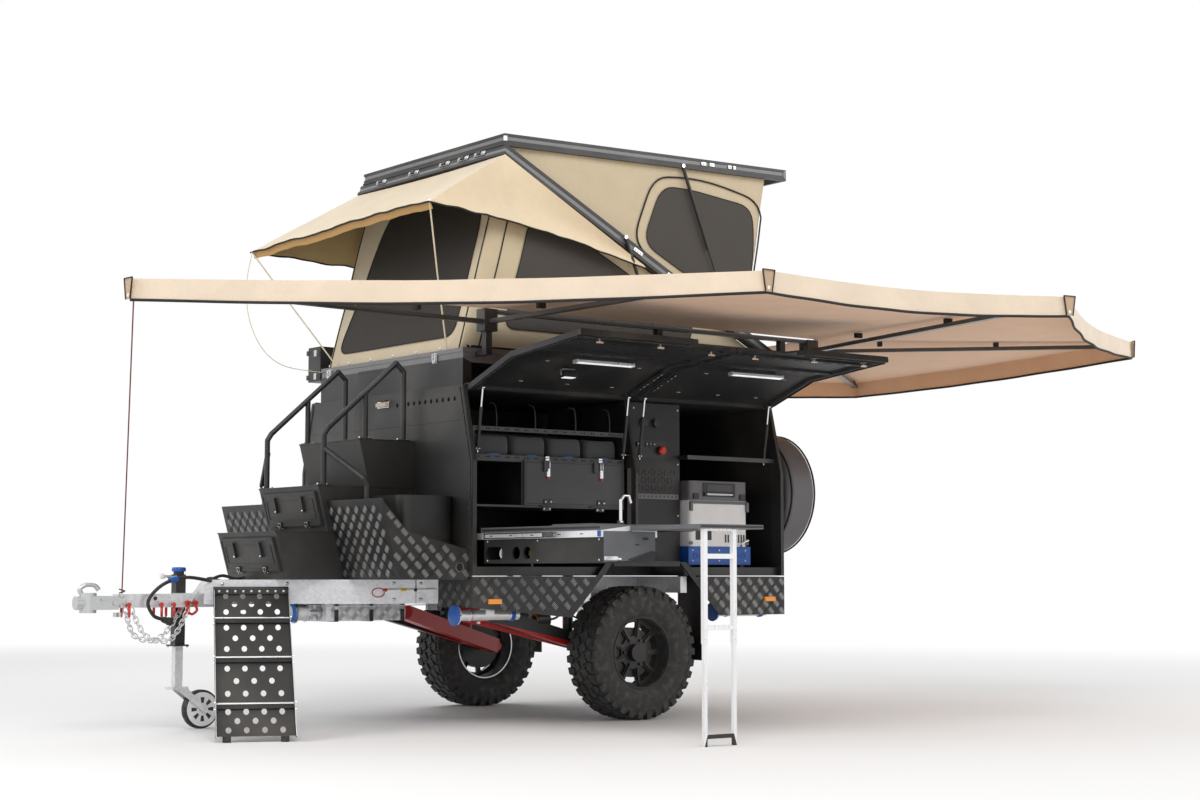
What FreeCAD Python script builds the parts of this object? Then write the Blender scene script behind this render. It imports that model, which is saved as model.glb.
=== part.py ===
import FreeCAD, Part
import math
import os

from FreeCAD import Matrix, Placement, Rotation, Vector

os.makedirs("parts", exist_ok=True)

# Off-road camper trailer with two gull-wing doors open, a kitchen pulled out,
# a fold-up roof tent and a fan awning.  Lengths are in millimetres, angles in
# degrees.  X runs forward to the coupling, Y to the kitchen side and Z up.
# The sizes below are read with the ground under the axle as zero, and every
# piece is then moved so that the coupling's pin bore is the origin.

# Wheels and axle
tyre_radius = 402.0
tyre_width = 265.0
tyre_inset = 10.0
tyre_shoulder_radius = 386.0
tyre_bead_radius = 218.8
lug_height = 11.0
lug_count = 24
lug_length_share = 0.34
lug_width_share = 0.48
tyre_edge_share = 0.055
tyre_bulge_share = 0.72
tyre_corner_share = 0.93
rim_lip_radius = 218.5
rim_wall = 8.0
rim_width = 216.0
rim_disc_depth = 95.0
rim_disc_thickness = 16.0
rim_spoke_count = 9
rim_spoke_width = 30.0
rim_window_inner_radius = 100.0
rim_window_outer_radius = 182.0
rim_window_corner = 11.0
rim_ridge_width = 15.0
rim_ridge_height = 15.0
rim_ridge_fall_share = 0.3
rim_ridge_start_radius = 95.0
stub_radius = 30.0
stub_clearance = 0.3
drum_radius = 150.0
drum_width = 60.0
hub_cap_radius = 52.0
hub_cap_length = 58.0
stud_circle = 82.0
stud_radius = 9.0
stud_count = 6

# Body
body_front_x = 1270.0
body_rear_x = -1143.0
body_half_width = 975.0
body_lean = 110.0
body_top_half_width = body_half_width - body_lean
tyre_outer_y = body_half_width - tyre_inset
sill_bottom_z = 867.0
kink_z = 1523.0
body_top_z = 1967.0
wall = 25.0
floor_thickness = 22.0
sill_height = 52.0
sill_depth = 45.0
post_width = 60.0
inner_wall_y = -350.0
inner_wall = 18.0
bay_split_x = 40.0
vent_radius = 13.0
vent_count = 11
vent_pitch = 62.0
vent_edge_y = 780.0
vent_z = 1890.0

# Doors
door_thickness = 32.0
door_skin = 12.0
door_rim = 42.0
door_top_rim = 24.0
door_gap = 4.0
door_split_gap = 8.0
door_bottom_z = 874.0
door_arch_gap = 14.0
door_arch_side_gap = 78.0
door_open_angle = 96.0
hinge_pin_radius = 6.0
hinge_knuckle_radius = 12.0
hinge_clearance = 0.3
roof_edge_inset = 41.0
roof_edge_y = body_top_half_width - roof_edge_inset
rib_width = 40.0
rib_height = 14.0
rib_slot_count = 9
rib_slot_length = 74.0
rib_slot_width = 14.0
door_rib_shares = (0.28, 0.72)
door_tab_shares = (0.14, 0.5, 0.86)
tab_width = 46.0
tab_length = 62.0
tab_thickness = 6.0
tab_drop = 7.0
door_lamp_length = 330.0
door_lamp_width = 46.0
door_lamp_height = 18.0
door_strut_foot_inset = 90.0
door_strut_foot_y = body_half_width - door_strut_foot_inset
door_strut_foot_z = 1600.0
door_strut_lever = 62.0
door_strut_inset = 60.0
strut_tube_radius = 10.0
strut_rod_radius = 5.0
strut_bore_clearance = 0.3
strut_tube_length = 240.0
strut_eye_radius = 9.0
strut_pin_radius = 4.0
strut_ear = 12.0

# Chassis and drawbar
coupling_pin_x = 3150.0
coupling_pin_z = 719.0
main_rail_inset = 495.0
main_rail_y = body_half_width - main_rail_inset
main_rail_width = 50.0
main_rail_top_z = 862.0
main_rail_depth = 100.0
cross_count = 4
draw_inset = 357.0
draw_nose_lap = 9.9
draw_start_x = 1270.0
draw_start_y = body_half_width - draw_inset
draw_back_x = 900.0
draw_width = 50.0
draw_top_z = 845.0
draw_bottom_z = 706.0
draw_nose_top_x = 2440.0
draw_nose_bottom_x = 2570.0
draw_slope = (draw_start_y + draw_nose_lap) / (draw_nose_bottom_x - draw_start_x)
draw_box_side = 76.0
draw_box_top_z = 767.0
draw_box_back_x = 2300.0
draw_box_front_x = 2990.0
coupling_bore_radius = 16.0
coupling_head_radius = 46.0
coupling_head_height = 110.0
coupling_nose_radius = 38.0
coupling_yoke_width = 96.0

# Jack
jack_x = 2565.0
jack_y = -92.0
jack_tube_side = 60.0
jack_inner_side = 46.0
jack_head_top_z = 905.0
jack_tube_bottom_z = 470.0
jack_inner_bottom_z = 234.0
jack_flange_side = 96.0
jack_flange_thickness = 8.0
jack_wheel_radius = 110.0
jack_wheel_width = 56.0
jack_wheel_bevel = 14.0
jack_wheel_back = 148.0
jack_axle_radius = 9.0
fork_thickness = 7.0
fork_gap = 6.0

# Suspension
arm_pivot_x = 900.0
hanger_post_share = 0.30
arm_pivot_z = 640.0
arm_body_inset = 335.0
arm_pivot_outer_y = body_half_width - arm_body_inset
arm_span = 310.0
arm_pivot_inner_y = arm_pivot_outer_y - arm_span
arm_height = 90.0
arm_width = 62.0
damper_radius = 32.0

# Side skirts and wheel openings
skirt_thickness = 8.0
skirt_top_z = 860.0
skirt_front_bottom_z = 686.0
skirt_rear_bottom_z = 622.0
arch_top_z = 950.0
arch_front_top_x = 250.0
arch_rear_top_x = -270.0
skirt_front_edge_x = 563.0
skirt_rear_edge_x = -595.0
skirt_trim = 26.0
arch_depth = 320.0
arch_inner_y = body_half_width - arch_depth
arch_sheet = 6.0
skirt_return_width = 353.0
skirt_return_y = body_half_width - skirt_return_width
mudflap_gap = 60.0
mudflap_width = 250.0
mudflap_bottom_z = 345.0
mudflap_thickness = 8.0
mudflap_x = -(tyre_radius + mudflap_gap + mudflap_thickness)

# Front steps
step_half_width = 350.0
step_sheet = 12.0
step_box_tops = (1119.0, 1387.0, 1666.0)
step_box_noses = (2190.0, 1920.0, 1648.0)
step_box_heels = (2112.0, 1845.0, 1574.0)
step_floor_z = 845.3
lid_margin = 34.0
lid_overlap = 14.0
lid_thickness = 14.0
lid_rib_shares = (0.45, 0.85)
lid_hinge_radius = 6.0
lid_hinge_length = 70.0
tray_front_top_x = 1862.0
tray_front_bottom_x = 1742.0
tray_side_inset = 35.0
tray_side_y = body_half_width - tray_side_inset
tray_step_gap = 0.3
tray_inner_y = step_half_width + tray_step_gap
tray_sheet = 6.0
tray_floor_z = 857.6
tray_guard_top_z = 1297.0
tray_knee_x = 1690.0
tray_knee_z = 1116.0
tray_rear_top_z = 1013.0
tray_case_front_x = 1640.0
tray_case_inset = 49.7
tray_case_inner_y = tray_inner_y + tray_case_inset
tray_case_outer_y = 800.0
tray_case_top_z = 1325.0
tray_case_corner = 70.0

# Handrails
handrail_radius = 16.0
handrail_inset = 15.0
handrail_y = step_half_width - handrail_inset
handrail_brace_inset = 375.0
handrail_brace_y = body_half_width - handrail_brace_inset
handrail_heel_x = 1337.0
handrail_heel_z = 2075.0
handrail_apex_x = 1390.0
handrail_apex_z = 2125.0
handrail_middle_x = 1600.0
handrail_middle_z = 1938.0
handrail_knee_x = 1850.0
handrail_knee_z = 1720.0
handrail_front_x = 1876.0
handrail_front_z = 1680.0
handrail_brace_top_x = 1872.0
handrail_brace_top_z = 1600.0
handrail_brace_bend_x = 1765.0
handrail_brace_bend_z = 1420.0
handrail_brace_foot_x = 1745.0
handrail_brace_foot_z = 1380.0
handrail_brace_sink = 60.0

# Entry step
entry_width = 420.0
entry_reach = 905.0
entry_rail_x = 2242.0
entry_side_height = 46.0
entry_sheet = 5.0
entry_riser_breaks = (790.0, 632.0, 424.0, 190.0, 26.0)
entry_hole_radius = 15.0
entry_hole_row_shares = (0.25, 0.52, 0.79)
entry_hole_row_counts = (4, 3, 4)
entry_hole_pitch_share = 0.45
entry_foot_share = 0.72
entry_bar_radius = 15.0
entry_foot_radius = 22.0

# Stabiliser legs
leg_radius = 30.0
leg_length = 430.0
leg_rear_share = 0.55
leg_pad_radius = 55.0
leg_pad_height = 14.0
leg_z = 640.0

# Under-frame tool box
tool_box_back_x = 1290.0
tool_box_front_x = 1830.0
tool_box_bottom_z = 606.0
tool_box_width = 300.0
winch_radius = 46.0
winch_flange_radius = 52.0
winch_flange = 9.0
winch_length = 104.0
winch_shaft_radius = 13.0
winch_shaft_length = 84.0
winch_y = 214.0

# Spare wheel
spare_radius = 392.0
spare_width = 235.0
spare_corner = 47.0
spare_z = 1400.0
spare_y = 610.0
spare_gap = 30.0
spare_boss_radius = 90.0

# Locker bay
locker_front_x = 1190.0
locker_back_x = 70.0
locker_face_inset = 125.0
locker_face_y = body_half_width - locker_face_inset
locker_depth = 530.0
locker_back_y = locker_face_y - locker_depth
locker_sheet = 12.0
locker_bottom_z = 1268.0
locker_top_z = 1545.0
cubby_back_x = 830.0
bag_top_z = 1690.0
bag_gap = 24.0
bag_count = 4
bag_depth = 300.0
bag_corner = 26.0
top_rail_z = 1735.0
perforated_height = 26.0
perforated_hole = 9.0
perforated_pair_count = 16
flap_thickness = 14.0

# Control panel column
column_front_x = 20.0
column_rear_x = -400.0
column_face_inset = 155.0
column_face_y = body_half_width - column_face_inset
column_bottom_z = 889.0
column_top_z = 1935.0
gauge_radius = 22.0
knob_radius = 26.0

# Kitchen slide
kitchen_front_x = 1200.0
kitchen_rear_x = 845.0
bench_rear_x = 575.0
bench_front_x = 1222.0
kitchen_door_gap = 10.0
kitchen_reach = 1100.0
kitchen_inner_y = body_half_width + kitchen_door_gap
kitchen_outer_y = kitchen_inner_y + kitchen_reach
kitchen_bottom_z = 937.0
kitchen_top_z = 1108.0
bench_top_z = 1138.0
leaf_front_x = 1025.0
leaf_reach = 575.0
leaf_outer_y = kitchen_outer_y + leaf_reach
kitchen_sheet = 12.0
kitchen_hole_radius = 36.0
kitchen_slot_run = 92.0
kitchen_hole_shares = (0.092, 0.285, 0.379)
kitchen_hole_height_share = 0.33
sink_back_share = 0.5
kitchen_travel = 1215.0
leaf_tail = 40.0
bench_skin = 5.0
bench_rim = 8.0
leaf_thickness = 22.0
runner_height = 36.0
runner_width = 14.0
runner_tail = 110.0
tap_x = 935.0
tap_inset = 185.0
tap_y = kitchen_outer_y - tap_inset
tap_height = 172.0
tap_radius = 9.0
tap_bend_share = 0.8
tap_curve_share = 0.3
tap_nose_share = 0.8
tap_mouth_share = 0.72
tap_reach = 70.0
tap_base_radius = 22.0
tap_base_height = 10.0
tap_pin_radius = 3.0
tap_ear = 5.0
sink_rim = 230.0
sink_height = 9.0
table_leg_half_span = 100.0
table_leg_centre_x = 870.0
table_leg_inset = 30.0
table_leg_y = leaf_outer_y - table_leg_inset
table_leg_side = 25.0
table_leg_inner_side = 20.0
table_leg_split_z = 520.0
table_leg_cap = 12.0
table_pin_radius = 5.0
table_rung_zs = (956.0, 590.0)
table_low_rung_z = 40.0

# Fridge
fridge_front_x = -425.0
fridge_rear_x = -905.0
fridge_face_inset = 85.0
fridge_depth = 490.0
fridge_outer_y = body_half_width - fridge_face_inset
fridge_inner_y = fridge_outer_y - fridge_depth
fridge_bottom_z = 1050.0
fridge_lid_z = 1338.0
fridge_top_z = 1460.0
fridge_corner = 25.0
fridge_tray_z = 935.0
shelf_bar_z = 1590.0
shelf_bar_inset = 63.0
shelf_bar_y = body_half_width - shelf_bar_inset

# Roof rails and tent
tent_front_x = 1235.0
tent_rear_x = -1395.0
tent_inset = 55.0
tent_half_width = body_top_half_width - tent_inset
tent_base_bottom_z = 2105.0
tent_base_top_z = 2190.0
tent_frame_lap = 20.0
tent_frame_half_width = tent_half_width + tent_frame_lap
tent_frame_depth = 66.0
tent_frame_width = 60.0
frame_corner_share = 0.42
tent_frame_angle = 27.0
tent_hinge_z = 2223.0
tent_roof_length = 2290.0
tent_roof_inset = 10.0
tent_roof_half_width = tent_half_width - tent_roof_inset
tent_roof_thickness = 74.0
tent_roof_skin = 18.0
tent_roof_angle = 28.5
tent_hinge_radius = 12.0
tent_barrel_radius = 31.0
tent_lug = 14.0
roof_barrel_radius = 8.0
tent_wall = 6.0
tent_wall_slip_share = 1.2
tent_wall_drop = 24.0
tent_tail_share = 1.5
tent_tuck_share = 0.4
tent_head_share = 1.4
tent_fabric_inset = 40.0
tent_fabric_half_width = tent_half_width - tent_fabric_inset
tent_gap = 0.3
channel_depth = 4.0
channel_share = 0.42
roof_bar_count = 4
roof_bar_width = 60.0
tent_rear_wall_x = -950.0

# Awning
awning_stand = 90.0
awning_y = tent_half_width + awning_stand
awning_reach = 2325.0
awning_front_x = 1128.0
awning_rear_x = -1450.0
awning_z = 2360.0
awning_rail_z = 2410.0
awning_arm_width = 42.0
awning_arm_height = 24.0
awning_tip_inset = 46.0
awning_cloth = 4.0
awning_cloth_lift = 6.6
awning_valance = 108.0
awning_bracket = 92.0
awning_bracket_height = 160.0
side_case_height = 225.0
side_case_width = 155.0
side_case_stand_share = 0.35
side_case_bottom_z = 2120.0
side_case_length = 1500.0

fly_reach = 720.0
fly_tuck = 11.3
fly_drop = 0.8
fly_lap = 8.0

# Lamps, shackle and chains
marker_length = 88.0
marker_front_share = 2.2
marker_height = 28.0
marker_depth = 14.0
tail_lamp_height = 100.0
tail_lamp_width = 160.0
tail_lamp_reach_share = 0.8
tail_lamp_depth = 30.0
chain_radius = 9.0

# Shares of a span, so they have no unit
fly_far_shares = (1.0, 0.1556, -0.6039)
fly_near_shares = (0.7542, 0.0167, -0.4692)
fly_rear_shares = (-1.4861, 0.0167, -0.8122)
awning_corner_shares = (
    (0.98581, 0.06022, 0.0), (-0.02581, 1.0, 0.0), (0.15484, 1.04817, 0.0172),
    (-0.73677, 0.55054, 0.0172), (-0.8172, -0.62366, -0.0086), (-0.0086, -0.98925, -0.0043),
)
panel_gauge_shares = ((0.30, 0.88), (0.52, 0.88))
panel_knob_share = (0.62, 0.72)
half_share = 0.5
flap_latch_shares = (0.3, 0.8)
fridge_hinge_shares = (0.2, 0.8)
chain_seat_share = 0.6
chain_sag_shares = (2.2, 4.6)


def box(x0, y0, z0, x1, y1, z1):
    lo = Vector(min(x0, x1), min(y0, y1), min(z0, z1))
    return Part.makeBox(abs(x1 - x0), abs(y1 - y0), abs(z1 - z0), lo)


def rod(start, end, radius):
    a = Vector(*start)
    d = Vector(*end) - a
    return Part.makeCylinder(radius, d.Length, a, d)


def ball(centre, radius):
    return Part.makeSphere(radius, Vector(*centre))


def join(shapes):
    shapes = list(shapes)
    out = shapes[0]
    if len(shapes) > 1:
        out = out.multiFuse(shapes[1:])
    return out.removeSplitter()


def cut(shape, tools):
    tools = list(tools)
    return shape.cut(Part.makeCompound(tools)) if tools else shape


def group(shapes):
    return Part.makeCompound(list(shapes))


def prism_xz(points, y0, y1):
    wire = Part.makePolygon([Vector(x, y0, z) for x, z in points + points[:1]])
    return Part.Face(wire).extrude(Vector(0, y1 - y0, 0))


def prism_yz(points, x0, x1):
    wire = Part.makePolygon([Vector(x0, y, z) for y, z in points + points[:1]])
    return Part.Face(wire).extrude(Vector(x1 - x0, 0, 0))


def prism_xy(points, z0, z1):
    wire = Part.makePolygon([Vector(x, y, z0) for x, y in points + points[:1]])
    return Part.Face(wire).extrude(Vector(0, 0, z1 - z0))


def pipe(points, radius):
    parts = [rod(a, b, radius) for a, b in zip(points, points[1:])]
    parts += [ball(p, radius) for p in points[1:-1]]
    return join(parts)


def beam(start, end, width, height):
    """Rectangular bar between two points, its height in the vertical plane."""
    a, b = Vector(*start), Vector(*end)
    d = b - a
    along = Vector(d.x, d.y, d.z).normalize()
    side = Vector(0, 0, 1).cross(along).normalize()
    up = along.cross(side)
    m = Matrix(along.x, side.x, up.x, a.x,
               along.y, side.y, up.y, a.y,
               along.z, side.z, up.z, a.z,
               0, 0, 0, 1)
    bar = Part.makeBox(d.Length, width, height, Vector(0, -width / 2, -height / 2))
    return bar.transformGeometry(m)


def mirrored(shape):
    return shape.mirror(Vector(0, 0, 0), Vector(0, 1, 0))


def both_sides(shape):
    return [shape, mirrored(shape)]


def turned(shape, centre, axis, angle):
    out = shape.copy()
    out.rotate(Vector(*centre), Vector(*axis), angle)
    return out


def sheet(points, triangles, thickness):
    """Closed thin solid from points and triangles, given thickness downward."""
    top = [Vector(*p) for p in points]
    low = [p - Vector(0, 0, thickness) for p in top]
    edges = {}
    faces = []
    for t in triangles:
        faces.append([top[i] for i in t])
        faces.append([low[i] for i in reversed(t)])
        for i, j in ((t[0], t[1]), (t[1], t[2]), (t[2], t[0])):
            edges[(i, j)] = edges.get((i, j), 0) + 1
    for i, j in list(edges):
        if (j, i) not in edges:
            faces.append([top[j], top[i], low[i]])
            faces.append([top[j], low[i], low[j]])
    made = [Part.Face(Part.makePolygon(f + f[:1])) for f in faces]
    solid = Part.Solid(Part.Shell(made))
    if solid.Volume < 0:
        solid.reverse()
    return solid


def round_edges(shape, radius, direction):
    """Round the edges that run along one axis."""
    axis = Vector(*direction)
    chosen = []
    for edge in shape.Edges:
        if len(edge.Vertexes) == 2:
            run = edge.Vertexes[1].Point - edge.Vertexes[0].Point
            if run.Length > 0 and abs(run.normalize().dot(axis)) > 0.999:
                chosen.append(edge)
    return shape.makeFillet(radius, chosen)



def turned_flats(profile, sides):
    """Ring about Y with that many flats, one under each lug; radii are to the flats."""
    grow = 1 / math.cos(math.pi / sides)
    rows = []
    for k in range(sides):
        a = 2 * math.pi * (k + half_share) / sides
        rows.append([Vector(r * grow * math.sin(a), y, r * grow * math.cos(a))
                     for r, y in profile])
    faces = []
    for k in range(sides):
        near, far = rows[k - 1], rows[k]
        for i in range(len(profile)):
            j = i - 1
            faces.append(Part.Face(Part.makePolygon([near[j], near[i], far[i], far[j], near[j]])))
    return Part.makeSolid(Part.makeShell(faces))


def tyre(centre_y, outward):
    outer = centre_y + outward * tyre_width / 2
    inner = centre_y - outward * tyre_width / 2
    lo, hi = min(outer, inner), max(outer, inner)
    crown = tyre_radius - lug_height
    side = tyre_width * tyre_edge_share
    profile = [
        (tyre_bead_radius, lo + side),
        (tyre_shoulder_radius * tyre_bulge_share, lo),
        (tyre_shoulder_radius * tyre_corner_share, lo + side),
        (crown, lo + side * 3),
        (crown, hi - side * 3),
        (tyre_shoulder_radius * tyre_corner_share, hi - side),
        (tyre_shoulder_radius * tyre_bulge_share, hi),
        (tyre_bead_radius, hi - side),
    ]
    body = turned_flats(profile, 2 * lug_count)
    lug_length = tyre_width * lug_length_share
    lug_width = 2 * math.pi * tyre_radius / lug_count * lug_width_share
    lug_top = math.sqrt(tyre_radius ** 2 - (lug_width / 2) ** 2)
    lugs = []
    for row, offset in ((lo + side, 0), (hi - side - lug_length, half_share)):
        for i in range(lug_count):
            lug = box(-lug_width / 2, row, crown - lug_height,
                      lug_width / 2, row + lug_length, lug_top)
            turn = (i + offset) * 360 / lug_count
            lugs.append(turned(lug, (0, 0, 0), (0, 1, 0), turn))
    out = join([body] + lugs)
    out.translate(Vector(0, 0, tyre_radius))
    return out


def rim(centre_y, outward):
    lo = centre_y - rim_width / 2
    gap = stub_clearance
    barrel = Part.makeCylinder(rim_lip_radius, rim_width, Vector(0, lo, 0), Vector(0, 1, 0))
    hollow = Part.makeCylinder(rim_lip_radius - rim_wall, rim_width, Vector(0, lo, 0),
                               Vector(0, 1, 0))
    barrel = barrel.cut(hollow)
    outer = centre_y + outward * rim_width / 2
    face = outer - outward * rim_disc_depth
    d0 = min(face, face + outward * rim_disc_thickness)
    disc = Part.makeCylinder(rim_lip_radius - rim_wall / 2, rim_disc_thickness,
                             Vector(0, d0, 0), Vector(0, 1, 0))
    windows = []
    ridges = []
    near, far = (math.pi * r / rim_spoke_count - rim_spoke_width / 2
                 for r in (rim_window_inner_radius, rim_window_outer_radius))
    front = face + outward * rim_disc_thickness
    crest = front + outward * rim_ridge_height
    end = front + outward * rim_ridge_height * rim_ridge_fall_share
    for i in range(rim_spoke_count):
        window = prism_xz([(rim_window_inner_radius, -near), (rim_window_outer_radius, -far),
                           (rim_window_outer_radius, far), (rim_window_inner_radius, near)],
                          d0 - rim_disc_thickness, d0 + 2 * rim_disc_thickness)
        window = round_edges(window, rim_window_corner, (0, 1, 0))
        windows.append(turned(window, (0, 0, 0), (0, 1, 0), 360 / rim_spoke_count * i))
        ridge = prism_xy([(rim_ridge_start_radius, front), (rim_ridge_start_radius, crest),
                          (rim_lip_radius - rim_wall, end), (rim_lip_radius - rim_wall, front)],
                         -rim_ridge_width / 2, rim_ridge_width / 2)
        turn = 360 / rim_spoke_count * (i + half_share)
        ridges.append(turned(ridge, (0, 0, 0), (0, 1, 0), turn))
    windows.append(Part.makeCylinder(stub_radius + gap, rim_disc_thickness * 4,
                                     Vector(0, d0 - rim_disc_thickness, 0), Vector(0, 1, 0)))
    disc = cut(disc, windows)
    c0 = min(face, face + outward * hub_cap_length)
    cap = Part.makeCylinder(hub_cap_radius, hub_cap_length, Vector(0, c0, 0), Vector(0, 1, 0))
    core_depth = hub_cap_length - rim_disc_thickness
    k0 = min(face, face + outward * core_depth)
    core = Part.makeCylinder(stub_radius + gap, core_depth, Vector(0, k0, 0), Vector(0, 1, 0))
    cap = cap.cut(core)
    studs = []
    for i in range(stud_count):
        a = math.radians(360 / stud_count * i)
        x, z = stud_circle * math.cos(a), stud_circle * math.sin(a)
        s0 = min(face, face + outward * rim_disc_thickness * 2)
        studs.append(Part.makeCylinder(stud_radius, rim_disc_thickness * 2,
                                       Vector(x, s0, z), Vector(0, 1, 0)))
    out = join([barrel, disc, cap] + studs + ridges)
    out.translate(Vector(0, 0, tyre_radius))
    return out


wheel_centre_y = tyre_outer_y - tyre_width / 2


def hub_side():
    """Stub axle and brake drum carried by the trailing arm, kitchen side."""
    outer = wheel_centre_y + rim_width / 2
    face = outer - rim_disc_depth
    reach = face + hub_cap_length - rim_disc_thickness - stub_clearance
    drum_outer = face - stub_clearance
    stub = rod((0, arm_pivot_outer_y - arm_width, tyre_radius), (0, reach, tyre_radius), stub_radius)
    drum = rod((0, drum_outer - drum_width, tyre_radius), (0, drum_outer, tyre_radius), drum_radius)
    return join([stub, drum])


def suspension_side():
    pivot = (arm_pivot_x, arm_pivot_z)
    outer = beam((arm_pivot_x, arm_pivot_outer_y - arm_width / 2, arm_pivot_z),
                 (0, arm_pivot_outer_y - arm_width / 2, tyre_radius), arm_width, arm_height)
    inner = beam((arm_pivot_x, arm_pivot_inner_y, arm_pivot_z),
                 (0, arm_pivot_outer_y - arm_width / 2, tyre_radius), arm_width, arm_height)
    bush = rod((pivot[0], arm_pivot_inner_y - arm_width / 2, pivot[1]),
               (pivot[0], arm_pivot_outer_y, pivot[1]), arm_height * half_share)
    hanger = box(pivot[0] - arm_width / 2, main_rail_y - main_rail_width / 2, pivot[1],
                 pivot[0] + arm_width / 2, main_rail_y + main_rail_width / 2,
                 main_rail_top_z - main_rail_depth)
    post_x = arm_pivot_x * hanger_post_share
    damper_y = arm_pivot_outer_y - arm_width - damper_radius
    damper = rod((post_x, damper_y, tyre_radius + arm_height),
                 (post_x, damper_y, sill_bottom_z), damper_radius)
    return join([outer, inner, bush, hanger, damper, hub_side()])



def rail_y(x):
    return draw_start_y - draw_slope * (x - draw_start_x)


def chassis_frame():
    parts = []
    low = main_rail_top_z - main_rail_depth
    for side in (1, -1):
        y = side * main_rail_y
        parts.append(box(body_rear_x, y - main_rail_width / 2, low,
                         body_front_x, y + main_rail_width / 2, main_rail_top_z))
    for i in range(cross_count):
        run = body_front_x - 2 * skirt_thickness - body_rear_x - main_rail_width
        x = body_rear_x + run * i / (cross_count - 1)
        edge = body_half_width - sill_depth
        parts.append(box(x, -edge, low, x + main_rail_width, edge, main_rail_top_z))
    for side in (1, -1):
        pts = []
        for x in (draw_back_x, draw_nose_bottom_x):
            pts.append((x, side * rail_y(x)))
        for x in (draw_nose_bottom_x, draw_back_x):
            pts.append((x, side * (rail_y(x) - draw_width)))
        rail = prism_xy(pts, draw_bottom_z, draw_top_z)
        nose = prism_xz([(draw_nose_top_x, draw_top_z + draw_width),
                         (draw_nose_top_x, draw_top_z),
                         (draw_nose_bottom_x, draw_bottom_z),
                         (draw_nose_bottom_x + draw_width, draw_bottom_z),
                         (draw_nose_bottom_x + draw_width, draw_top_z + draw_width)],
                        -draw_start_y, draw_start_y)
        parts.append(rail.cut(nose))
    half = draw_box_side / 2
    parts.append(box(draw_box_back_x, -half, draw_box_top_z - draw_box_side,
                     draw_box_front_x, half, draw_box_top_z))
    cross = box(draw_start_x + post_width, -rail_y(draw_start_x + post_width) + draw_width / 2,
                draw_bottom_z, draw_start_x + 2 * post_width,
                rail_y(draw_start_x + post_width) - draw_width / 2, draw_top_z)
    parts.append(cross)
    tool = box(tool_box_back_x, -tool_box_width / 2, tool_box_bottom_z,
               tool_box_front_x, tool_box_width, draw_bottom_z)
    parts.append(tool)
    z = (tool_box_bottom_z + draw_bottom_z) / 2
    x0 = tool_box_front_x
    x1 = x0 + winch_shaft_length
    x2 = x1 + winch_length
    parts += [rod((x0 - winch_flange, winch_y, z), (x2, winch_y, z), winch_shaft_radius),
              rod((x1, winch_y, z), (x2, winch_y, z), winch_radius),
              rod((x1, winch_y, z), (x1 + winch_flange, winch_y, z), winch_flange_radius),
              rod((x2 - winch_flange, winch_y, z), (x2, winch_y, z), winch_flange_radius)]
    return join(parts)


def tow_coupling():
    z = coupling_pin_z
    half = coupling_head_height / 2
    head = rod((coupling_pin_x, 0, z - half), (coupling_pin_x, 0, z + half), coupling_head_radius)
    nose = rod((coupling_pin_x, 0, z), (coupling_pin_x + 2 * coupling_nose_radius, 0, z),
               coupling_nose_radius)
    yoke = box(draw_box_front_x, -coupling_yoke_width / 2, z - coupling_nose_radius,
               coupling_pin_x, coupling_yoke_width / 2, z + coupling_nose_radius)
    bore = rod((coupling_pin_x, 0, z - 2 * half), (coupling_pin_x, 0, z + 2 * half),
               coupling_bore_radius)
    return join([head, nose, yoke]).cut(bore)


def jack_post():
    x, y = jack_x, jack_y
    s, t, f = jack_tube_side / 2, jack_inner_side / 2, jack_flange_side / 2
    tube = box(x - s, y - s, jack_tube_bottom_z, x + s, y + s, jack_head_top_z - s)
    cap = rod((x, y, jack_head_top_z - s), (x, y, jack_head_top_z), s)
    knob = rod((x, y, jack_head_top_z - 2 * s), (x + 2 * s, y, jack_head_top_z - 2 * s), s / 2)
    inner = box(x - t, y - t, jack_inner_bottom_z, x + t, y + t, jack_tube_bottom_z)
    flange = box(x - f, y - f, jack_tube_bottom_z, x + f, y + f,
                 jack_tube_bottom_z + jack_flange_thickness)
    plate = box(draw_nose_bottom_x + hinge_clearance, y, draw_box_top_z - draw_box_side,
                x + 2 * s, -draw_box_side / 2, draw_box_top_z)
    foot = box(x - f, y - f, jack_inner_bottom_z, x + f, y + f,
               jack_inner_bottom_z + jack_flange_thickness)
    return join([tube, cap, knob, inner, flange, plate, foot])


def jack_caster():
    x, y = jack_x, jack_y
    f = jack_flange_side / 2
    top = jack_inner_bottom_z - stub_clearance
    plate = box(x - f, y - f, top - jack_flange_thickness, x + f, y + f, top)
    wx, wz = x - jack_wheel_back, jack_wheel_radius
    half = jack_wheel_width / 2 + fork_gap
    cheeks = []
    for side in (1, -1):
        y0 = y + side * half
        cheek = prism_xz([(x + f * half_share, top), (x - f, top), (wx - 2 * jack_axle_radius, wz),
                          (wx, wz - 2 * jack_axle_radius), (wx + 2 * jack_axle_radius, wz)],
                         min(y0, y0 + side * fork_thickness), max(y0, y0 + side * fork_thickness))
        cheeks.append(cheek)
    axle = rod((wx, y - half - fork_thickness, wz), (wx, y + half + fork_thickness, wz),
               jack_axle_radius)
    return join([plate, axle] + cheeks)


def jack_wheel():
    wx, wz = jack_x - jack_wheel_back, jack_wheel_radius
    half = jack_wheel_width / 2
    tread = rod((wx, jack_y - half, wz), (wx, jack_y + half, wz), jack_wheel_radius)
    tread = tread.makeChamfer(jack_wheel_bevel, [e for e in tread.Edges
                                                 if e.Length > jack_wheel_radius])
    bore = rod((wx, jack_y - 2 * half, wz), (wx, jack_y + 2 * half, wz),
               jack_axle_radius + stub_clearance)
    return tread.cut(bore)


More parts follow.
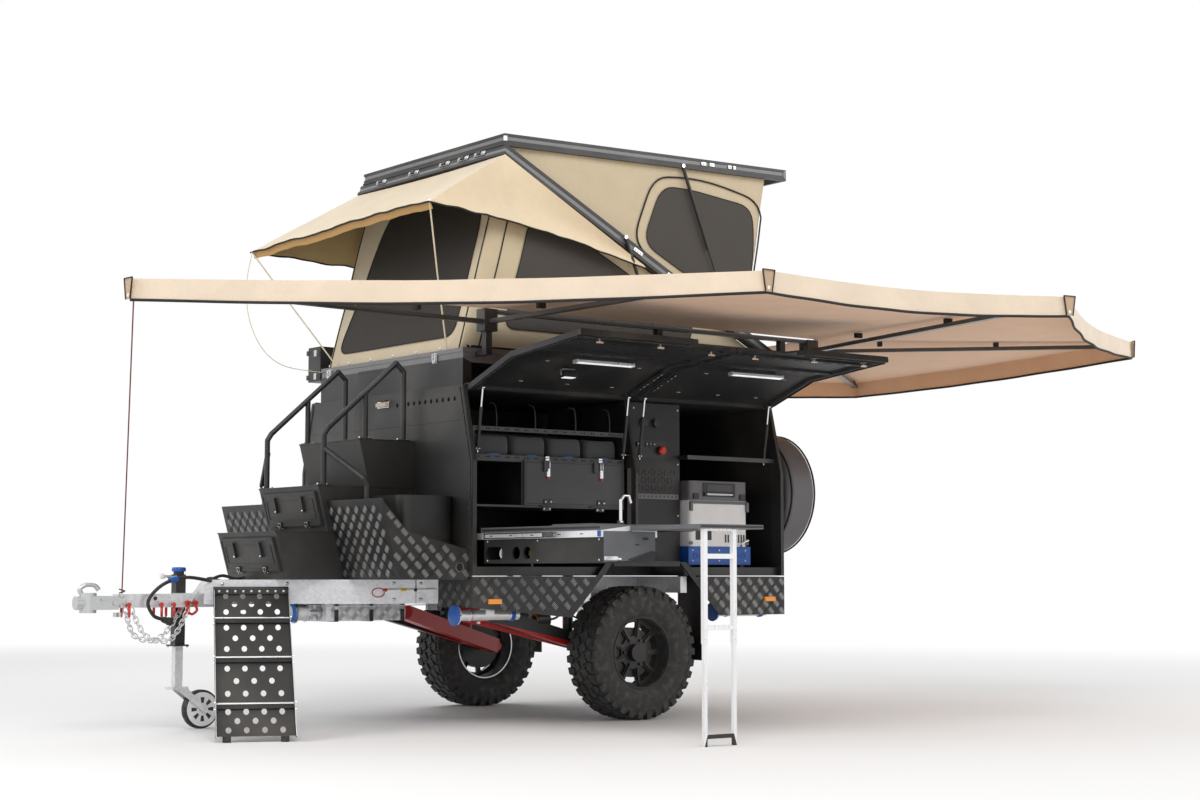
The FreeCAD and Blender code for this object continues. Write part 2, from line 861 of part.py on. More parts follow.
def safety_chains():
    runs = []
    for lead in (-1, 1):
        y = lead * draw_box_side
        x0 = draw_box_front_x - draw_box_side
        z0 = draw_box_top_z - draw_box_side - chain_radius * chain_seat_share
        pts = [(x0, lead * draw_box_side * half_share, z0),
               (x0 - draw_box_side, y, z0 - 2 * draw_box_side),
               (x0 - 3 * draw_box_side, y, z0 - chain_sag_shares[0] * draw_box_side),
               (x0 - chain_sag_shares[1] * draw_box_side, lead * draw_box_side * half_share, z0)]
        runs.append(pipe(pts, chain_radius))
    return group(runs)



def side_profile(inset=0.0):
    w, t = body_half_width - inset, body_top_half_width - inset
    lo, hi = sill_bottom_z + inset, body_top_z - inset
    return [(-w, lo), (w, lo), (w, kink_z), (t, hi), (-t, hi), (-w, kink_z)]


def arch_outline(margin, above):
    """Wheel opening in side view, grown sideways and upward."""
    rise = arch_top_z - sill_bottom_z + wall
    return [(arch_front_top_x + rise + margin, arch_top_z - rise),
            (arch_front_top_x + margin, arch_top_z + above),
            (arch_rear_top_x - margin, arch_top_z + above),
            (arch_rear_top_x - rise - margin, arch_top_z - rise)]


def arch_cutter():
    pts = [(arch_front_top_x + arch_top_z - sill_bottom_z, sill_bottom_z - wall),
           (arch_front_top_x, arch_top_z), (arch_rear_top_x, arch_top_z),
           (arch_rear_top_x - arch_top_z + sill_bottom_z, sill_bottom_z - wall)]
    return prism_xz(pts, arch_inner_y, body_half_width + wall)


def arch_tub():
    """Wheel box that closes the floor over one tyre."""
    rise = arch_top_z - sill_bottom_z
    outer = [(arch_front_top_x + rise + arch_sheet, sill_bottom_z),
             (arch_front_top_x + arch_sheet, arch_top_z + arch_sheet),
             (arch_rear_top_x - arch_sheet, arch_top_z + arch_sheet),
             (arch_rear_top_x - rise - arch_sheet, sill_bottom_z)]
    inner = [(arch_front_top_x + rise, sill_bottom_z - wall),
             (arch_front_top_x, arch_top_z), (arch_rear_top_x, arch_top_z),
             (arch_rear_top_x - rise, sill_bottom_z - wall)]
    tub = prism_xz(outer, arch_inner_y - arch_sheet, body_half_width - skirt_thickness)
    return tub.cut(prism_xz(inner, arch_inner_y, body_half_width + wall))


def body_shell():
    front = prism_yz(side_profile(), body_front_x - wall, body_front_x)
    rear = prism_yz(side_profile(), body_rear_x, body_rear_x + wall)
    floor = box(body_rear_x, -body_half_width + sill_depth, sill_bottom_z,
                body_front_x, body_half_width - sill_depth, sill_bottom_z + floor_thickness)
    roof = box(body_rear_x, -roof_edge_y, body_top_z - wall, body_front_x, roof_edge_y, body_top_z)
    parts = [front, rear, floor, roof]
    gap = door_thickness + door_gap
    for side in (1, -1):
        y_out = side * (body_half_width - gap)
        y_in = side * (body_half_width - gap - sill_depth)
        parts.append(box(body_rear_x, y_in, sill_bottom_z, body_front_x, y_out,
                         sill_bottom_z + sill_height))
        top = [(roof_edge_y - sill_depth, body_top_z), (roof_edge_y - sill_depth, kink_z),
               (body_half_width - gap - sill_depth, kink_z),
               (body_half_width - gap - sill_depth, sill_bottom_z),
               (body_half_width - gap, sill_bottom_z), (body_half_width - gap, kink_z - gap),
               (roof_edge_y, body_top_z - wall)]
        pts = [(side * y, z) for y, z in top]
        x0 = bay_split_x - inner_wall / 2
        parts.append(prism_yz(pts, x0, x0 + inner_wall))
        pin_y = side * body_top_half_width
        parts.append(rod((body_rear_x + wall / 2, pin_y, body_top_z),
                         (body_front_x - wall / 2, pin_y, body_top_z), hinge_pin_radius))
    parts.append(box(body_rear_x, inner_wall_y - inner_wall, sill_bottom_z,
                     body_front_x, inner_wall_y, body_top_z))
    shell = join(parts)
    holes = []
    for i in range(vent_count):
        y = vent_edge_y - vent_pitch * i
        holes.append(rod((body_front_x - 2 * wall, y, vent_z), (body_front_x + wall, y, vent_z),
                         vent_radius))
    arches = [arch_cutter(), mirrored(arch_cutter())]
    shell = cut(shell, holes + arches)
    return join([shell, arch_tub(), mirrored(arch_tub())])


def side_skirts():
    parts = []
    y0, y1 = body_half_width - skirt_thickness, body_half_width
    slope_top_front = arch_front_top_x
    rise = arch_top_z - skirt_front_bottom_z
    front = [(body_front_x, skirt_top_z), (body_front_x, skirt_front_bottom_z),
             (skirt_front_edge_x, skirt_rear_bottom_z),
             (slope_top_front, arch_top_z), (slope_top_front + skirt_trim * 2, arch_top_z),
             (arch_front_top_x + rise * half_share, skirt_top_z)]
    front_plate = prism_xz(front, y0, y1)
    rear = [(body_rear_x, skirt_top_z), (body_rear_x, skirt_rear_bottom_z),
            (skirt_rear_edge_x, skirt_rear_bottom_z),
            (arch_rear_top_x, arch_top_z), (arch_rear_top_x - skirt_trim * 2, arch_top_z),
            (arch_rear_top_x - rise * half_share, skirt_top_z)]
    rear_plate = prism_xz(rear, y0, y1)
    return_plate = box(body_front_x - skirt_thickness, skirt_return_y, skirt_front_bottom_z,
                       body_front_x, body_half_width, skirt_top_z)
    arch_bar = box(arch_rear_top_x, y0, arch_top_z - skirt_trim, arch_front_top_x, y1, arch_top_z)
    hang = box(mudflap_x, body_half_width - mudflap_width, mudflap_bottom_z,
               mudflap_x + mudflap_thickness, body_half_width - skirt_thickness, sill_bottom_z)
    plates = join([front_plate, rear_plate, return_plate, arch_bar, hang])
    parts += both_sides(plates)
    return group(parts)


def door(side, x0, x1):
    """Bent gull-wing door in its closed place, side 1 is the kitchen side."""
    t = door_thickness
    lean = (body_half_width - body_top_half_width) / (body_top_z - kink_z)
    fall = hinge_knuckle_radius * half_share

    def band(depth_from, depth_to):
        a, b = depth_from, depth_to
        outer = [(body_top_half_width - a, body_top_z - fall),
                 (body_half_width - a, kink_z), (body_half_width - a, door_bottom_z)]
        inner = [(body_half_width - b, door_bottom_z), (body_half_width - b, kink_z),
                 (body_top_half_width - b, body_top_z - fall)]
        return [(side * y, z) for y, z in outer + inner]

    whole = prism_yz(band(0, t), x0, x1)
    hollow = prism_yz([(side * y, z) for y, z in
                       [(body_top_half_width - door_skin + lean * door_top_rim, body_top_z - door_top_rim),
                        (body_half_width - door_skin, kink_z),
                        (body_half_width - door_skin, door_bottom_z + door_rim),
                        (body_half_width - 2 * t, door_bottom_z + door_rim),
                        (body_half_width - 2 * t, kink_z),
                        (body_top_half_width - 2 * t + lean * door_top_rim, body_top_z - door_top_rim)]],
                      x0 + door_rim, x1 - door_rim)
    panel = whole.cut(hollow)
    ribs = []
    run = x1 - x0 - 2 * door_rim
    for share in door_rib_shares:
        z = door_bottom_z + (kink_z - door_bottom_z) * share
        rib = box(x0 + door_rim, side * (body_half_width - door_skin), z - rib_width / 2,
                  x1 - door_rim, side * (body_half_width - door_skin - rib_height),
                  z + rib_width / 2)
        slots = []
        for k in range(rib_slot_count):
            x = x0 + door_rim + run * (k + half_share) / rib_slot_count
            slots.append(box(x - rib_slot_length / 2, side * (body_half_width - door_skin),
                             z - rib_slot_width / 2, x + rib_slot_length / 2,
                             side * (body_half_width - door_skin - rib_height),
                             z + rib_slot_width / 2))
        ribs.append(cut(rib, slots))
    tabs = []
    length = x1 - x0
    for share in door_tab_shares:
        x = x0 + length * share
        tabs.append(box(x - tab_width / 2, side * (body_half_width - tab_thickness),
                        door_bottom_z - tab_drop, x + tab_width / 2,
                        side * body_half_width, door_bottom_z + tab_length))
    lamp_z = kink_z - door_rim * 2
    mid = (x0 + x1) / 2
    lamp = box(mid - door_lamp_length / 2, side * (body_half_width - door_skin), lamp_z,
               mid + door_lamp_length / 2,
               side * (body_half_width - door_skin - door_lamp_height), lamp_z + door_lamp_width)
    knuckle = rod((x0, side * body_top_half_width, body_top_z),
                  (x1, side * body_top_half_width, body_top_z), hinge_knuckle_radius)
    bore = rod((x0 - wall, side * body_top_half_width, body_top_z),
               (x1 + wall, side * body_top_half_width, body_top_z),
               hinge_pin_radius + hinge_clearance)
    ears = []
    if side > 0:
        for x in strut_points((x0, x1)):
            near = x + strut_eye_radius + 2 * hinge_clearance
            ears.append(prism_yz([eye_place(door_strut_lever - strut_ear, door_skin / 2),
                                  eye_place(door_strut_lever + strut_ear, door_skin / 2),
                                  eye_place(door_strut_lever + strut_ear * half_share, t + strut_ear),
                                  eye_place(door_strut_lever - strut_ear * half_share, t + strut_ear)],
                                 near, near + tab_thickness))
    notch = prism_xz(arch_outline(door_arch_side_gap, door_arch_gap), -2 * body_half_width, 2 * body_half_width)
    return join([panel, knuckle, lamp] + ribs + tabs + ears).cut(group([bore, notch]))


door_front_span = (bay_split_x + door_split_gap / 2, body_front_x - wall - door_gap)
door_rear_span = (body_rear_x + wall + door_gap, bay_split_x - door_split_gap / 2)


def opened(shape, side):
    return turned(shape, (0, side * body_top_half_width, body_top_z), (1, 0, 0),
                  side * door_open_angle)


def strut_points(span):
    return (span[0] + door_strut_inset, span[1] - door_strut_inset)


def eye_place(lever, depth):
    """Point on a closed kitchen-side door, down its upper panel and inward."""
    dy, dz = body_half_width - body_top_half_width, kink_z - body_top_z
    run = math.hypot(dy, dz)
    dy, dz = dy / run, dz / run
    return (body_top_half_width + dy * lever + dz * depth, body_top_z + dz * lever - dy * depth)


def strut_eye(opened_by):
    """Eye of the lifting strut on the kitchen-side doors, in Y and Z."""
    ey, ez = eye_place(door_strut_lever, door_thickness + strut_eye_radius + hinge_clearance)
    y, z = ey - body_top_half_width, ez - body_top_z
    a = math.radians(opened_by)
    return (body_top_half_width + y * math.cos(a) - z * math.sin(a),
            body_top_z + y * math.sin(a) + z * math.cos(a))


def strut_line():
    ey, ez = strut_eye(door_open_angle)
    dy, dz = ey - door_strut_foot_y, ez - door_strut_foot_z
    run = math.hypot(dy, dz)
    return dy / run, dz / run, run


def strut_at(distance, x):
    dy, dz, run = strut_line()
    return (x, door_strut_foot_y + dy * distance, door_strut_foot_z + dz * distance)


def door_strut_tubes(span):
    tubes = []
    for x in strut_points(span):
        tube = rod(strut_at(0, x), strut_at(strut_tube_length, x), strut_tube_radius)
        bore = rod(strut_at(strut_tube_radius * 2, x), strut_at(strut_tube_length + 2 * strut_tube_radius, x),
                   strut_rod_radius + strut_bore_clearance)
        foot = rod((x - 2 * strut_tube_radius, door_strut_foot_y, door_strut_foot_z),
                   (x + 2 * strut_tube_radius, door_strut_foot_y, door_strut_foot_z),
                   strut_pin_radius + hinge_clearance)
        tubes.append(tube.fuse(ball(strut_at(0, x), strut_tube_radius)).cut(group([bore, foot])))
    return group(tubes)


def door_strut_rods(span):
    rods = []
    dy, dz, run = strut_line()
    for x in strut_points(span):
        ey, ez = strut_eye(door_open_angle)
        eye = rod((x - strut_eye_radius, ey, ez), (x + strut_eye_radius, ey, ez),
                  strut_eye_radius)
        stem = rod(strut_at(strut_tube_length * half_share, x), strut_at(run, x),
                   strut_rod_radius)
        rods.append(join([stem, eye]))
    return group(rods)



def step_outline(index):
    """Lean-forward side outline of one step box."""
    top, nose, heel = step_box_tops[index], step_box_noses[index], step_box_heels[index]
    low = step_floor_z if index == 0 else step_box_tops[index - 1] - step_sheet
    last = index == len(step_box_tops) - 1
    back = body_front_x + hinge_clearance
    return low, top, heel, nose, back, last


def step_box(index):
    """Storage box with a forward-leaning face, with a hatch in that face."""
    low, top, heel, nose, back, last = step_outline(index)
    s = step_sheet
    whole = prism_xz([(heel, low), (nose, top), (back, top), (back, low)],
                     -step_half_width, step_half_width)
    lean = (nose - heel) / (top - low)
    rear = back + s if last else back - s
    front = s * math.hypot(1, lean)
    inside = [(heel + lean * s - front, low + s), (nose - lean * s - front, top - s),
              (rear, top - s), (rear, low + s)]
    box_out = whole.cut(prism_xz(inside, -step_half_width + s, step_half_width - s))
    if last:
        return box_out
    m = lid_margin + lid_overlap
    hatch = box(heel - s, -step_half_width + m, low + m + s, nose + s,
                step_half_width - m, top - m)
    near = prism_xz([(heel - s, low), (heel + 3 * s, low), (nose + 3 * s, top),
                     (nose - s, top)], -step_half_width, step_half_width)
    return box_out.cut(hatch.common(near))


def stair_boxes():
    return join([step_box(i) for i in range(len(step_box_tops))])


def stair_lid_axis(index):
    """Hinge line along a stair lid's lower edge, in X and Z."""
    low, top, heel, nose, back, last = step_outline(index)
    lean = (nose - heel) / (top - low)
    z0 = low + lid_margin + step_sheet
    run = math.hypot(1, lean)
    out = hinge_clearance + lid_thickness / (2 * run)
    return heel + lean * (z0 - low) + out / run, z0 - out * lean / run


def stair_lid(index):
    low, top, heel, nose, back, last = step_outline(index)
    lean = (nose - heel) / (top - low)
    m = lid_margin
    z0, z1 = low + m + step_sheet, top - m
    x0, x1 = heel + lean * (z0 - low), heel + lean * (z1 - low)
    y = step_half_width - m
    t = lid_thickness
    g = hinge_clearance
    plate = prism_xz([(x0 + g, z0), (x1 + g, z1), (x1 + t, z1), (x0 + t, z0)], -y, y)
    handles = []
    for side in (-1, 1):
        hy = side * y * half_share
        handles.append(beam((x0 + lean * (z1 - z0) * lid_rib_shares[0] + t, hy,
                             z0 + (z1 - z0) * lid_rib_shares[0]),
                            (x0 + lean * (z1 - z0) * lid_rib_shares[1] + t, hy,
                             z0 + (z1 - z0) * lid_rib_shares[1]),
                            rib_height * 2, rib_height))
    ax, az = stair_lid_axis(index)
    for side in (-1, 1):
        hy = side * y * half_share
        half = lid_hinge_length / 2
        handles.append(rod((ax, hy - half, az), (ax, hy + half, az), lid_hinge_radius))
    return join([plate] + handles)


def front_tray():
    s = tray_sheet
    guard = [(tray_front_bottom_x, tray_floor_z), (tray_front_top_x, tray_guard_top_z),
             (tray_front_top_x - 2 * s, tray_guard_top_z),
             (tray_front_bottom_x - 2 * s, tray_floor_z)]
    face = prism_xz(guard, tray_inner_y, tray_side_y)
    side = [(tray_front_bottom_x, tray_floor_z), (tray_front_top_x, tray_guard_top_z),
            (tray_knee_x, tray_knee_z), (body_front_x, tray_rear_top_z),
            (body_front_x, tray_floor_z)]
    flank = prism_xz(side, tray_side_y - s, tray_side_y)
    base = box(body_front_x, tray_inner_y, tray_floor_z - 2 * s, tray_front_bottom_x, tray_side_y,
               tray_floor_z)
    case = box(body_front_x, tray_case_inner_y, tray_floor_z, tray_case_front_x,
               tray_case_outer_y, tray_case_top_z)
    case = round_edges(case, tray_case_corner, (0, 0, 1))
    half = join([face, flank, base, case])
    return group(both_sides(half))


def handrails():
    r, y = handrail_radius, handrail_y
    top = step_box_tops
    out = []
    for side in (1, -1):
        ys = side * y
        loop = [(handrail_heel_x, ys, top[2]), (handrail_heel_x, ys, handrail_heel_z),
                (handrail_apex_x, ys, handrail_apex_z), (handrail_knee_x, ys, handrail_knee_z),
                (handrail_front_x, ys, handrail_front_z), (handrail_front_x, ys, top[1])]
        mid = [(handrail_middle_x, ys, top[2]), (handrail_middle_x, ys, handrail_middle_z)]
        yb = side * handrail_brace_y
        brace = [(handrail_brace_top_x, ys, handrail_brace_top_z),
                 (handrail_brace_bend_x, yb, handrail_brace_bend_z),
                 (handrail_brace_foot_x, yb, handrail_brace_foot_z),
                 (handrail_brace_foot_x, yb, tray_guard_top_z - handrail_brace_sink)]
        out.append(join([pipe(loop, r), pipe(mid, r), pipe(brace, r)]))
    return group(out)


def entry_step():
    """Flight of four perforated steps hung square to the drawbar rail."""
    w, s = entry_width / 2, entry_sheet
    parts = []
    tops = entry_riser_breaks
    for side in (1, -1):
        parts.append(prism_yz_local(side * (w - s), side * w))
    for i in range(len(tops) - 1):
        z1, z0 = tops[i], tops[i + 1]
        y1 = entry_reach * (tops[0] - z1) / tops[0]
        y0 = entry_reach * (tops[0] - z0) / tops[0]
        riser = Part.Face(Part.makePolygon([Vector(-w, y1, z1), Vector(-w, y0, z0 + s),
                                            Vector(-w, y0 + s, z0 + s), Vector(-w, y1 + s, z1),
                                            Vector(-w, y1, z1)])).extrude(Vector(2 * w, 0, 0))
        holes = []
        for row, count in zip(entry_hole_row_shares, entry_hole_row_counts):
            z = z1 + (z0 - z1) * row
            yy = y1 + (y0 - y1) * row
            for k in range(count):
                x = (k - (count - 1) / 2) * w * entry_hole_pitch_share
                holes.append(Part.makeCylinder(entry_hole_radius, 4 * entry_hole_radius,
                                               Vector(x, yy - 2 * entry_hole_radius, z),
                                               Vector(0, 1, 0)))
        parts.append(cut(riser, holes))
    feet = []
    for side in (1, -1):
        x = side * w * entry_foot_share
        y = entry_reach * (tops[0] - tops[-1]) / tops[0]
        feet.append(Part.makeCylinder(entry_foot_radius, tops[-1] + s, Vector(x, y, 0)))
    bar = Part.makeCylinder(entry_bar_radius, 2 * w, Vector(-w, 0, tops[0]), Vector(1, 0, 0))
    out = join(parts + feet + [bar])
    y0 = rail_y(entry_rail_x) + (entry_bar_radius + stub_clearance) * math.hypot(1, draw_slope)
    out.rotate(Vector(0, 0, 0), Vector(0, 0, 1), -math.degrees(math.atan(draw_slope)))
    out.translate(Vector(entry_rail_x, y0, 0))
    return out


def prism_yz_local(x0, x1):
    tops = entry_riser_breaks
    h = entry_side_height
    pts = [(0, tops[0]), (entry_reach * (tops[0] - tops[-1]) / tops[0], tops[-1]),
           (entry_reach * (tops[0] - tops[-1]) / tops[0] + h, tops[-1]), (h, tops[0])]
    return prism_yz(pts, min(x0, x1), max(x0, x1))


def stabiliser_legs():
    out = []
    for x in (draw_start_x - leg_length * half_share, body_rear_x + leg_length * leg_rear_share):
        for side in (1, -1):
            y = side * (body_half_width - leg_pad_radius * 3)
            tube = rod((x - leg_length / 2, y, leg_z), (x + leg_length / 2, y, leg_z), leg_radius)
            pad = rod((x + leg_length / 2, y, leg_z),
                      (x + leg_length / 2 + leg_pad_height, y, leg_z), leg_pad_radius)
            top = draw_bottom_z if x > 0 else main_rail_top_z - main_rail_depth
            bracket = box(x - leg_radius, y - leg_radius, leg_z, x + leg_radius, y + leg_radius,
                          top)
            arm = box(x - leg_radius, side * main_rail_y, top,
                      x + leg_radius, y, top - leg_radius / 2)
            out.append(join([tube, pad, bracket, arm]))
    return group(out)


def spare_wheel():
    x1 = body_rear_x - spare_gap
    x0 = x1 - spare_width
    cover = rod((x0, spare_y, spare_z), (x1, spare_y, spare_z), spare_radius)
    cover = cover.makeFillet(spare_corner, [e for e in cover.Edges if e.Length > spare_radius])
    boss = rod((x1 - spare_gap, spare_y, spare_z), (body_rear_x, spare_y, spare_z),
               spare_boss_radius)
    return join([cover, boss])


def marker_lamps():
    out = []
    for x in (body_front_x - marker_length * marker_front_share, body_rear_x + marker_length):
        for side in (1, -1):
            y = side * body_half_width
            out.append(box(x, y, skirt_rear_bottom_z + marker_height * 3, x + marker_length,
                           y + side * marker_depth, skirt_rear_bottom_z + marker_height * 4))
    for side in (1, -1):
        y = side * (body_half_width - tail_lamp_width)
        out.append(box(body_rear_x - tail_lamp_depth, y, sill_bottom_z,
                       body_rear_x, y + side * tail_lamp_width * tail_lamp_reach_share,
                       sill_bottom_z + tail_lamp_height))
    return group(out)



def locker_unit():
    x0, x1, y0, y1 = locker_back_x, locker_front_x, locker_back_y, locker_face_y
    s = locker_sheet
    parts = [box(x0, y0, locker_bottom_z, x1, y1, locker_bottom_z + s),
             box(x0, y0, locker_top_z - s, x1, y1, locker_top_z),
             box(x0, y0, locker_bottom_z, x1, y0 + s, top_rail_z),
             box(cubby_back_x, y0, locker_bottom_z, cubby_back_x + s, y1, locker_top_z),
             box(x0, y0, locker_bottom_z, x0 + s, y1, top_rail_z),
             box(x1 - s, y0, locker_bottom_z, x1, y1, top_rail_z)]
    for z in (locker_top_z, top_rail_z - perforated_height):
        rail = box(x0, y1 - s, z, x1, y1, z + perforated_height)
        holes = []
        for k in range(perforated_pair_count):
            x = x0 + (x1 - x0) * (k + half_share) / perforated_pair_count
            for lead in (-1, 1):
                cx, cz = x + lead * perforated_hole, z + perforated_height / 2
                holes.append(box(cx - perforated_hole / 2, y1 - 2 * s, cz - perforated_hole / 2,
                                 cx + perforated_hole / 2, y1 + s, cz + perforated_hole / 2))
        parts.append(cut(rail, holes))
    column = box(column_rear_x, 0, column_bottom_z, column_front_x, column_face_y, column_top_z)
    room = box(column_rear_x + s, s, column_bottom_z - s, column_front_x - s,
               column_face_y - s, column_top_z - s)
    column = column.cut(room)
    height = column_top_z - column_bottom_z
    extras = []
    for sx, sz in panel_gauge_shares:
        x = column_front_x - (column_front_x - column_rear_x) * sx
        z = column_bottom_z + height * sz
        extras.append(rod((x, column_face_y, z), (x, column_face_y + gauge_radius, z),
                          gauge_radius))
    x = column_front_x - (column_front_x - column_rear_x) * panel_knob_share[0]
    z = column_bottom_z + height * panel_knob_share[1]
    extras.append(rod((x, column_face_y, z), (x, column_face_y + knob_radius, z), knob_radius))
    link = box(x0, y0, locker_bottom_z, column_front_x, y0 + s, locker_top_z)
    shelf = box(body_rear_x + wall, shelf_bar_y - s, shelf_bar_z, column_rear_x + s,
                shelf_bar_y, shelf_bar_z + perforated_height)
    bracket = box(column_rear_x, column_face_y - s, shelf_bar_z, column_rear_x + s,
                  shelf_bar_y, shelf_bar_z + perforated_height)
    whole = join(parts + [column, link, shelf, bracket] + extras)
    grown = arch_sheet + hinge_clearance
    return whole.cut(prism_xz(arch_outline(grown, grown), arch_inner_y - grown, body_half_width))


def locker_flap():
    s, g = locker_sheet, hinge_clearance
    x0, x1 = locker_back_x + s, cubby_back_x
    plate = box(x0, locker_face_y + g, locker_bottom_z + s, x1,
                locker_face_y + flap_thickness, locker_top_z - g)
    latches = []
    for share in flap_latch_shares:
        x = x0 + (x1 - x0) * share
        latches.append(rod((x - lid_hinge_length / 2, locker_face_y + flap_thickness,
                            locker_bottom_z + s),
                           (x + lid_hinge_length / 2, locker_face_y + flap_thickness,
                            locker_bottom_z + s), lid_hinge_radius))
        latches.append(box(x - rib_height, locker_face_y + flap_thickness,
                           locker_top_z - tab_length, x + rib_height,
                           locker_face_y + 2 * flap_thickness, locker_top_z))
    return join([plate] + latches)


def storage_bags():
    x0, x1 = locker_back_x + locker_sheet * 2, locker_front_x - locker_sheet * 2
    pitch = (x1 - x0) / bag_count
    z0 = locker_top_z + hinge_clearance
    out = []
    for i in range(bag_count):
        a = x0 + pitch * i + bag_gap / 2
        y1 = locker_face_y - locker_sheet - bag_gap / 2
        bag = box(a, y1 - bag_depth, z0, a + pitch - bag_gap, y1, bag_top_z)
        out.append(round_edges(bag, bag_corner, (0, 0, 1)))
    return group(out)


def kitchen_slide():
    x0, x1 = kitchen_rear_x, kitchen_front_x
    y0, y1 = kitchen_inner_y, kitchen_outer_y
    s = kitchen_sheet
    tub = box(x0, y0, kitchen_bottom_z, x1, y1, kitchen_top_z)
    tub = tub.cut(box(x0 + s, y0 + s, kitchen_bottom_z + s, x1 - s, y1 - s, kitchen_top_z + s))
    z = kitchen_bottom_z + (kitchen_top_z - kitchen_bottom_z) * kitchen_hole_height_share
    holes = []
    for n, share in enumerate(kitchen_hole_shares):
        y = y0 + (y1 - y0) * share
        reach = 0 if n else kitchen_slot_run / 2
        for lead in (-1, 1):
            holes.append(rod((x1 - 2 * s, y + lead * reach, z), (x1 + s, y + lead * reach, z),
                             kitchen_hole_radius))
        if reach:
            holes.append(box(x1 - 2 * s, y - reach, z - kitchen_hole_radius,
                             x1 + s, y + reach, z + kitchen_hole_radius))
    tub = cut(tub, holes)
    bench = box(bench_rear_x, y0, kitchen_top_z, bench_front_x, y1, bench_top_z)
    slot = box(bench_rear_x + bench_rim, y0 + bench_rim, kitchen_top_z - s,
               leaf_front_x - bench_rim, y1 + s, bench_top_z - bench_skin)
    ledge = box(bench_rear_x, y0, kitchen_top_z, bench_rear_x + 2 * bench_rim, y1,
                leaf_bottom_z() - hinge_clearance)
    bench = bench.cut(slot).fuse(ledge)
    rails = []
    for x in (x0 - runner_width, x1):
        rails.append(box(x, y0 - runner_tail, kitchen_top_z - runner_height, x + runner_width,
                         y1, kitchen_top_z))
    sinks = []
    for cx in ((bench_front_x + tap_x) / 2, (bench_rear_x + tap_x) / 2):
        half = sink_rim / 2
        sinks.append(box(cx - half, y1 - sink_rim * 2, bench_top_z, cx + half,
                         y1 - sink_rim * sink_back_share, bench_top_z + sink_height))
    tap_foot = rod((tap_x, tap_y, bench_top_z), (tap_x, tap_y, bench_top_z + tap_base_height),
                   tap_base_radius)
    hole = rod((tap_x - tap_base_radius, tap_y, tap_pivot_z()),
               (tap_x + tap_base_radius, tap_y, tap_pivot_z()), tap_pin_radius)
    ears = []
    for side in (1, -1):
        x = tap_x + side * (tap_radius + hinge_clearance)
        ears.append(box(x, tap_y - tap_radius, bench_top_z, x + side * tap_ear,
                        tap_y + tap_radius, tap_pivot_z() + tap_radius))
    return join([tub, bench, tap_foot, hole] + rails + sinks + ears)


def leaf_bottom_z():
    return bench_top_z - bench_skin - hinge_clearance - leaf_thickness


def bench_leaf():
    """Extension board that pulls out from under the bench top."""
    g = 2 * hinge_clearance
    return box(bench_rear_x + bench_rim + g, kitchen_outer_y - leaf_tail, leaf_bottom_z(),
               leaf_front_x - bench_rim - g, leaf_outer_y, leaf_bottom_z() + leaf_thickness)


def tap_pivot_z():
    return bench_top_z + tap_base_height + tap_radius + hinge_clearance


def kitchen_tap():
    """Swan-neck spout that folds down about a pin over its foot."""
    x, y, z = tap_x, tap_y, tap_pivot_z()
    h, r = tap_height, tap_reach
    barrel = rod((x - tap_radius, y, z), (x + tap_radius, y, z), tap_radius)
    neck = pipe([(x, y, z), (x, y, bench_top_z + h * tap_bend_share),
                 (x - r * tap_curve_share, y, bench_top_z + h - tap_radius),
                 (x - r * tap_nose_share, y, bench_top_z + h - tap_radius),
                 (x - r, y, bench_top_z + h * tap_mouth_share)], tap_radius)
    bore = rod((x - 2 * tap_radius, y, z), (x + 2 * tap_radius, y, z),
               tap_pin_radius + hinge_clearance)
    return join([barrel, neck]).cut(bore)


def kitchen_runners():
    """Fixed tracks in the body that carry the kitchen's two runners."""
    out = []
    g = hinge_clearance
    depth = kitchen_travel + runner_tail
    track_end = body_half_width - door_thickness - 2 * door_gap
    for x in (kitchen_rear_x - runner_width, kitchen_front_x):
        outer_x = x - runner_width if x < kitchen_front_x else x + runner_width
        z1 = kitchen_top_z - g
        out.append(box(outer_x + (-g if x < kitchen_front_x else g), kitchen_inner_y - depth,
                       sill_bottom_z + floor_thickness,
                       outer_x + runner_width + (-g if x < kitchen_front_x else g),
                       track_end, z1))
    return out


def strut_pins():
    """Pins on the end walls and the middle post that carry the struts' feet."""
    out = []
    walls = ((door_front_span, bay_split_x, body_front_x - wall),
             (door_rear_span, body_rear_x + wall, bay_split_x))
    for span, low_wall, high_wall in walls:
        near, far = strut_points(span)
        for a, b in ((low_wall, near + strut_tube_radius), (far - strut_tube_radius, high_wall)):
            out.append(rod((a, door_strut_foot_y, door_strut_foot_z),
                           (b, door_strut_foot_y, door_strut_foot_z), strut_pin_radius))
    return out


def fridge_runners():
    """Fixed tracks on the floor under the fridge's tray."""
    out = []
    for x in (fridge_rear_x, fridge_front_x - runner_height):
        out.append(box(x, fridge_inner_y, sill_bottom_z + floor_thickness, x + runner_height,
                       fridge_outer_y - runner_height, fridge_tray_z - hinge_clearance))
    return out


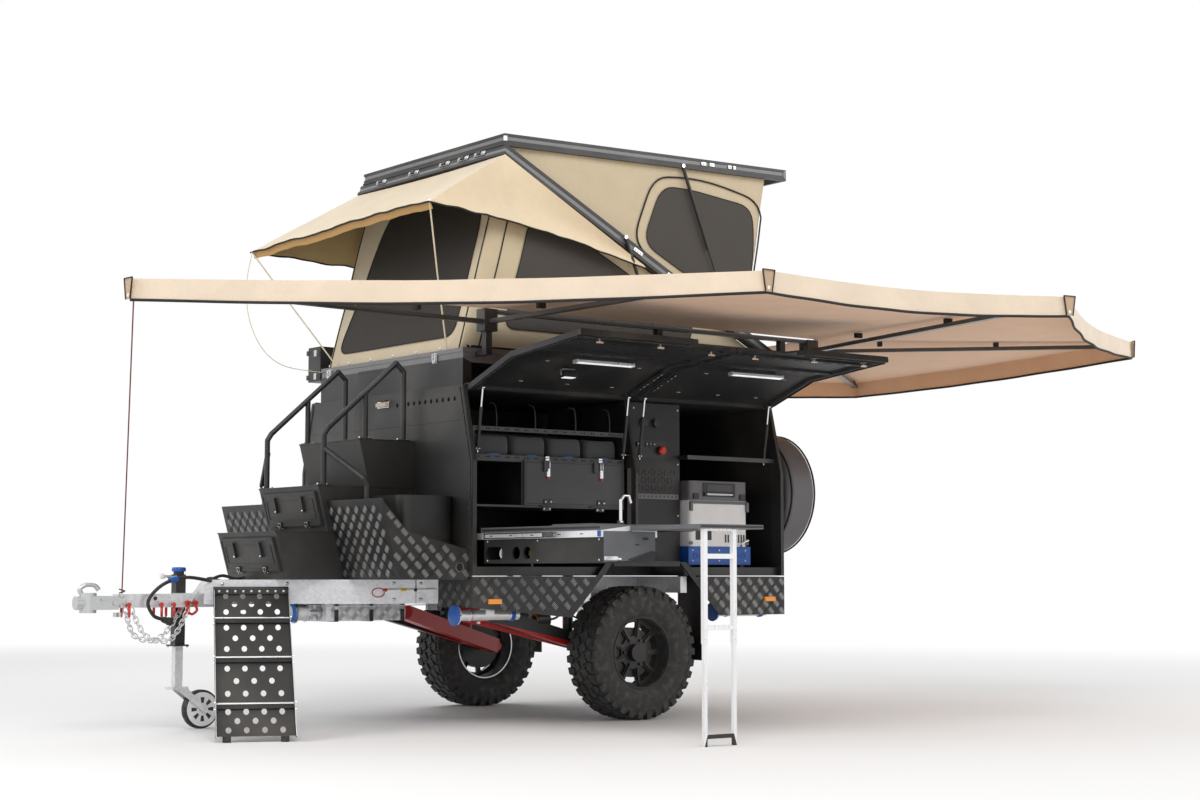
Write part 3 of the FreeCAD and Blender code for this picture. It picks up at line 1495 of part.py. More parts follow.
def table_leg():
    """Ladder leg that stands under the leaf's outer end, wide over narrow."""
    w, n = table_leg_side, table_leg_inner_side
    top = leaf_bottom_z() - hinge_clearance
    x0 = table_leg_centre_x - table_leg_half_span
    x1 = table_leg_centre_x + table_leg_half_span
    y = table_leg_y
    parts = []
    for x in (x0, x1):
        parts.append(box(x - w / 2, y - w / 2, table_leg_split_z, x + w / 2, y + w / 2, top))
        parts.append(box(x - n / 2, y - n / 2, 0, x + n / 2, y + n / 2, table_leg_split_z))
        for z in (table_leg_split_z + w, table_leg_split_z + 3 * w):
            parts.append(rod((x, y, z), (x, y + w * half_share + table_pin_radius, z),
                             table_pin_radius))
    for z in table_rung_zs + (top - table_leg_cap,):
        parts.append(box(x0, y - w / 2, z, x1, y + w / 2, z + (w if z < top - w else table_leg_cap)))
    parts.append(box(x0, y - n / 2, table_low_rung_z, x1, y + n / 2, table_low_rung_z + n))
    return join(parts)


def fridge_box():
    body = box(fridge_rear_x, fridge_inner_y, fridge_bottom_z, fridge_front_x, fridge_outer_y,
               fridge_lid_z)
    body = round_edges(body, fridge_corner, (0, 0, 1))
    s = fridge_corner
    body = body.cut(box(fridge_rear_x + s, fridge_inner_y + s, fridge_bottom_z + s,
                        fridge_front_x - s, fridge_outer_y - s, fridge_lid_z + s))
    tray = box(fridge_rear_x - s, fridge_inner_y - s, fridge_tray_z, fridge_front_x + s / 2,
               fridge_outer_y, fridge_bottom_z)
    tray = tray.cut(box(fridge_rear_x, fridge_inner_y, fridge_tray_z + s, fridge_front_x - s,
                        fridge_outer_y - s, fridge_bottom_z - s))
    return join([body, tray])


def fridge_lid():
    g = hinge_clearance
    lid = box(fridge_rear_x, fridge_inner_y, fridge_lid_z + g, fridge_front_x, fridge_outer_y,
              fridge_top_z)
    lid = round_edges(lid, fridge_corner, (0, 0, 1))
    ax, az = fridge_lid_axis()
    barrels = []
    for share in fridge_hinge_shares:
        y = fridge_inner_y + fridge_depth * share
        barrels.append(rod((ax, y - lid_hinge_length / 2, az), (ax, y + lid_hinge_length / 2, az),
                           lid_hinge_radius))
    return join([lid] + barrels)


def fridge_lid_axis():
    return (fridge_rear_x - lid_hinge_radius * half_share,
            fridge_lid_z + hinge_clearance + lid_hinge_radius)



def tent_base():
    w = tent_half_width
    tray = box(tent_rear_x, -w, tent_base_bottom_z, tent_front_x, w, tent_base_top_z)
    room = box(tent_rear_x + wall, -w + wall, tent_base_bottom_z + wall, tent_front_x - wall,
               w - wall, tent_base_top_z + wall)
    start = tent_rear_x + tent_frame_width + 2 * tent_barrel_radius
    tray = tray.cut(room).cut(channel(start, tent_front_x, w, tent_base_bottom_z, tent_base_top_z))
    parts = [tray]
    span = tent_front_x - tent_rear_x
    for i in range(roof_bar_count):
        x = body_rear_x + (body_front_x - body_rear_x - roof_bar_width) * i / (roof_bar_count - 1)
        x = min(x, tent_front_x - roof_bar_width)
        parts.append(box(x, -w, body_top_z, x + roof_bar_width, w, tent_base_bottom_z))
    px, edge = tent_rear_x + tent_frame_width, tent_frame_half_width + hinge_clearance
    parts.append(rod((px, -edge - tent_lug, tent_hinge_z), (px, edge + tent_lug, tent_hinge_z),
                     tent_hinge_radius))
    for side in (1, -1):
        parts.append(box(px - tent_barrel_radius, side * edge, tent_base_bottom_z,
                         px + tent_barrel_radius, side * (edge + tent_lug),
                         tent_hinge_z + tent_hinge_radius * 2))
        parts.append(box(px - tent_barrel_radius, side * w, tent_base_bottom_z,
                         px + tent_barrel_radius, side * (edge + tent_lug),
                         tent_base_bottom_z + tent_barrel_radius))
    case_y = -(tent_half_width + side_case_width * side_case_stand_share)
    parts.append(box(tent_front_x - side_case_length, case_y, side_case_bottom_z,
                     tent_front_x - wall, case_y - side_case_width,
                     side_case_bottom_z + side_case_height))
    parts.append(box(tent_front_x - side_case_length * half_share, case_y, side_case_bottom_z,
                     tent_front_x - side_case_length * half_share + wall, -w, tent_base_top_z))
    parts.append(box(tent_front_x - 4 * wall, case_y, side_case_bottom_z, tent_front_x - 3 * wall,
                     -w, tent_base_top_z))
    return join(parts)


tent_pivot = (tent_rear_x + tent_frame_width, tent_hinge_z)
tent_closed_z = tent_base_top_z + tent_gap
frame_front_closed_x = tent_front_x


def channel(x0, x1, half, z0, z1):
    """Shallow channel round the sides and the ends of an extruded rim."""
    inset = (z1 - z0) * (1 - channel_share) / 2
    low, high = z0 + inset, z1 - inset
    whole = box(x0, -half - wall, low, x1 + wall, half + wall, high)
    keep = box(x0 - wall, -half + channel_depth, low, x1 - channel_depth, half - channel_depth, high)
    return whole.cut(keep)


def frame_closed():
    """Middle frame lying flat on the base."""
    w, t, d = tent_frame_half_width, tent_frame_width, tent_frame_depth
    z0, z1 = tent_closed_z, tent_closed_z + d
    x0 = tent_pivot[0]
    outer = box(x0, -w, z0, frame_front_closed_x, w, z1)
    inner = box(x0 + t, -w + t, z0, frame_front_closed_x - t, w - t, z1)
    barrel = rod((x0, -w, tent_pivot[1]), (x0, w, tent_pivot[1]), tent_barrel_radius)
    bore = rod((x0, -w, tent_pivot[1]), (x0, w, tent_pivot[1]),
               tent_hinge_radius + hinge_clearance)
    corner = box(x0 - d, -w, z0 - d, x0 + d * frame_corner_share, w, tent_pivot[1])
    keep = rod((x0, -w, tent_pivot[1]), (x0, w, tent_pivot[1]), tent_barrel_radius)
    ring = outer.cut(inner).cut(corner.cut(keep))
    ring = ring.cut(channel(x0 + 2 * tent_barrel_radius, frame_front_closed_x, w, z0, z1))
    return join([ring, barrel]).cut(bore)


def frame_opened(shape):
    return turned(shape, (tent_pivot[0], 0, tent_pivot[1]), (0, 1, 0), -tent_frame_angle)


roof_pivot_closed = (frame_front_closed_x,
                     tent_closed_z + tent_frame_depth + tent_gap + roof_barrel_radius)


def roof_closed():
    w, t = tent_roof_half_width, tent_roof_thickness
    x1 = frame_front_closed_x
    x0 = x1 - tent_roof_length
    z0 = tent_closed_z + tent_frame_depth + tent_gap
    lid = box(x0, -w, z0, x1, w, z0 + t)
    room = box(x0 + wall, -w + wall, z0 - t, x1 - wall, w - wall, z0 + t - tent_roof_skin)
    px, pz = roof_pivot_closed
    barrel = rod((px, -w, pz), (px, w, pz), roof_barrel_radius)
    lid = lid.cut(room).cut(channel(x0 + wall, x1, w, z0 + 2 * roof_barrel_radius, z0 + t))
    return join([lid, barrel])


def roof_opened(shape):
    out = turned(shape, (roof_pivot_closed[0], 0, roof_pivot_closed[1]), (0, 1, 0),
                 tent_roof_angle)
    return frame_opened(out)


def frame_point(x, z):
    """Place of a point of the closed frame when the frame stands open."""
    a = math.radians(tent_frame_angle)
    dx, dz = x - tent_pivot[0], z - tent_pivot[1]
    return (tent_pivot[0] + dx * math.cos(a) - dz * math.sin(a),
            tent_pivot[1] + dx * math.sin(a) + dz * math.cos(a))


def roof_point(x, z):
    a = math.radians(-tent_roof_angle)
    dx, dz = x - roof_pivot_closed[0], z - roof_pivot_closed[1]
    return frame_point(roof_pivot_closed[0] + dx * math.cos(a) - dz * math.sin(a),
                       roof_pivot_closed[1] + dx * math.sin(a) + dz * math.cos(a))


def wedge(points, inner_points):
    w = tent_fabric_half_width
    outer = prism_xz(points, -w, w)
    inner = prism_xz(inner_points, -w + tent_wall, w - tent_wall)
    return outer.cut(inner)


def tent_lower_fabric():
    g = tent_gap
    low = tent_base_top_z - wall
    a = (tent_front_x - wall - g, low)
    a2 = (tent_front_x - wall - g, tent_base_top_z)
    top = frame_point(frame_front_closed_x - tent_frame_width - tent_wall, tent_closed_z)
    back = (tent_pivot[0] + tent_frame_width * tent_tail_share, low)
    back_top = frame_point(tent_pivot[0] + tent_frame_width * tent_tail_share, tent_closed_z)
    pts = [a, a2, top, back_top, back]
    s = tent_wall
    inner = [(a[0] - s, low - s), (a2[0] - s, a2[1]), (top[0] - s * tent_wall_slip_share, top[1] + tent_wall_drop),
             (back_top[0] + s, back_top[1] + tent_wall_drop), (back[0] + s, low - s)]
    return wedge(pts, inner)


def tent_upper_fabric():
    z = tent_closed_z + tent_frame_depth
    front = frame_point(frame_front_closed_x - tent_frame_width * tent_head_share,
                        z - tent_frame_width * tent_tuck_share)
    rear = frame_point(tent_rear_wall_x, z - tent_frame_width * tent_tuck_share)
    x0 = frame_front_closed_x - tent_roof_length
    top_rear = roof_point(x0 + wall * 6, z + tent_gap + tent_roof_thickness * half_share)
    top_front = roof_point(frame_front_closed_x - wall * 3, z + tent_gap
                           + tent_roof_thickness * half_share)
    pts = [front, top_front, top_rear, rear]
    s = tent_wall
    inner = [(front[0], front[1] - tent_wall_drop), (top_front[0], top_front[1] + tent_wall_drop),
             (top_rear[0] + s, top_rear[1] + tent_wall_drop), (rear[0] + s, rear[1] - tent_wall_drop)]
    return wedge(pts, inner)


def fly_point(shares, side):
    """Corner of the fly, outward from the open frame's front edge."""
    x, z = frame_point(frame_front_closed_x - fly_tuck, tent_closed_z - fly_drop)
    along, out, up = shares
    edge = tent_frame_half_width + fly_lap
    return (x + fly_reach * along, side * (edge + fly_reach * out), z + fly_reach * up)


def tent_fly():
    head = (0.0, 0.0, 0.0)
    pts = [fly_point(head, 1), fly_point(head, -1),
           fly_point(fly_far_shares, -1), fly_point(fly_near_shares, 1),
           fly_point(fly_rear_shares, 1), fly_point(fly_rear_shares, -1)]
    front = sheet(pts[:4], ((0, 1, 2), (0, 2, 3)), tent_wall)
    near = sheet_out([pts[0], pts[3], pts[4]], tent_wall)
    far = sheet_out([pts[1], pts[5], pts[2]], tent_wall)
    return join([front, near, far])


def sheet_out(points, thickness):
    """Thin solid on three points, given its thickness across the trailer."""
    vs = [Vector(*p) for p in points]
    face = Part.Face(Part.makePolygon(vs + vs[:1]))
    return face.extrude(Vector(0, -thickness if vs[0].y > 0 else thickness, 0))



def awning_tips():
    """Outer corners of the fan, two from the front pivot and four from the rear."""
    tips = []
    for i, (along, out, up) in enumerate(awning_corner_shares):
        x = awning_front_x if i < 2 else awning_rear_x
        tips.append((x + awning_reach * along, awning_y + awning_reach * out,
                     awning_z + awning_reach * up))
    return tips


def awning_arms():
    w, h = awning_arm_width, awning_arm_height
    p1 = (awning_front_x, awning_y, awning_z)
    p2 = (awning_rear_x, awning_y, awning_z)
    parts = []
    drop = h
    for i, corner in enumerate(awning_tips()):
        start = p1 if i < 2 else p2
        run = Vector(*corner) - Vector(*start)
        tip = Vector(*start) + run * (1 - awning_tip_inset / run.Length)
        end = (tip.x, tip.y, tip.z - drop)
        parts.append(beam((start[0], start[1], start[2] - drop), end, w, h))
    parts.append(box(awning_rear_x, awning_y - w / 2, awning_rail_z - h,
                     awning_front_x, awning_y + w / 2, awning_rail_z))
    for p in (p1, p2):
        half = awning_bracket / 2
        parts.append(box(p[0] - half, awning_y - w, p[2] - awning_bracket_height / 2,
                         p[0] + half, awning_y + w, awning_rail_z))
    inner = tent_half_width
    for x in (awning_front_x, (awning_front_x + awning_rear_x) / 2, awning_rear_x + 6 * w):
        parts.append(box(x - w / 2, inner, tent_base_top_z - 2 * h, x + w / 2,
                         awning_y + w / 2, tent_base_top_z - h))
        parts.append(box(x - w / 2, awning_y - w / 2, tent_base_top_z - 2 * h, x + w / 2,
                         awning_y + w / 2, awning_rail_z))
    return join(parts)


def awning_canopy():
    p1 = (awning_front_x, awning_y, awning_rail_z + awning_cloth_lift)
    p2 = (awning_rear_x, awning_y, awning_rail_z + awning_cloth_lift)
    pts = [p1, p2] + awning_tips()
    tris = ((0, 2, 3), (1, 0, 3), (1, 3, 4), (1, 4, 5), (1, 5, 6), (1, 6, 7))
    top = sheet(pts, tris, awning_cloth)
    sides = []
    rim = awning_tips()
    for a, b in zip(rim, rim[1:]):
        va, vb = Vector(*a), Vector(*b)
        down = Vector(0, 0, -awning_valance)
        face = Part.Face(Part.makePolygon([va, vb, vb + down, va + down, va]))
        run = vb - va
        across = Vector(-run.y, run.x, 0).normalize() * awning_cloth
        sides.append(face.extrude(across * -1 if (across * -1).dot(Vector(0, 0, 0) - va) > 0
                                  else across))
    return join([top] + sides)



nodes = {
    "chassis_frame": chassis_frame,
    "tow_coupling": tow_coupling,
    "jack_post": jack_post,
    "jack_caster": jack_caster,
    "jack_wheel": jack_wheel,
    "safety_chains": safety_chains,
    "suspension_arms": lambda: group(both_sides(suspension_side())),
    "tyre_left": lambda: tyre(wheel_centre_y, 1),
    "tyre_right": lambda: tyre(-wheel_centre_y, -1),
    "rim_left": lambda: rim(wheel_centre_y, 1),
    "rim_right": lambda: rim(-wheel_centre_y, -1),
    "body_shell": lambda: join([body_shell()] + kitchen_runners() + fridge_runners()
                               + strut_pins()),
    "side_skirts": side_skirts,
    "door_front_left": lambda: opened(door(1, *door_front_span), 1),
    "door_rear_left": lambda: opened(door(1, *door_rear_span), 1),
    "door_front_right": lambda: door(-1, *door_front_span),
    "door_rear_right": lambda: door(-1, *door_rear_span),
    "front_strut_tubes": lambda: door_strut_tubes(door_front_span),
    "front_strut_rods": lambda: door_strut_rods(door_front_span),
    "rear_strut_tubes": lambda: door_strut_tubes(door_rear_span),
    "rear_strut_rods": lambda: door_strut_rods(door_rear_span),
    "stair_boxes": stair_boxes,
    "stair_lid_lower": lambda: stair_lid(0),
    "stair_lid_middle": lambda: stair_lid(1),
    "front_tray": front_tray,
    "handrails": handrails,
    "entry_step": entry_step,
    "stabiliser_legs": stabiliser_legs,
    "spare_wheel": spare_wheel,
    "marker_lamps": marker_lamps,
    "locker_unit": locker_unit,
    "locker_flap": locker_flap,
    "storage_bags": storage_bags,
    "kitchen_slide": kitchen_slide,
    "kitchen_tap": kitchen_tap,
    "bench_leaf": bench_leaf,
    "table_leg": table_leg,
    "fridge_box": fridge_box,
    "fridge_lid": fridge_lid,
    "tent_base": tent_base,
    "tent_frame": lambda: frame_opened(frame_closed()),
    "tent_roof": lambda: roof_opened(roof_closed()),
    "tent_lower_fabric": tent_lower_fabric,
    "tent_upper_fabric": tent_upper_fabric,
    "tent_fly": tent_fly,
    "awning_arms": awning_arms,
    "awning_canopy": awning_canopy,
}

for name, make in nodes.items():
    shape = make()
    shape.translate(Vector(-coupling_pin_x, 0, -coupling_pin_z))
    shape.exportStep("parts/" + name + ".step")
    print(name, len(shape.Solids), shape.isValid(), round(shape.Volume / 1e9, 5))
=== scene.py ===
"""Looks of an off-road camper trailer with gull-wing doors, a kitchen, a roof tent and a fan awning.

Every length is in metres.  Places are read from the ground under the axle, X
forward, Y to the kitchen side and Z up, and at() moves them to the coupling pin.
"""

import logging
from dataclasses import dataclass, field
from enum import Enum
from math import atan, ceil, copysign, cos, hypot, pi, radians, sin
from typing import Callable, Iterable, Sequence, Union

import bmesh
import bpy
from mathutils import Euler, Matrix, Vector, noise


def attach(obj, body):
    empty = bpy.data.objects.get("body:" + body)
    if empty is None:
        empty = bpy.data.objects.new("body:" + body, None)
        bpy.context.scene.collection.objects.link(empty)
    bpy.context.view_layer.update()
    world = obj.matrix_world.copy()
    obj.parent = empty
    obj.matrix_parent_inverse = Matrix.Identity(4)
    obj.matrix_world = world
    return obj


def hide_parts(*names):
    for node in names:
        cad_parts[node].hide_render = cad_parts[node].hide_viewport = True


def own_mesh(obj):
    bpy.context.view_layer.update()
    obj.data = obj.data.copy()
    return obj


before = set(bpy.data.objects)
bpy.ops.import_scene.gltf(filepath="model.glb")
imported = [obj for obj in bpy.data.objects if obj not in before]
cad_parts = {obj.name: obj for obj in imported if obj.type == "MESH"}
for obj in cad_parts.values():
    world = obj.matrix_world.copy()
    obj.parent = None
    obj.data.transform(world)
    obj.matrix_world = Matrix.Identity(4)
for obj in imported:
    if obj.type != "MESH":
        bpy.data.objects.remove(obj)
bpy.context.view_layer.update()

LOG = logging.getLogger("camper")
PIN = Vector((3.15, 0.0, 0.719))
Spot = Sequence[float]
Number = Union[int, float]


def at(x: Number, y: Number, z: Number) -> Vector:
    """Moves a place read from the ground under the axle to the frame's origin."""
    return Vector((x, y, z)) - PIN


def lerp(a: Vector, b: Vector, share: float) -> Vector:
    """Point between a and b."""
    return a + (b - a) * share


def turn(point: Spot, pivot: Spot, axis: Spot, degrees: float) -> Vector:
    """Turns a point about an axis through a pivot.

    Args:
        point: the point to turn.
        pivot: a point on the axis.
        axis: the axis's direction.
        degrees: how far it turns.

    Returns:
        The turned point.
    """
    spin = Matrix.Rotation(radians(degrees), 3, Vector(axis))
    return spin @ (Vector(point) - Vector(pivot)) + Vector(pivot)


class Wire:
    """Output of a shader node that adds and multiplies like a number."""

    def __init__(self, graph: "Graph", socket: bpy.types.NodeSocket) -> None:
        """Keeps the socket and the graph that it belongs to."""
        self.graph = graph
        self.socket = socket

    def math(self, operation: str, *others: "Value") -> "Wire":
        """Runs one Math node on this wire.

        Args:
            operation: the Math node's operation.
            others: the other operands, in order.

        Returns:
            The result.
        """
        return self.graph.node("ShaderNodeMath", dict(enumerate([self, *others])), operation=operation)

    def __add__(self, other: "Value") -> "Wire":
        """Sum."""
        return self.math("ADD", other)

    __radd__ = __add__

    def __mul__(self, other: "Value") -> "Wire":
        """Product."""
        return self.math("MULTIPLY", other)

    __rmul__ = __mul__

    def ease(self, low: float, high: float) -> "Wire":
        """Rises smoothly from 0 at low to 1 at high."""
        return self.graph.node("ShaderNodeMapRange", {"Value": self, "From Min": low, "From Max": high},
            interpolation_type="SMOOTHSTEP")


Value = Union[Wire, float, int, Sequence[float]]


class Graph:
    """Node tree of one material, with one method that makes every node."""

    def __init__(self, name: str) -> None:
        """Starts a material with its shader and output joined.

        Args:
            name: the material's name.
        """
        self.material = bpy.data.materials.new(name)
        self.material.use_nodes = True
        self.tree = self.material.node_tree
        self.tree.nodes.clear()
        self.shader = self.tree.nodes.new("ShaderNodeBsdfPrincipled")
        end = self.tree.nodes.new("ShaderNodeOutputMaterial")
        self.tree.links.new(self.shader.outputs["BSDF"], end.inputs["Surface"])
        self.place = self.node("ShaderNodeTexCoord", out="Object")

    def node(self, kind: str, inputs: dict | None = None, out: int | str = 0, **settings: object) -> Wire:
        """Makes one node.

        Args:
            kind: the node's type.
            inputs: values or wires by input name or number.
            out: which output to return.
            settings: the node's own properties.

        Returns:
            The wire from that output.
        """
        made = self.tree.nodes.new(kind)
        for key, value in settings.items():
            setattr(made, key, value)
        for key, value in (inputs or {}).items():
            self.plug(made.inputs[key], value)
        return Wire(self, made.outputs[out])

    def plug(self, socket: bpy.types.NodeSocket, value: Value) -> None:
        """Joins a wire to a socket, or sets its number.

        Args:
            socket: the input that takes it.
            value: a wire, a number, a colour or a vector.
        """
        if isinstance(value, Wire):
            self.tree.links.new(value.socket, socket)
        else:
            socket.default_value = value

    def set(self, **values: Value) -> None:
        """Sets the shader's sockets, with _ for a space in their names."""
        for key, value in values.items():
            self.plug(self.shader.inputs[key.replace("_", " ")], value)

    def noise(self, scale: float, detail: float = 2.0, where: Wire | None = None) -> Wire:
        """Soft noise of that many grains a metre."""
        return self.node("ShaderNodeTexNoise", {"Vector": where or self.place, "Scale": scale,
            "Detail": detail}, out="Fac")

    def cells(self, scale: float, where: Wire | None = None) -> Wire:
        """Grains with a random value each.

        Args:
            scale: grains in a metre.
            where: the places, or the object's own.

        Returns:
            The wire of the grain's value.
        """
        colour = self.node("ShaderNodeTexVoronoi", {"Vector": where or self.place, "Scale": scale},
            out="Color")
        return self.part(colour, "X")

    def part(self, vector: Wire, axis: str) -> Wire:
        """One part of a vector."""
        return self.node("ShaderNodeSeparateXYZ", {0: vector}, out=axis)

    def blend(self, factor: Value, a: Value, b: Value) -> Wire:
        """Mix of two colours."""
        return self.node("ShaderNodeMix", {0: factor, 6: a, 7: b}, out=2, data_type="RGBA")

    def relief(self, height: Wire, depth: float, strength: float = 1.0) -> None:
        """Gives the shader a relief of that depth in metres."""
        bump = self.node("ShaderNodeBump", {"Height": height, "Distance": depth, "Strength": strength})
        self.set(Normal=bump)


def tint(colour: Spot, factor: float) -> tuple[float, float, float, float]:
    """A colour made lighter or darker, with its alpha."""
    return (colour[0] * factor, colour[1] * factor, colour[2] * factor, 1.0)


@dataclass(frozen=True)
class Finish:
    """Surface of one kind: its colour and how rough it is."""

    name: str
    colour: tuple[float, float, float]
    roughness: float = 0.5

    def dress(self, g: Graph) -> None:
        """Adds the nodes of this finish: plain moulded plastic.

        Args:
            g: the material that takes them.
        """
        patch = g.noise(9.0, 3.0)
        g.set(Base_Color=g.blend(patch, tint(self.colour, 0.9), tint(self.colour, 1.1)),
            Roughness=g.noise(60.0) * 0.12 + (self.roughness - 0.06))
        g.relief(g.noise(1400.0), 0.0002, 0.35)

    @property
    def material(self) -> bpy.types.Material:
        """The material, made the first time that it is asked for.

        Returns:
            The material.
        """
        known = bpy.data.materials.get(self.name)
        if known is None:
            graph = Graph(self.name)
            self.dress(graph)
            known = graph.material
        return known


@dataclass(frozen=True)
class PowderCoat(Finish):
    """Textured paint baked on sheet metal, with a little dust and handling."""

    grain: float = 900.0
    depth: float = 0.00035
    dust: float = 0.12

    def dress(self, g: Graph) -> None:
        """Adds fine orange peel, dust in broad patches and a few scuffs.

        Args:
            g: the material that takes them.
        """
        dust = g.noise(2.2, 5.0).ease(0.45, 0.75) * self.dust
        scuff = g.noise(38.0, 6.0).ease(0.66, 0.74) * 0.25
        plain = g.blend(g.noise(14.0, 3.0), tint(self.colour, 0.85), tint(self.colour, 1.15))
        dusty = g.blend(dust, plain, tint((0.3, 0.27, 0.23), 1.0))
        g.set(Base_Color=dusty, Roughness=g.noise(45.0, 4.0) * 0.16 + (self.roughness - 0.08) + scuff * 0.3)
        g.relief(g.noise(self.grain, 2.0), self.depth, 0.4)


@dataclass(frozen=True)
class Metal(Finish):
    """Bare, galvanised or plated metal."""

    metallic: float = 1.0
    spangle: float = 0.0
    brush: tuple[float, float, float] = (1.0, 1.0, 1.0)

    def dress(self, g: Graph) -> None:
        """Adds zinc spangle, drawing marks and a dull bloom.

        Args:
            g: the material that takes them.
        """
        grain = g.node("ShaderNodeMapping", {"Vector": g.place, "Scale": self.brush})
        lines = g.noise(160.0, 6.0, grain)
        base = g.blend(lines, tint(self.colour, 0.9), tint(self.colour, 1.08))
        bloom = g.noise(6.0, 4.0).ease(0.35, 0.8)
        if self.spangle:
            flake = g.cells(self.spangle)
            base = g.blend(flake * 0.5, base, tint(self.colour, 0.72))
            bloom = bloom + flake * 0.5
        g.set(Base_Color=base, Metallic=self.metallic,
            Roughness=bloom * 0.14 + lines * 0.08 + (self.roughness - 0.1))
        g.relief(lines, 0.00012, 0.3)


@dataclass(frozen=True)
class Rubber(Finish):
    """Tyre and bush rubber with a mould's fine rings and road dust."""

    centre: tuple[float, float, float] | None = None

    def dress(self, g: Graph) -> None:
        """Adds mould rings about the wheel's centre and dust in the low places.

        Args:
            g: the material that takes them.
        """
        dust = g.noise(24.0, 6.0).ease(0.42, 0.85)
        base = g.blend(dust * 0.5, tint(self.colour, 1.0), tint((0.16, 0.15, 0.135), 1.0))
        g.set(Base_Color=base, Roughness=g.noise(90.0, 3.0) * 0.15 + (self.roughness - 0.08))
        height = g.noise(700.0, 2.0) * 0.4
        if self.centre:
            moved = g.node("ShaderNodeMapping", {"Vector": g.place, "Location": [-c for c in self.centre],
                "Scale": (1, 0, 1)})
            rings = g.node("ShaderNodeTexWave", {"Vector": moved, "Scale": 42.0, "Distortion": 0.0},
                out="Fac", wave_type="RINGS", rings_direction="Y")
            height = height + rings
        g.relief(height, 0.0009, 0.5)


@dataclass(frozen=True)
class Canvas(Finish):
    """Proofed cotton canvas, woven over and under, with soft creases that carry painted shade in their
    hollows, and where asked a glow of painted light.
    """

    thread: float = 0.0014
    crease: float = 0.01
    # glow is emission of painted light in the cloth, for light that comes through it; the cloth is no lamp.
    glow: float = 0.0

    def dress(self, g: Graph) -> None:
        """Adds the weave by the sheet's own UV map, creases with painted shade in their hollows and painted
        light on their ridges, and faded patches.

        Args:
            g: the material that takes them.
        """
        uv = g.node("ShaderNodeUVMap", uv_map="weave")
        turns = 2.0 * pi / (2.0 * self.thread)
        across = (g.part(uv, "X") * turns).math("SINE")
        along = (g.part(uv, "Y") * turns).math("SINE")
        weave = (across * along) * 0.5 + 0.5
        fold = g.noise(5.5, 4.0)
        fine = g.noise(26.0, 5.0)
        # The colour follows the crease relief: painted shade where fold is low and painted light where it is
        # high.
        base = g.blend(fold, tint(self.colour, 0.86), tint(self.colour, 1.08))
        base = g.blend(weave * 0.22, base, tint(self.colour, 0.68))
        base = g.blend(fine.ease(0.55, 0.8) * 0.18, base, tint(self.colour, 0.7))
        g.set(Base_Color=base, Roughness=weave * 0.1 + (self.roughness - 0.05), Sheen_Weight=0.25,
            Sheen_Roughness=0.6)
        # Painted light: the cloth glows in its own colour.
        if self.glow:
            g.set(Emission_Color=base, Emission_Strength=self.glow)
        g.relief(fold + fine * 0.25 + weave * 0.02, self.crease, 0.55)


@dataclass(frozen=True)
class Screen(Finish):
    """Insect screen or shade mesh, dark in itself and darker with painted shade of the dark inside behind it.
    """

    def dress(self, g: Graph) -> None:
        """Adds a fine square mesh by the sheet's own UV map: lighter wires, and darker gaps with painted
        shade of what lies behind.

        Args:
            g: the material that takes them.
        """
        uv = g.node("ShaderNodeUVMap", uv_map="weave")
        step = 2.0 * pi / 0.0022
        across = (g.part(uv, "X") * step).math("SINE")
        along = (g.part(uv, "Y") * step).math("SINE")
        wire = across.math("MAXIMUM", along).ease(0.2, 0.9)
        fold = g.noise(4.0, 3.0)
        # Darker gaps: painted shade of the inside seen through the mesh.
        g.set(Base_Color=g.blend(wire, tint(self.colour, 0.6), tint(self.colour, 1.35)),
            Roughness=wire * 0.2 + (self.roughness - 0.1))
        g.relief(fold * 4.0 + wire * 0.1, 0.004, 0.4)


@dataclass(frozen=True)
class Lens(Finish):
    """Lamp glass or a lit diffuser with moulded flutes."""

    light: float = 0.0
    flute: float = 220.0

    def dress(self, g: Graph) -> None:
        """Adds flutes, a clear coat and the lamp's own light.

        Args:
            g: the material that takes them.
        """
        rib = (g.part(g.place, "X") * self.flute * 6.2832).math("SINE") * 0.5 + 0.5
        base = g.blend(rib, tint(self.colour, 0.8), tint(self.colour, 1.1))
        g.set(Base_Color=base, Roughness=rib * 0.1 + self.roughness, Coat_Weight=0.6)
        if self.light:
            g.set(Emission_Color=base, Emission_Strength=self.light)
        g.relief(rib, 0.0004, 0.5)


BLACK = PowderCoat("black_powder_coat", (0.016, 0.016, 0.017), 0.42)
PANEL = PowderCoat("charcoal_body_panel", (0.022, 0.022, 0.022), 0.4)
STEP_BLACK = PowderCoat("step_box_black", (0.028, 0.027, 0.026), 0.46)
INSIDE = PowderCoat("interior_charcoal", (0.01, 0.0105, 0.011), 0.5)
LOCKER_GREY = PowderCoat("locker_grey_coat", (0.05, 0.052, 0.056), 0.38)
DOOR_EDGE = PowderCoat("door_edge_grey", (0.055, 0.057, 0.064), 0.36)
TENT_GREY = PowderCoat("tent_frame_grey", (0.16, 0.16, 0.165), 0.35, dust=0.05)
# All tread bars are the same black-painted bar: those of one way take a bright metal as a painted highlight,
# those of the other way a dark one as painted shade.
TREAD = Metal("tread_plate_bars_painted_highlight", (0.42, 0.42, 0.42), 0.36, metallic=0.85)
TREAD_PAINTED_SHADE = Metal("tread_plate_bars_painted_shade", (0.04, 0.04, 0.042), 0.3, metallic=0.5)
TREAD_BASE = PowderCoat("tread_plate_black", (0.012, 0.012, 0.012), 0.34)
ZINC = Metal("hot_dip_zinc", (0.76, 0.77, 0.79), 0.42, metallic=0.55, spangle=70.0)
ALLOY = Metal("satin_alloy", (0.86, 0.86, 0.87), 0.34, metallic=0.55, brush=(1, 1, 0.05))
CHROME = Metal("bright_chrome", (0.8, 0.8, 0.81), 0.16, metallic=1.0)
STEEL = Metal("plated_steel", (0.6, 0.6, 0.6), 0.3, metallic=0.9)
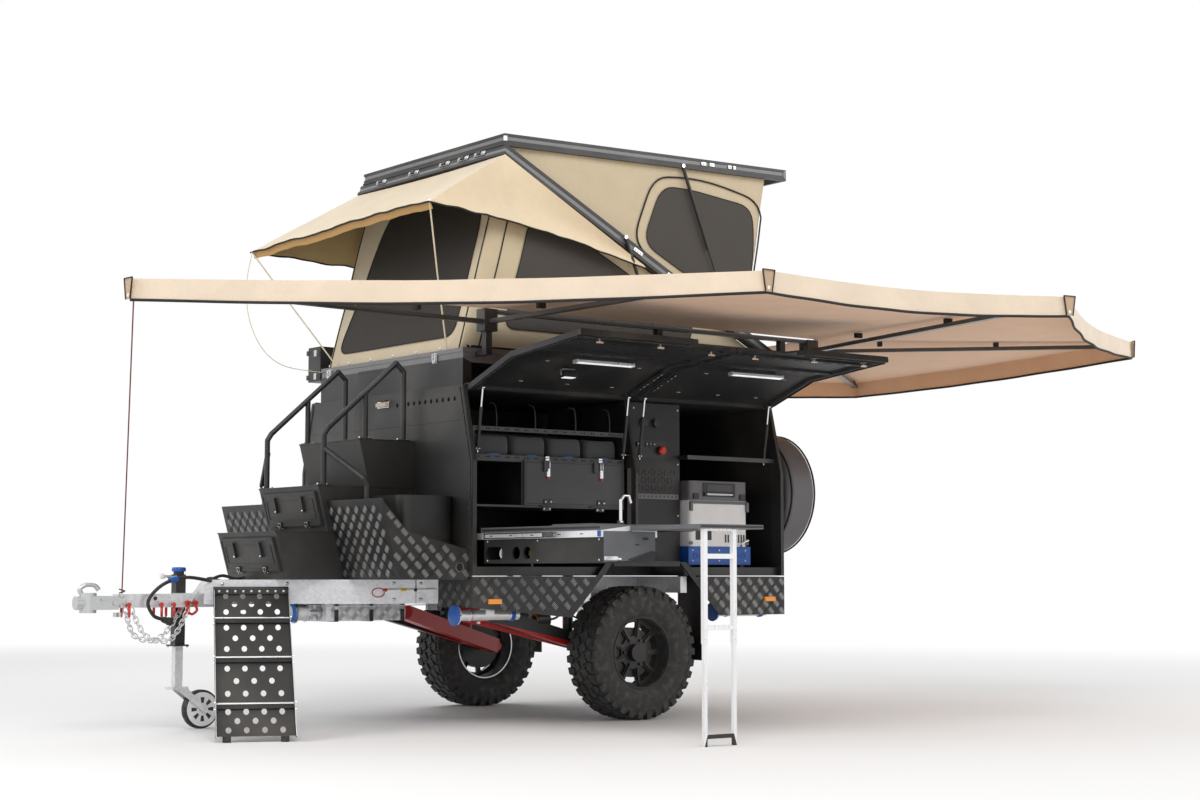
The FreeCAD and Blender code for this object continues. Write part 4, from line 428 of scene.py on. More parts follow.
CAST = Metal("cast_coupling", (0.68, 0.67, 0.65), 0.48, metallic=0.6, spangle=240.0)
RED = PowderCoat("suspension_red", (0.52, 0.018, 0.016), 0.34, dust=0.06)
RED_ANODISED = PowderCoat("shackle_red", (0.55, 0.03, 0.016), 0.3, dust=0.02)
BLUE = PowderCoat("drawer_blue", (0.01, 0.095, 0.42), 0.36, dust=0.05)
BLUE_STRAP = Finish("strap_blue", (0.02, 0.16, 0.5), 0.6)
TYRE = Rubber("tyre_rubber", (0.03, 0.03, 0.03), 0.72)
SOFT_BLACK = Rubber("soft_black_rubber", (0.014, 0.014, 0.015), 0.66)
HEM = Finish("black_webbing", (0.014, 0.013, 0.012), 0.8)
WHITE = Finish("white_cabinet", (0.84, 0.84, 0.85), 0.34)
GREY_PLASTIC = Finish("grey_moulding", (0.13, 0.13, 0.14), 0.42)
BLACK_PLASTIC = Finish("black_moulding", (0.017, 0.017, 0.018), 0.4)
CANVAS = Canvas("tent_canvas", (0.56, 0.465, 0.315), 0.82)
# Inner side of the tent walls: the same canvas, darker and oranger for painted shade and painted light coming
# through the cloth.
CANVAS_INNER_PAINTED_SHADE = Canvas("tent_canvas_inner_painted_shade", (0.42, 0.29, 0.13), 0.85)
FLY = Canvas("fly_canvas", (0.74, 0.615, 0.43), 0.8, crease=0.014)
# Underside of the fly: the same canvas, darker and oranger for painted shade and painted light coming through
# the cloth.
FLY_UNDER_PAINTED_SHADE = Canvas("fly_canvas_under_painted_shade", (0.42, 0.3, 0.13), 0.85)
AWNING_TOP = Canvas("awning_canvas", (0.8, 0.655, 0.5), 0.78, crease=0.012)
# Underside of the awning: the same canvas, painted lighter and oranger and given a glow, as painted light for
# the light that comes through the cloth.
AWNING_UNDER_PAINTED_LIGHT = Canvas("awning_canvas_under_painted_light", (0.66, 0.4, 0.235), 0.85, crease=0.012, glow=0.1)
# Window and doorway screens are one dark mesh; their colours add painted shade of the tent's inside behind
# them, deepest in the doorway.
MESH = Screen("window_mesh_painted_shade", (0.05, 0.044, 0.038), 0.75)
DOOR_MESH_PAINTED_SHADE = Screen("doorway_mesh_painted_shade", (0.022, 0.018, 0.014), 0.75)
BAG_CLOTH = Canvas("bag_cloth", (0.045, 0.05, 0.055), 0.7, thread=0.001, crease=0.004)
STUD = Finish("press_stud", (0.8, 0.8, 0.78), 0.25)
POLE = Finish("cream_pole", (0.62, 0.54, 0.38), 0.35)
# Turned edge of the fly in the underside's painted shade.
FLY_TURN_PAINTED_SHADE = Finish("fly_turned_edge_painted_shade", (0.46, 0.27, 0.1), 0.8)
BRONZE = PowderCoat("awning_arm_grey", (0.06, 0.055, 0.052), 0.3, dust=0.04)
BENCH_GREY = PowderCoat("bench_grey", (0.115, 0.12, 0.13), 0.36, dust=0.05)
RAIL_GREY = PowderCoat("rail_grey", (0.14, 0.145, 0.15), 0.34, dust=0.05)
# Near-black disc of painted shade that stands for the inside of the round hole in the tray's side plates.
HOLE_PAINTED_SHADE = Finish("painted_shade_opening", (0.004, 0.004, 0.004), 0.7)
BRASS = Metal("brass_fitting", (0.62, 0.36, 0.12), 0.3, metallic=0.9)
YELLOW = Finish("yellow_sleeve", (0.75, 0.52, 0.03), 0.45)
TIE_RED = Finish("braided_tie", (0.16, 0.035, 0.03), 0.8)
AWNING_WEB = Finish("awning_web_patch", (0.5, 0.36, 0.24), 0.85)
AMBER = Lens("amber_lens", (0.95, 0.32, 0.01), 0.18, light=0.15)
RUBY = Lens("ruby_lens", (0.45, 0.012, 0.01), 0.16, light=0.05)
LED = Lens("lit_diffuser", (0.9, 0.92, 0.94), 0.25, light=0.9, flute=60.0)
LAMP_PALE = Finish("pale_lamp", (0.52, 0.42, 0.33), 0.35)
GLASS_GREY = Lens("gauge_glass", (0.55, 0.56, 0.58), 0.08, flute=20.0)


# Corner numbers of the six faces of a box.
BOX_FACES = [(0, 1, 3, 2), (4, 6, 7, 5), (0, 4, 5, 1), (2, 3, 7, 6), (0, 2, 6, 4), (1, 5, 7, 3)]
# Half section of a small domed screw.
SCREW = [(0, 0.003), (0.006, 0.002), (0.007, 0), (0, 0)]
# Height at which the body's walls start to lean in.
KNEE = 1.523


def rail_y(x: float) -> float:
    """Sideways place of the drawbar rail's outer face."""
    return 0.618 - 0.483 * (x - 1.27)


def placed(name: str, data: bpy.types.ID) -> bpy.types.Object:
    """New object in the scene.

    Args:
        name: the object's name.
        data: the mesh, light or camera that it shows.

    Returns:
        The object.
    """
    made = bpy.data.objects.new(name, data)
    bpy.context.scene.collection.objects.link(made)
    return made


def around(points: Sequence) -> Iterable[tuple]:
    """Each point with the next one, back to the first."""
    return zip(points, points[1:] + points[:1])


class Shape:
    """Collects the points and faces of one piece, and makes its object."""

    def __init__(self, name: str, *finishes: Finish) -> None:
        """Starts an empty piece that uses these finishes by number.

        Args:
            name: the piece's name.
            finishes: its finishes, numbered from 0.
        """
        self.name = name
        self.finishes = finishes
        self.points: list[Vector] = []
        self.faces: list[tuple[int, ...]] = []
        self.slots: list[int] = []
        self.slot = 0
        self.move: Callable[[Vector], Vector] = lambda p: p

    def use(self, slot: int) -> "Shape":
        """Takes the finish of that number for what follows."""
        self.slot = slot
        return self

    def put(self, points: Iterable[Spot], faces: Iterable[Sequence[int]]) -> None:
        """Adds points, moved by self.move, and the faces between them.

        Args:
            points: the corners.
            faces: corner numbers of each face.
        """
        first = len(self.points)
        self.points += [self.move(Vector(p)) for p in points]
        for f in faces:
            self.faces.append(tuple(first + i for i in f))
            self.slots.append(self.slot)

    def box(self, low: Spot, high: Spot) -> None:
        """Adds a box between two corners.

        Args:
            low: one corner.
            high: the opposite corner.
        """
        (x0, y0, z0), (x1, y1, z1) = ([min(a, b) for a, b in zip(low, high)],
            [max(a, b) for a, b in zip(low, high)])
        self.put([(x, y, z) for x in (x0, x1) for y in (y0, y1) for z in (z0, z1)], BOX_FACES)

    def prism(self, outline: Sequence[Spot], offset: Spot) -> None:
        """Adds a plate: a flat outline and the same outline moved by offset.

        Args:
            outline: the plate's corners.
            offset: from the first face to the second.
        """
        n = len(outline)
        base = [Vector(p) for p in outline]
        top = [p + Vector(offset) for p in base]
        sides = [(i, (i + 1) % n, n + (i + 1) % n, n + i) for i in range(n)]
        self.put(base + top, [tuple(reversed(range(n))), tuple(range(n, 2 * n)), *sides])

    def bar(self, a: Spot, b: Spot, width: float, height: float, up: Spot = (0, 0, 1)) -> None:
        """Adds a rectangular bar from a to b.

        Args:
            a: the start.
            b: the end.
            width: across its side.
            height: across its rise.
            up: the way of its rise.
        """
        a, b = Vector(a), Vector(b)
        along = (b - a).normalized()
        side = Vector(up).cross(along)
        side = side.normalized() if side.length > 1e-6 else Vector((0, 1, 0))
        rise = along.cross(side)
        s, r = side * width / 2, rise * height / 2
        ring = [-s - r, s - r, s + r, -s + r]
        self.put([a + q for q in ring] + [b + q for q in ring],
            [(3, 2, 1, 0), (4, 5, 6, 7), (0, 1, 5, 4), (1, 2, 6, 5), (2, 3, 7, 6), (3, 0, 4, 7)])

    def tube(self, path: Sequence[Spot], radius: float, sides: int = 10, closed: bool = False) -> None:
        """Adds a round tube that follows a path of points.

        Args:
            path: the places along its middle.
            radius: the tube's radius.
            sides: how many faces go round.
            closed: whether it comes back to its start.
        """
        path = [Vector(p) for p in path]
        n = len(path)
        rings: list[Vector] = []
        side = Vector((0, 0, 0))
        for i, p in enumerate(path):
            before = path[i - 1] if (i or closed) else p
            after = path[(i + 1) % n] if (i < n - 1 or closed) else p
            along = (after - before).normalized()
            if side.length < 1e-6:
                side = along.orthogonal().normalized()
            side = (side - along * side.dot(along)).normalized()
            rise = along.cross(side)
            for k in range(sides):
                a = 2 * pi * k / sides
                rings.append(p + (side * cos(a) + rise * sin(a)) * radius)
        faces: list[Sequence[int]] = []
        for i in range(n if closed else n - 1):
            for k in range(sides):
                j = (i + 1) % n
                faces.append((i * sides + k, i * sides + (k + 1) % sides, j * sides + (k + 1) % sides,
                    j * sides + k))
        if not closed:
            faces += [tuple(reversed(range(sides))), tuple(range((n - 1) * sides, n * sides))]
        self.put(rings, faces)

    def rod(self, a: Spot, b: Spot, radius: float, end: float | None = None, sides: int = 20) -> None:
        """Adds a straight rod or cone.

        Args:
            a: the start.
            b: the end.
            radius: the radius at the start.
            end: the radius at the end, where it differs.
            sides: how many faces go round.
        """
        a, b = Vector(a), Vector(b)
        self.lathe([(0, 0), (radius, 0), (radius if end is None else end, (b - a).length),
            (0, (b - a).length)], a, b - a, sides)

    def lathe(self, profile: Sequence[tuple[float, float]], origin: Spot, axis: Spot,
            sides: int = 32) -> None:
        """Adds a turned shape.

        Args:
            profile: radius and height pairs along the axis.
            origin: where height is zero.
            axis: the axis's direction.
            sides: how many faces go round.
        """
        o, along = Vector(origin), Vector(axis).normalized()
        side = along.orthogonal().normalized()
        rise = along.cross(side)
        pts: list[Vector] = []
        rows: list[list[int]] = []
        for r, h in profile:
            if r < 1e-6:
                rows.append([len(pts)])
                pts.append(o + along * h)
                continue
            rows.append(list(range(len(pts), len(pts) + sides)))
            for k in range(sides):
                a = 2 * pi * k / sides
                pts.append(o + along * h + (side * cos(a) + rise * sin(a)) * r)
        faces: list[Sequence[int]] = []
        for lo, hi in zip(rows, rows[1:]):
            for k in range(sides):
                k2 = (k + 1) % sides
                if len(lo) == 1 and len(hi) == 1:
                    continue
                if len(lo) == 1:
                    faces.append((lo[0], hi[k2], hi[k]))
                elif len(hi) == 1:
                    faces.append((lo[k], lo[k2], hi[0]))
                else:
                    faces.append((lo[k], lo[k2], hi[k2], hi[k]))
        self.put(pts, faces)

    def build(self, body: str, bevel: float = 0.0, angle: float = 35.0) -> bpy.types.Object:
        """Makes the object at the frame's origin and lets it ride on a body.

        Args:
            body: the body's name.
            bevel: width of the rounded edges, or 0 for none.
            angle: edges sharper than this stay sharp.

        Returns:
            The finished object.
        """
        mesh = bpy.data.meshes.new(self.name)
        mesh.from_pydata([p - PIN for p in self.points], [], self.faces)
        for finish in self.finishes:
            mesh.materials.append(finish.material)
        mesh.polygons.foreach_set("material_index", self.slots)
        work = bmesh.new()
        work.from_mesh(mesh)
        bmesh.ops.recalc_face_normals(work, faces=work.faces)
        work.to_mesh(mesh)
        work.free()
        mesh.polygons.foreach_set("use_smooth", [True] * len(mesh.polygons))
        mesh.set_sharp_from_angle(angle=radians(angle))
        made = placed(self.name, mesh)
        if bevel:
            edge = made.modifiers.new("edge", "BEVEL")
            edge.width, edge.segments, edge.limit_method = bevel, 2, "ANGLE"
            edge.angle_limit = radians(40)
        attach(made, body)
        LOG.info("%s: %d faces on %s", self.name, len(mesh.polygons), body)
        return made


def wander(points: Sequence[Spot], steps: int = 8, closed: bool = False) -> list[Vector]:
    """Smooth line through points, for trim that follows a surface.

    Args:
        points: the places that it passes.
        steps: points in each span.
        closed: whether it comes back to its start.

    Returns:
        The line's points.
    """
    pts = [Vector(p) for p in points]
    n = len(pts)
    line: list[Vector] = []
    for i in range(n if closed else n - 1):
        p0 = pts[i - 1] if (i or closed) else pts[0]
        p1, p2 = pts[i], pts[(i + 1) % n]
        p3 = pts[(i + 2) % n] if (i < n - 2 or closed) else pts[-1]
        for k in range(steps):
            t = k / steps
            line.append(0.5 * (2 * p1 + (p2 - p0) * t + (2 * p0 - 5 * p1 + 4 * p2 - p3) * t * t
                + (3 * p1 - p0 - 3 * p2 + p3) * t ** 3))
    if not closed:
        line.append(pts[-1])
    return line


def rounded(outline: Sequence[Spot], radius: float, steps: int = 5) -> list[Vector]:
    """Outline with its corners rounded by quadratic arcs.

    Args:
        outline: the corners in order.
        radius: how far from each corner the arc starts.
        steps: points in each arc.

    Returns:
        The outline's points.
    """
    pts = [Vector(p) for p in outline]
    out: list[Vector] = []
    for i, p in enumerate(pts):
        a, b = pts[i - 1] - p, pts[(i + 1) % len(pts)] - p
        start = p + a.normalized() * min(radius, a.length * 0.45)
        end = p + b.normalized() * min(radius, b.length * 0.45)
        for k in range(steps + 1):
            t = k / steps
            out.append(start * (1 - t) ** 2 + p * 2 * t * (1 - t) + end * t * t)
    return out


@dataclass
class Cloth:
    """Two-sided cloth made from a rule that gives a point for each pair of shares."""

    name: str
    rule: Callable[[float, float], Vector]
    across: int
    along: int
    outer: Finish
    inner: Finish
    thickness: float = 0.002
    outward: int = 1

    def build(self) -> bpy.types.Object:
        """Makes the sheet with its weave's UV map in metres.

        Returns:
            The object, which rides on nothing yet.
        """
        nu, nv = self.across, self.along
        grid = [[self.rule(i / nu, j / nv) for i in range(nu + 1)] for j in range(nv + 1)]
        normals = []
        for j in range(nv + 1):
            row = []
            for i in range(nu + 1):
                du = grid[j][min(i + 1, nu)] - grid[j][max(i - 1, 0)]
                dv = grid[min(j + 1, nv)][i] - grid[max(j - 1, 0)][i]
                n = du.cross(dv)
                row.append(n.normalized() * self.outward if n.length > 1e-9 else Vector((0, 0, 1)))
            normals.append(row)
        half = self.thickness / 2
        points = [grid[j][i] + normals[j][i] * half for j in range(nv + 1) for i in range(nu + 1)]
        points += [grid[j][i] - normals[j][i] * half for j in range(nv + 1) for i in range(nu + 1)]
        us = [[0.0] for _ in range(nv + 1)]
        for j in range(nv + 1):
            for i in range(nu):
                us[j].append(us[j][-1] + (grid[j][i + 1] - grid[j][i]).length)
        vs = [[0.0] for _ in range(nu + 1)]
        for i in range(nu + 1):
            for j in range(nv):
                vs[i].append(vs[i][-1] + (grid[j + 1][i] - grid[j][i]).length)
        uv = [(us[j][i], vs[i][j]) for j in range(nv + 1) for i in range(nu + 1)]
        total = (nu + 1) * (nv + 1)

        def idx(i: int, j: int) -> int:
            """Number of a grid point."""
            return j * (nu + 1) + i

        faces, slots = [], []
        for j in range(nv):
            for i in range(nu):
                quad = (idx(i, j), idx(i + 1, j), idx(i + 1, j + 1), idx(i, j + 1))
                faces.append(quad if self.outward > 0 else tuple(reversed(quad)))
                slots.append(0)
                under = tuple(total + k for k in reversed(quad))
                faces.append(under if self.outward > 0 else tuple(reversed(under)))
                slots.append(1)
        rim = [idx(i, 0) for i in range(nu)] + [idx(nu, j) for j in range(nv)]
        rim += [idx(i, nv) for i in range(nu, 0, -1)] + [idx(0, j) for j in range(nv, 0, -1)]
        for a, b in around(rim):
            quad = (b, a, total + a, total + b)
            faces.append(quad if self.outward > 0 else tuple(reversed(quad)))
            slots.append(0)
        mesh = bpy.data.meshes.new(self.name)
        mesh.from_pydata([p - PIN for p in points], [], faces)
        mesh.materials.append(self.outer.material)
        mesh.materials.append(self.inner.material)
        mesh.polygons.foreach_set("material_index", slots)
        mesh.polygons.foreach_set("use_smooth", [True] * len(mesh.polygons))
        layer = mesh.uv_layers.new(name="weave")
        for loop in mesh.loops:
            layer.data[loop.index].uv = uv[loop.vertex_index % total]
        mesh.set_sharp_from_angle(angle=radians(50))
        made = placed(self.name, mesh)
        LOG.info("%s: %d faces of cloth", self.name, len(mesh.polygons))
        return made

    def area(self) -> float:
        """Area of one side of the cloth.

        Returns:
            The area in square metres.
        """
        nu, nv = self.across, self.along
        total = 0.0
        for j in range(nv):
            for i in range(nu):
                a, b = self.rule(i / nu, j / nv), self.rule((i + 1) / nu, j / nv)
                c, d = self.rule((i + 1) / nu, (j + 1) / nv), self.rule(i / nu, (j + 1) / nv)
                total += (b - a).cross(c - a).length / 2 + (c - a).cross(d - a).length / 2
        return total


class Unit(Enum):
    """Small shape that a repeat sets at each of its points."""

    TREAD = "five raised bars"
    DOME = "domed bolt head"
    BLOCK = "block with chamfered ends"
    RING = "rolled ring"
    LINK = "welded chain link"


@dataclass
class Repeat:
    """Geometry Nodes tree that sets one small shape at each point of a mesh."""

    unit: Unit
    finish: Finish
    length: float
    width: float
    height: float
    spots: list[tuple[Vector, Vector, Vector]] = field(default_factory=list)

    def add(self, where: Spot, normal: Spot, along: Spot) -> None:
        """Adds a point with the unit's upward and lengthwise directions."""
        self.spots.append((Vector(where), Vector(normal), Vector(along)))

    def row(self, a: Spot, b: Spot, count: int, normal: Spot) -> None:
        """Adds a row of points from a to b, both ends included.

        Args:
            a: the first point.
            b: the last point.
            count: how many points.
            normal: the unit's upward direction.
        """
        a, b = Vector(a), Vector(b)
        for i in range(count):
            self.add(lerp(a, b, i / max(count - 1, 1)), normal, b - a)

    def tree(self) -> tuple[bpy.types.GeometryNodeTree, list[str]]:
        """Makes the node tree.

        Returns:
            The tree and the identifiers of its length, width and height inputs.
        """
        t = bpy.data.node_groups.new("repeat_" + self.unit.name.lower(), "GeometryNodeTree")
        t.interface.new_socket("Points", in_out="INPUT", socket_type="NodeSocketGeometry")
        keys = [t.interface.new_socket(n, in_out="INPUT", socket_type="NodeSocketFloat").identifier
            for n in ("Length", "Width", "Height")]
        t.interface.new_socket("Result", in_out="OUTPUT", socket_type="NodeSocketGeometry")

        def node(kind: str, inputs: dict | None = None, **settings: object) -> bpy.types.Node:
            """Makes one node and joins or sets its inputs.

            Args:
                kind: the node's type.
                inputs: values or sockets by input name or number.
                settings: the node's own properties.

            Returns:
                The node.
            """
            made = t.nodes.new(kind)
            for k, v in settings.items():
                setattr(made, k, v)
            for k, v in (inputs or {}).items():
                if isinstance(v, bpy.types.NodeSocket):
                    t.links.new(v, made.inputs[k])
                else:
                    made.inputs[k].default_value = v
            return made

        given = node("NodeGroupInput").outputs
        size = node("ShaderNodeCombineXYZ", {0: given[1], 1: given[2], 2: given[3]}).outputs[0]
        if self.unit is Unit.TREAD:
            bar = node("GeometryNodeMeshUVSphere", {"Segments": 6, "Rings": 5, "Radius": 0.5})
            stood = node("ShaderNodeCombineXYZ", {0: given[3], 1: given[2], 2: given[1]}).outputs[0]
            one = node("GeometryNodeTransform", {"Geometry": bar.outputs[0], "Scale": stood,
                "Rotation": (0.0, pi / 2, 0.0)})
            gap = node("ShaderNodeMath", {0: given[2], 1: 1.9}, operation="MULTIPLY").outputs[0]
            step = node("ShaderNodeCombineXYZ", {1: gap}).outputs[0]
            back = node("ShaderNodeVectorMath", {0: step, 3: -2.0}, operation="SCALE").outputs[0]
            line = node("GeometryNodeMeshLine", {"Count": 5, "Start Location": back, "Offset": step})
            unit = node("GeometryNodeInstanceOnPoints", {"Points": line.outputs[0],
                "Instance": one.outputs[0]}).outputs[0]
        elif self.unit is Unit.DOME:
            ball = node("GeometryNodeMeshUVSphere", {"Segments": 10, "Rings": 6, "Radius": 0.5})
            unit = node("GeometryNodeTransform", {"Geometry": ball.outputs[0], "Scale": size}).outputs[0]
        elif self.unit is Unit.BLOCK:
            cube = node("GeometryNodeMeshCube", {"Size": size})
            unit = cube.outputs[0]
        else:
            if self.unit is Unit.RING:
                half = node("ShaderNodeMath", {0: given[1], 1: 0.5}, operation="MULTIPLY").outputs[0]
                line = node("GeometryNodeCurvePrimitiveCircle", {"Resolution": 14, "Radius": half})
                loop = line.outputs[0]
            else:
                frame_curve = node("GeometryNodeCurvePrimitiveQuadrilateral",
                    {"Width": given[1], "Height": given[2]})
                bend = node("ShaderNodeMath", {0: given[2], 1: 0.49}, operation="MULTIPLY").outputs[0]
                loop = node("GeometryNodeFilletCurve", {"Curve": frame_curve.outputs[0], "Radius": bend,
                    "Count": 4}, mode="POLY").outputs[0]
            thick = node("ShaderNodeMath", {0: given[3], 1: 0.5}, operation="MULTIPLY").outputs[0]
            profile = node("GeometryNodeCurvePrimitiveCircle", {"Resolution": 8, "Radius": thick})
            unit = node("GeometryNodeCurveToMesh", {"Curve": loop,
                "Profile Curve": profile.outputs[0]}).outputs[0]
        aim = node("GeometryNodeInputNamedAttribute", {"Name": "aim"}, data_type="FLOAT_VECTOR").outputs[0]
        placed = node("GeometryNodeInstanceOnPoints", {"Points": given[0], "Instance": unit, "Rotation": aim})
        real = node("GeometryNodeRealizeInstances", {0: placed.outputs[0]})
        smooth = node("GeometryNodeSetShadeSmooth", {0: real.outputs[0],
            "Shade Smooth": self.unit in (Unit.DOME, Unit.LINK, Unit.RING)})
        dressed = node("GeometryNodeSetMaterial", {0: smooth.outputs[0], "Material": self.finish.material})
        node("NodeGroupOutput", {0: dressed.outputs[0]})
        return t, keys

    def bake(self, name: str, body: str) -> bpy.types.Object:
        """Makes the plain mesh of all the units and lets it ride on a body.

        Args:
            name: the piece's name.
            body: the body that it rides on.

        Returns:
            The finished object.
        """
        mesh = bpy.data.meshes.new(name)
        mesh.from_pydata([s[0] - PIN for s in self.spots], [], [])
        aims = mesh.attributes.new("aim", "FLOAT_VECTOR", "POINT")
        for i, (_, up, along) in enumerate(self.spots):
            z = up.normalized()
            x = (along - z * along.dot(z)).normalized()
            y = z.cross(x)
            aims.data[i].vector = Matrix((x, y, z)).transposed().to_euler()
        made = placed(name, mesh)
        tree, keys = self.tree()
        mod = made.modifiers.new("repeat", "NODES")
        mod.node_group = tree
        for key, value in zip(keys, (self.length, self.width, self.height)):
            mod[key] = value
        graph = bpy.context.evaluated_depsgraph_get()
        result = bpy.data.meshes.new_from_object(made.evaluated_get(graph))
        made.modifiers.clear()
        made.data = result
        result.name = name
        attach(made, body)
        LOG.info("%s: %d spots, %d faces on %s", name, len(self.spots), len(result.polygons), body)
        return made


def inside(x: float, y: float, outline: Sequence[tuple[float, float]]) -> bool:
    """Whether a point lies inside a flat outline.

    Args:
        x: the point's first coordinate.
        y: the point's second coordinate.
        outline: the corners in order.

    Returns:
        True where it lies inside.
    """
    hit = False
    for (x0, y0), (x1, y1) in zip(outline, list(outline[1:]) + [outline[0]]):
        if (y0 > y) != (y1 > y) and x < (x1 - x0) * (y - y0) / (y1 - y0) + x0:
            hit = not hit
    return hit


def paint(name: str, base: Finish, *areas: tuple[Finish, Callable[[Vector, Vector], bool]]) -> None:
    """Dresses one CAD node.

    Args:
        name: the node's name.
        base: finish of most of it.
        areas: other finishes, each with a rule on a face's centre and normal.
    """
    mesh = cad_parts[name].data
    mesh.materials.clear()
    mesh.materials.append(base.material)
    for finish, _ in areas:
        mesh.materials.append(finish.material)
    for face in mesh.polygons:
        centre, slot = face.center + PIN, 0
        for i, (_, rule) in enumerate(areas, 1):
            if rule(centre, face.normal):
                slot = i
        face.material_index = slot


@dataclass
class Solids:
    """Finishes of the trailer's own solids."""

    sill: float = 0.867
    body_front: float = 1.27
    body_rear: float = -1.143

    def build(self) -> None:
        """Dresses every solid that stays in view."""
        front, rear = self.body_front, self.body_rear
        inner = lambda c, n: rear + 0.002 < c.x < front - 0.002 and abs(
            c.y) < 0.85 and self.sill + 0.004 < c.z < 1.95
        paint("chassis_frame", ZINC)
        paint("tow_coupling", CAST)
        paint("jack_post", ZINC, (BLACK, lambda c, n: c.z > 0.47))
        paint("suspension_arms", RED, (BLACK, lambda c, n: abs(c.y) > 0.55 and c.z > 0.5),
            (BLACK, lambda c, n: abs(c.y) > 0.68))
        paint("body_shell", PANEL, (INSIDE, inner))
        paint("side_skirts", TREAD_BASE)
        paint("stair_boxes", STEP_BLACK)
        paint("front_tray", TREAD_BASE)
        paint("handrails", BLACK)
        paint("stabiliser_legs", ALLOY, (BLACK, lambda c, n: abs(n.y) > 0.99 and abs(c.y) > 0.86))
        paint("spare_wheel", GREY_PLASTIC)
        paint("marker_lamps", AMBER, (RUBY, lambda c, n: c.z > 0.8))
        paint("locker_unit", INSIDE, (RAIL_GREY, lambda c, n: c.x > 0.06 and c.y > 0.835
            and (1.544 < c.z < 1.572 or 1.708 < c.z < 1.736)),
            (BLACK_PLASTIC, lambda c, n: c.x < 0.04 and c.y > 0.8205),
            (LOCKER_GREY, lambda c, n: c.y > 0.8495 and n.y > 0.5))
        paint("table_leg", ALLOY, (BLACK, lambda c, n: c.z < 0.08))
        paint("tent_base", BLACK, (TENT_GREY, lambda c, n: 2.106 < c.z < 2.189 and abs(n.z) < 0.3
            and (c.x > 1.225 or abs(abs(c.y) - 0.808) < 0.004)))
        paint("awning_arms", BRONZE, (BLACK, lambda c, n: c.z < 2.335 and abs(c.y - 0.9) < 0.12))
        for side in ("left", "right"):
            paint("rim_" + side, BLACK, (STEEL, lambda c, n: abs(c.y) < 0.75))
            for end in ("front", "rear"):
                paint(f"door_{end}_{side}", INSIDE, (DOOR_EDGE, lambda c, n: abs(n.x) > 0.9))
        paint("jack_caster", ZINC)
        paint("jack_wheel", SOFT_BLACK, (WHITE, lambda c, n: (
            Vector((c.x - 2.417, c.z - 0.11))).length < 0.078))
        paint("front_strut_tubes", BLACK)
        paint("rear_strut_tubes", BLACK)
        paint("front_strut_rods", CHROME)
        paint("rear_strut_rods", CHROME)
        paint("stair_lid_lower", STEP_BLACK)
        paint("stair_lid_middle", STEP_BLACK)
        paint("entry_step", STEP_BLACK, (SOFT_BLACK, lambda c, n: c.z < 0.024))
        paint("locker_flap", LOCKER_GREY)
        paint("kitchen_slide", INSIDE, (ALLOY, lambda c, n: c.z > 1.069 and c.z < 1.1075),
            (WHITE, lambda c, n: 1.1385 < c.z < 1.1475 and c.y > 1.5), (CHROME, lambda c, n: c.z > 1.1385),
            (BENCH_GREY, lambda c, n: c.z > 1.1075))
        paint("kitchen_tap", CHROME)
        paint("bench_leaf", BENCH_GREY)
        paint("fridge_box", WHITE, (BLUE, lambda c, n: c.z < 1.0495))
        paint("fridge_lid", GREY_PLASTIC)
        def band(low: float, high: float, place: Callable[[float, float], tuple[float, float]]) -> Callable[
                [Vector, Vector], bool]:
            """Rule for the channel between two closed heights."""
            return lambda c, n: low < place(c.x, c.z)[1] < high and (abs(n.y) > 0.7 or n.x > 0.4)

        tent = TentShape
        closed = lambda x, z: tent.spin(x, z, tent.hinge, -tent.lift)
        flat = lambda x, z: tent.spin(*closed(x, z), tent.roof_hinge, tent.roof_lift)
        paint("tent_frame", BLACK, (TENT_GREY, band(2.2085, 2.2375, closed)))
        paint("tent_roof", BLACK, (TENT_GREY, band(2.2885, 2.3145, flat)))


class TentShape:
    """Turns of the tent's middle frame and roof, shared by its cloth and trim."""

    hinge = (-1.335, 2.223)
    roof_hinge = (1.235, 2.2646)
    lift = 27.0
    roof_lift = 28.5
    cloth_y = 0.77

    @staticmethod
    def spin(x: float, z: float, pivot: tuple[float, float], degrees: float) -> tuple[float, float]:
        """Turns a side-view point about a pivot, front up.

        Args:
            x: forward place.
            z: height.
            pivot: forward place and height of the pivot.
            degrees: how far it turns.

        Returns:
            The turned place and height.
        """
        a = radians(degrees)
        u, w = x - pivot[0], z - pivot[1]
        return pivot[0] + u * cos(a) - w * sin(a), pivot[1] + u * sin(a) + w * cos(a)

    @classmethod
    def on_frame(cls, x: float, z: float) -> tuple[float, float]:
        """Open place of a point of the closed middle frame."""
        return cls.spin(x, z, cls.hinge, cls.lift)

    @classmethod
    def on_roof(cls, x: float, z: float) -> tuple[float, float]:
        """Open place of a point of the closed roof."""
        return cls.on_frame(*cls.spin(x, z, cls.roof_hinge, -cls.roof_lift))

    @classmethod
    def slack(cls, x: float, y: float, z: float, size: float = 0.007) -> float:
        """Soft waves of stretched canvas at a place."""
        return size * noise.noise(Vector((x * 2.3, y * 2.9, z * 2.6))) * 1.6


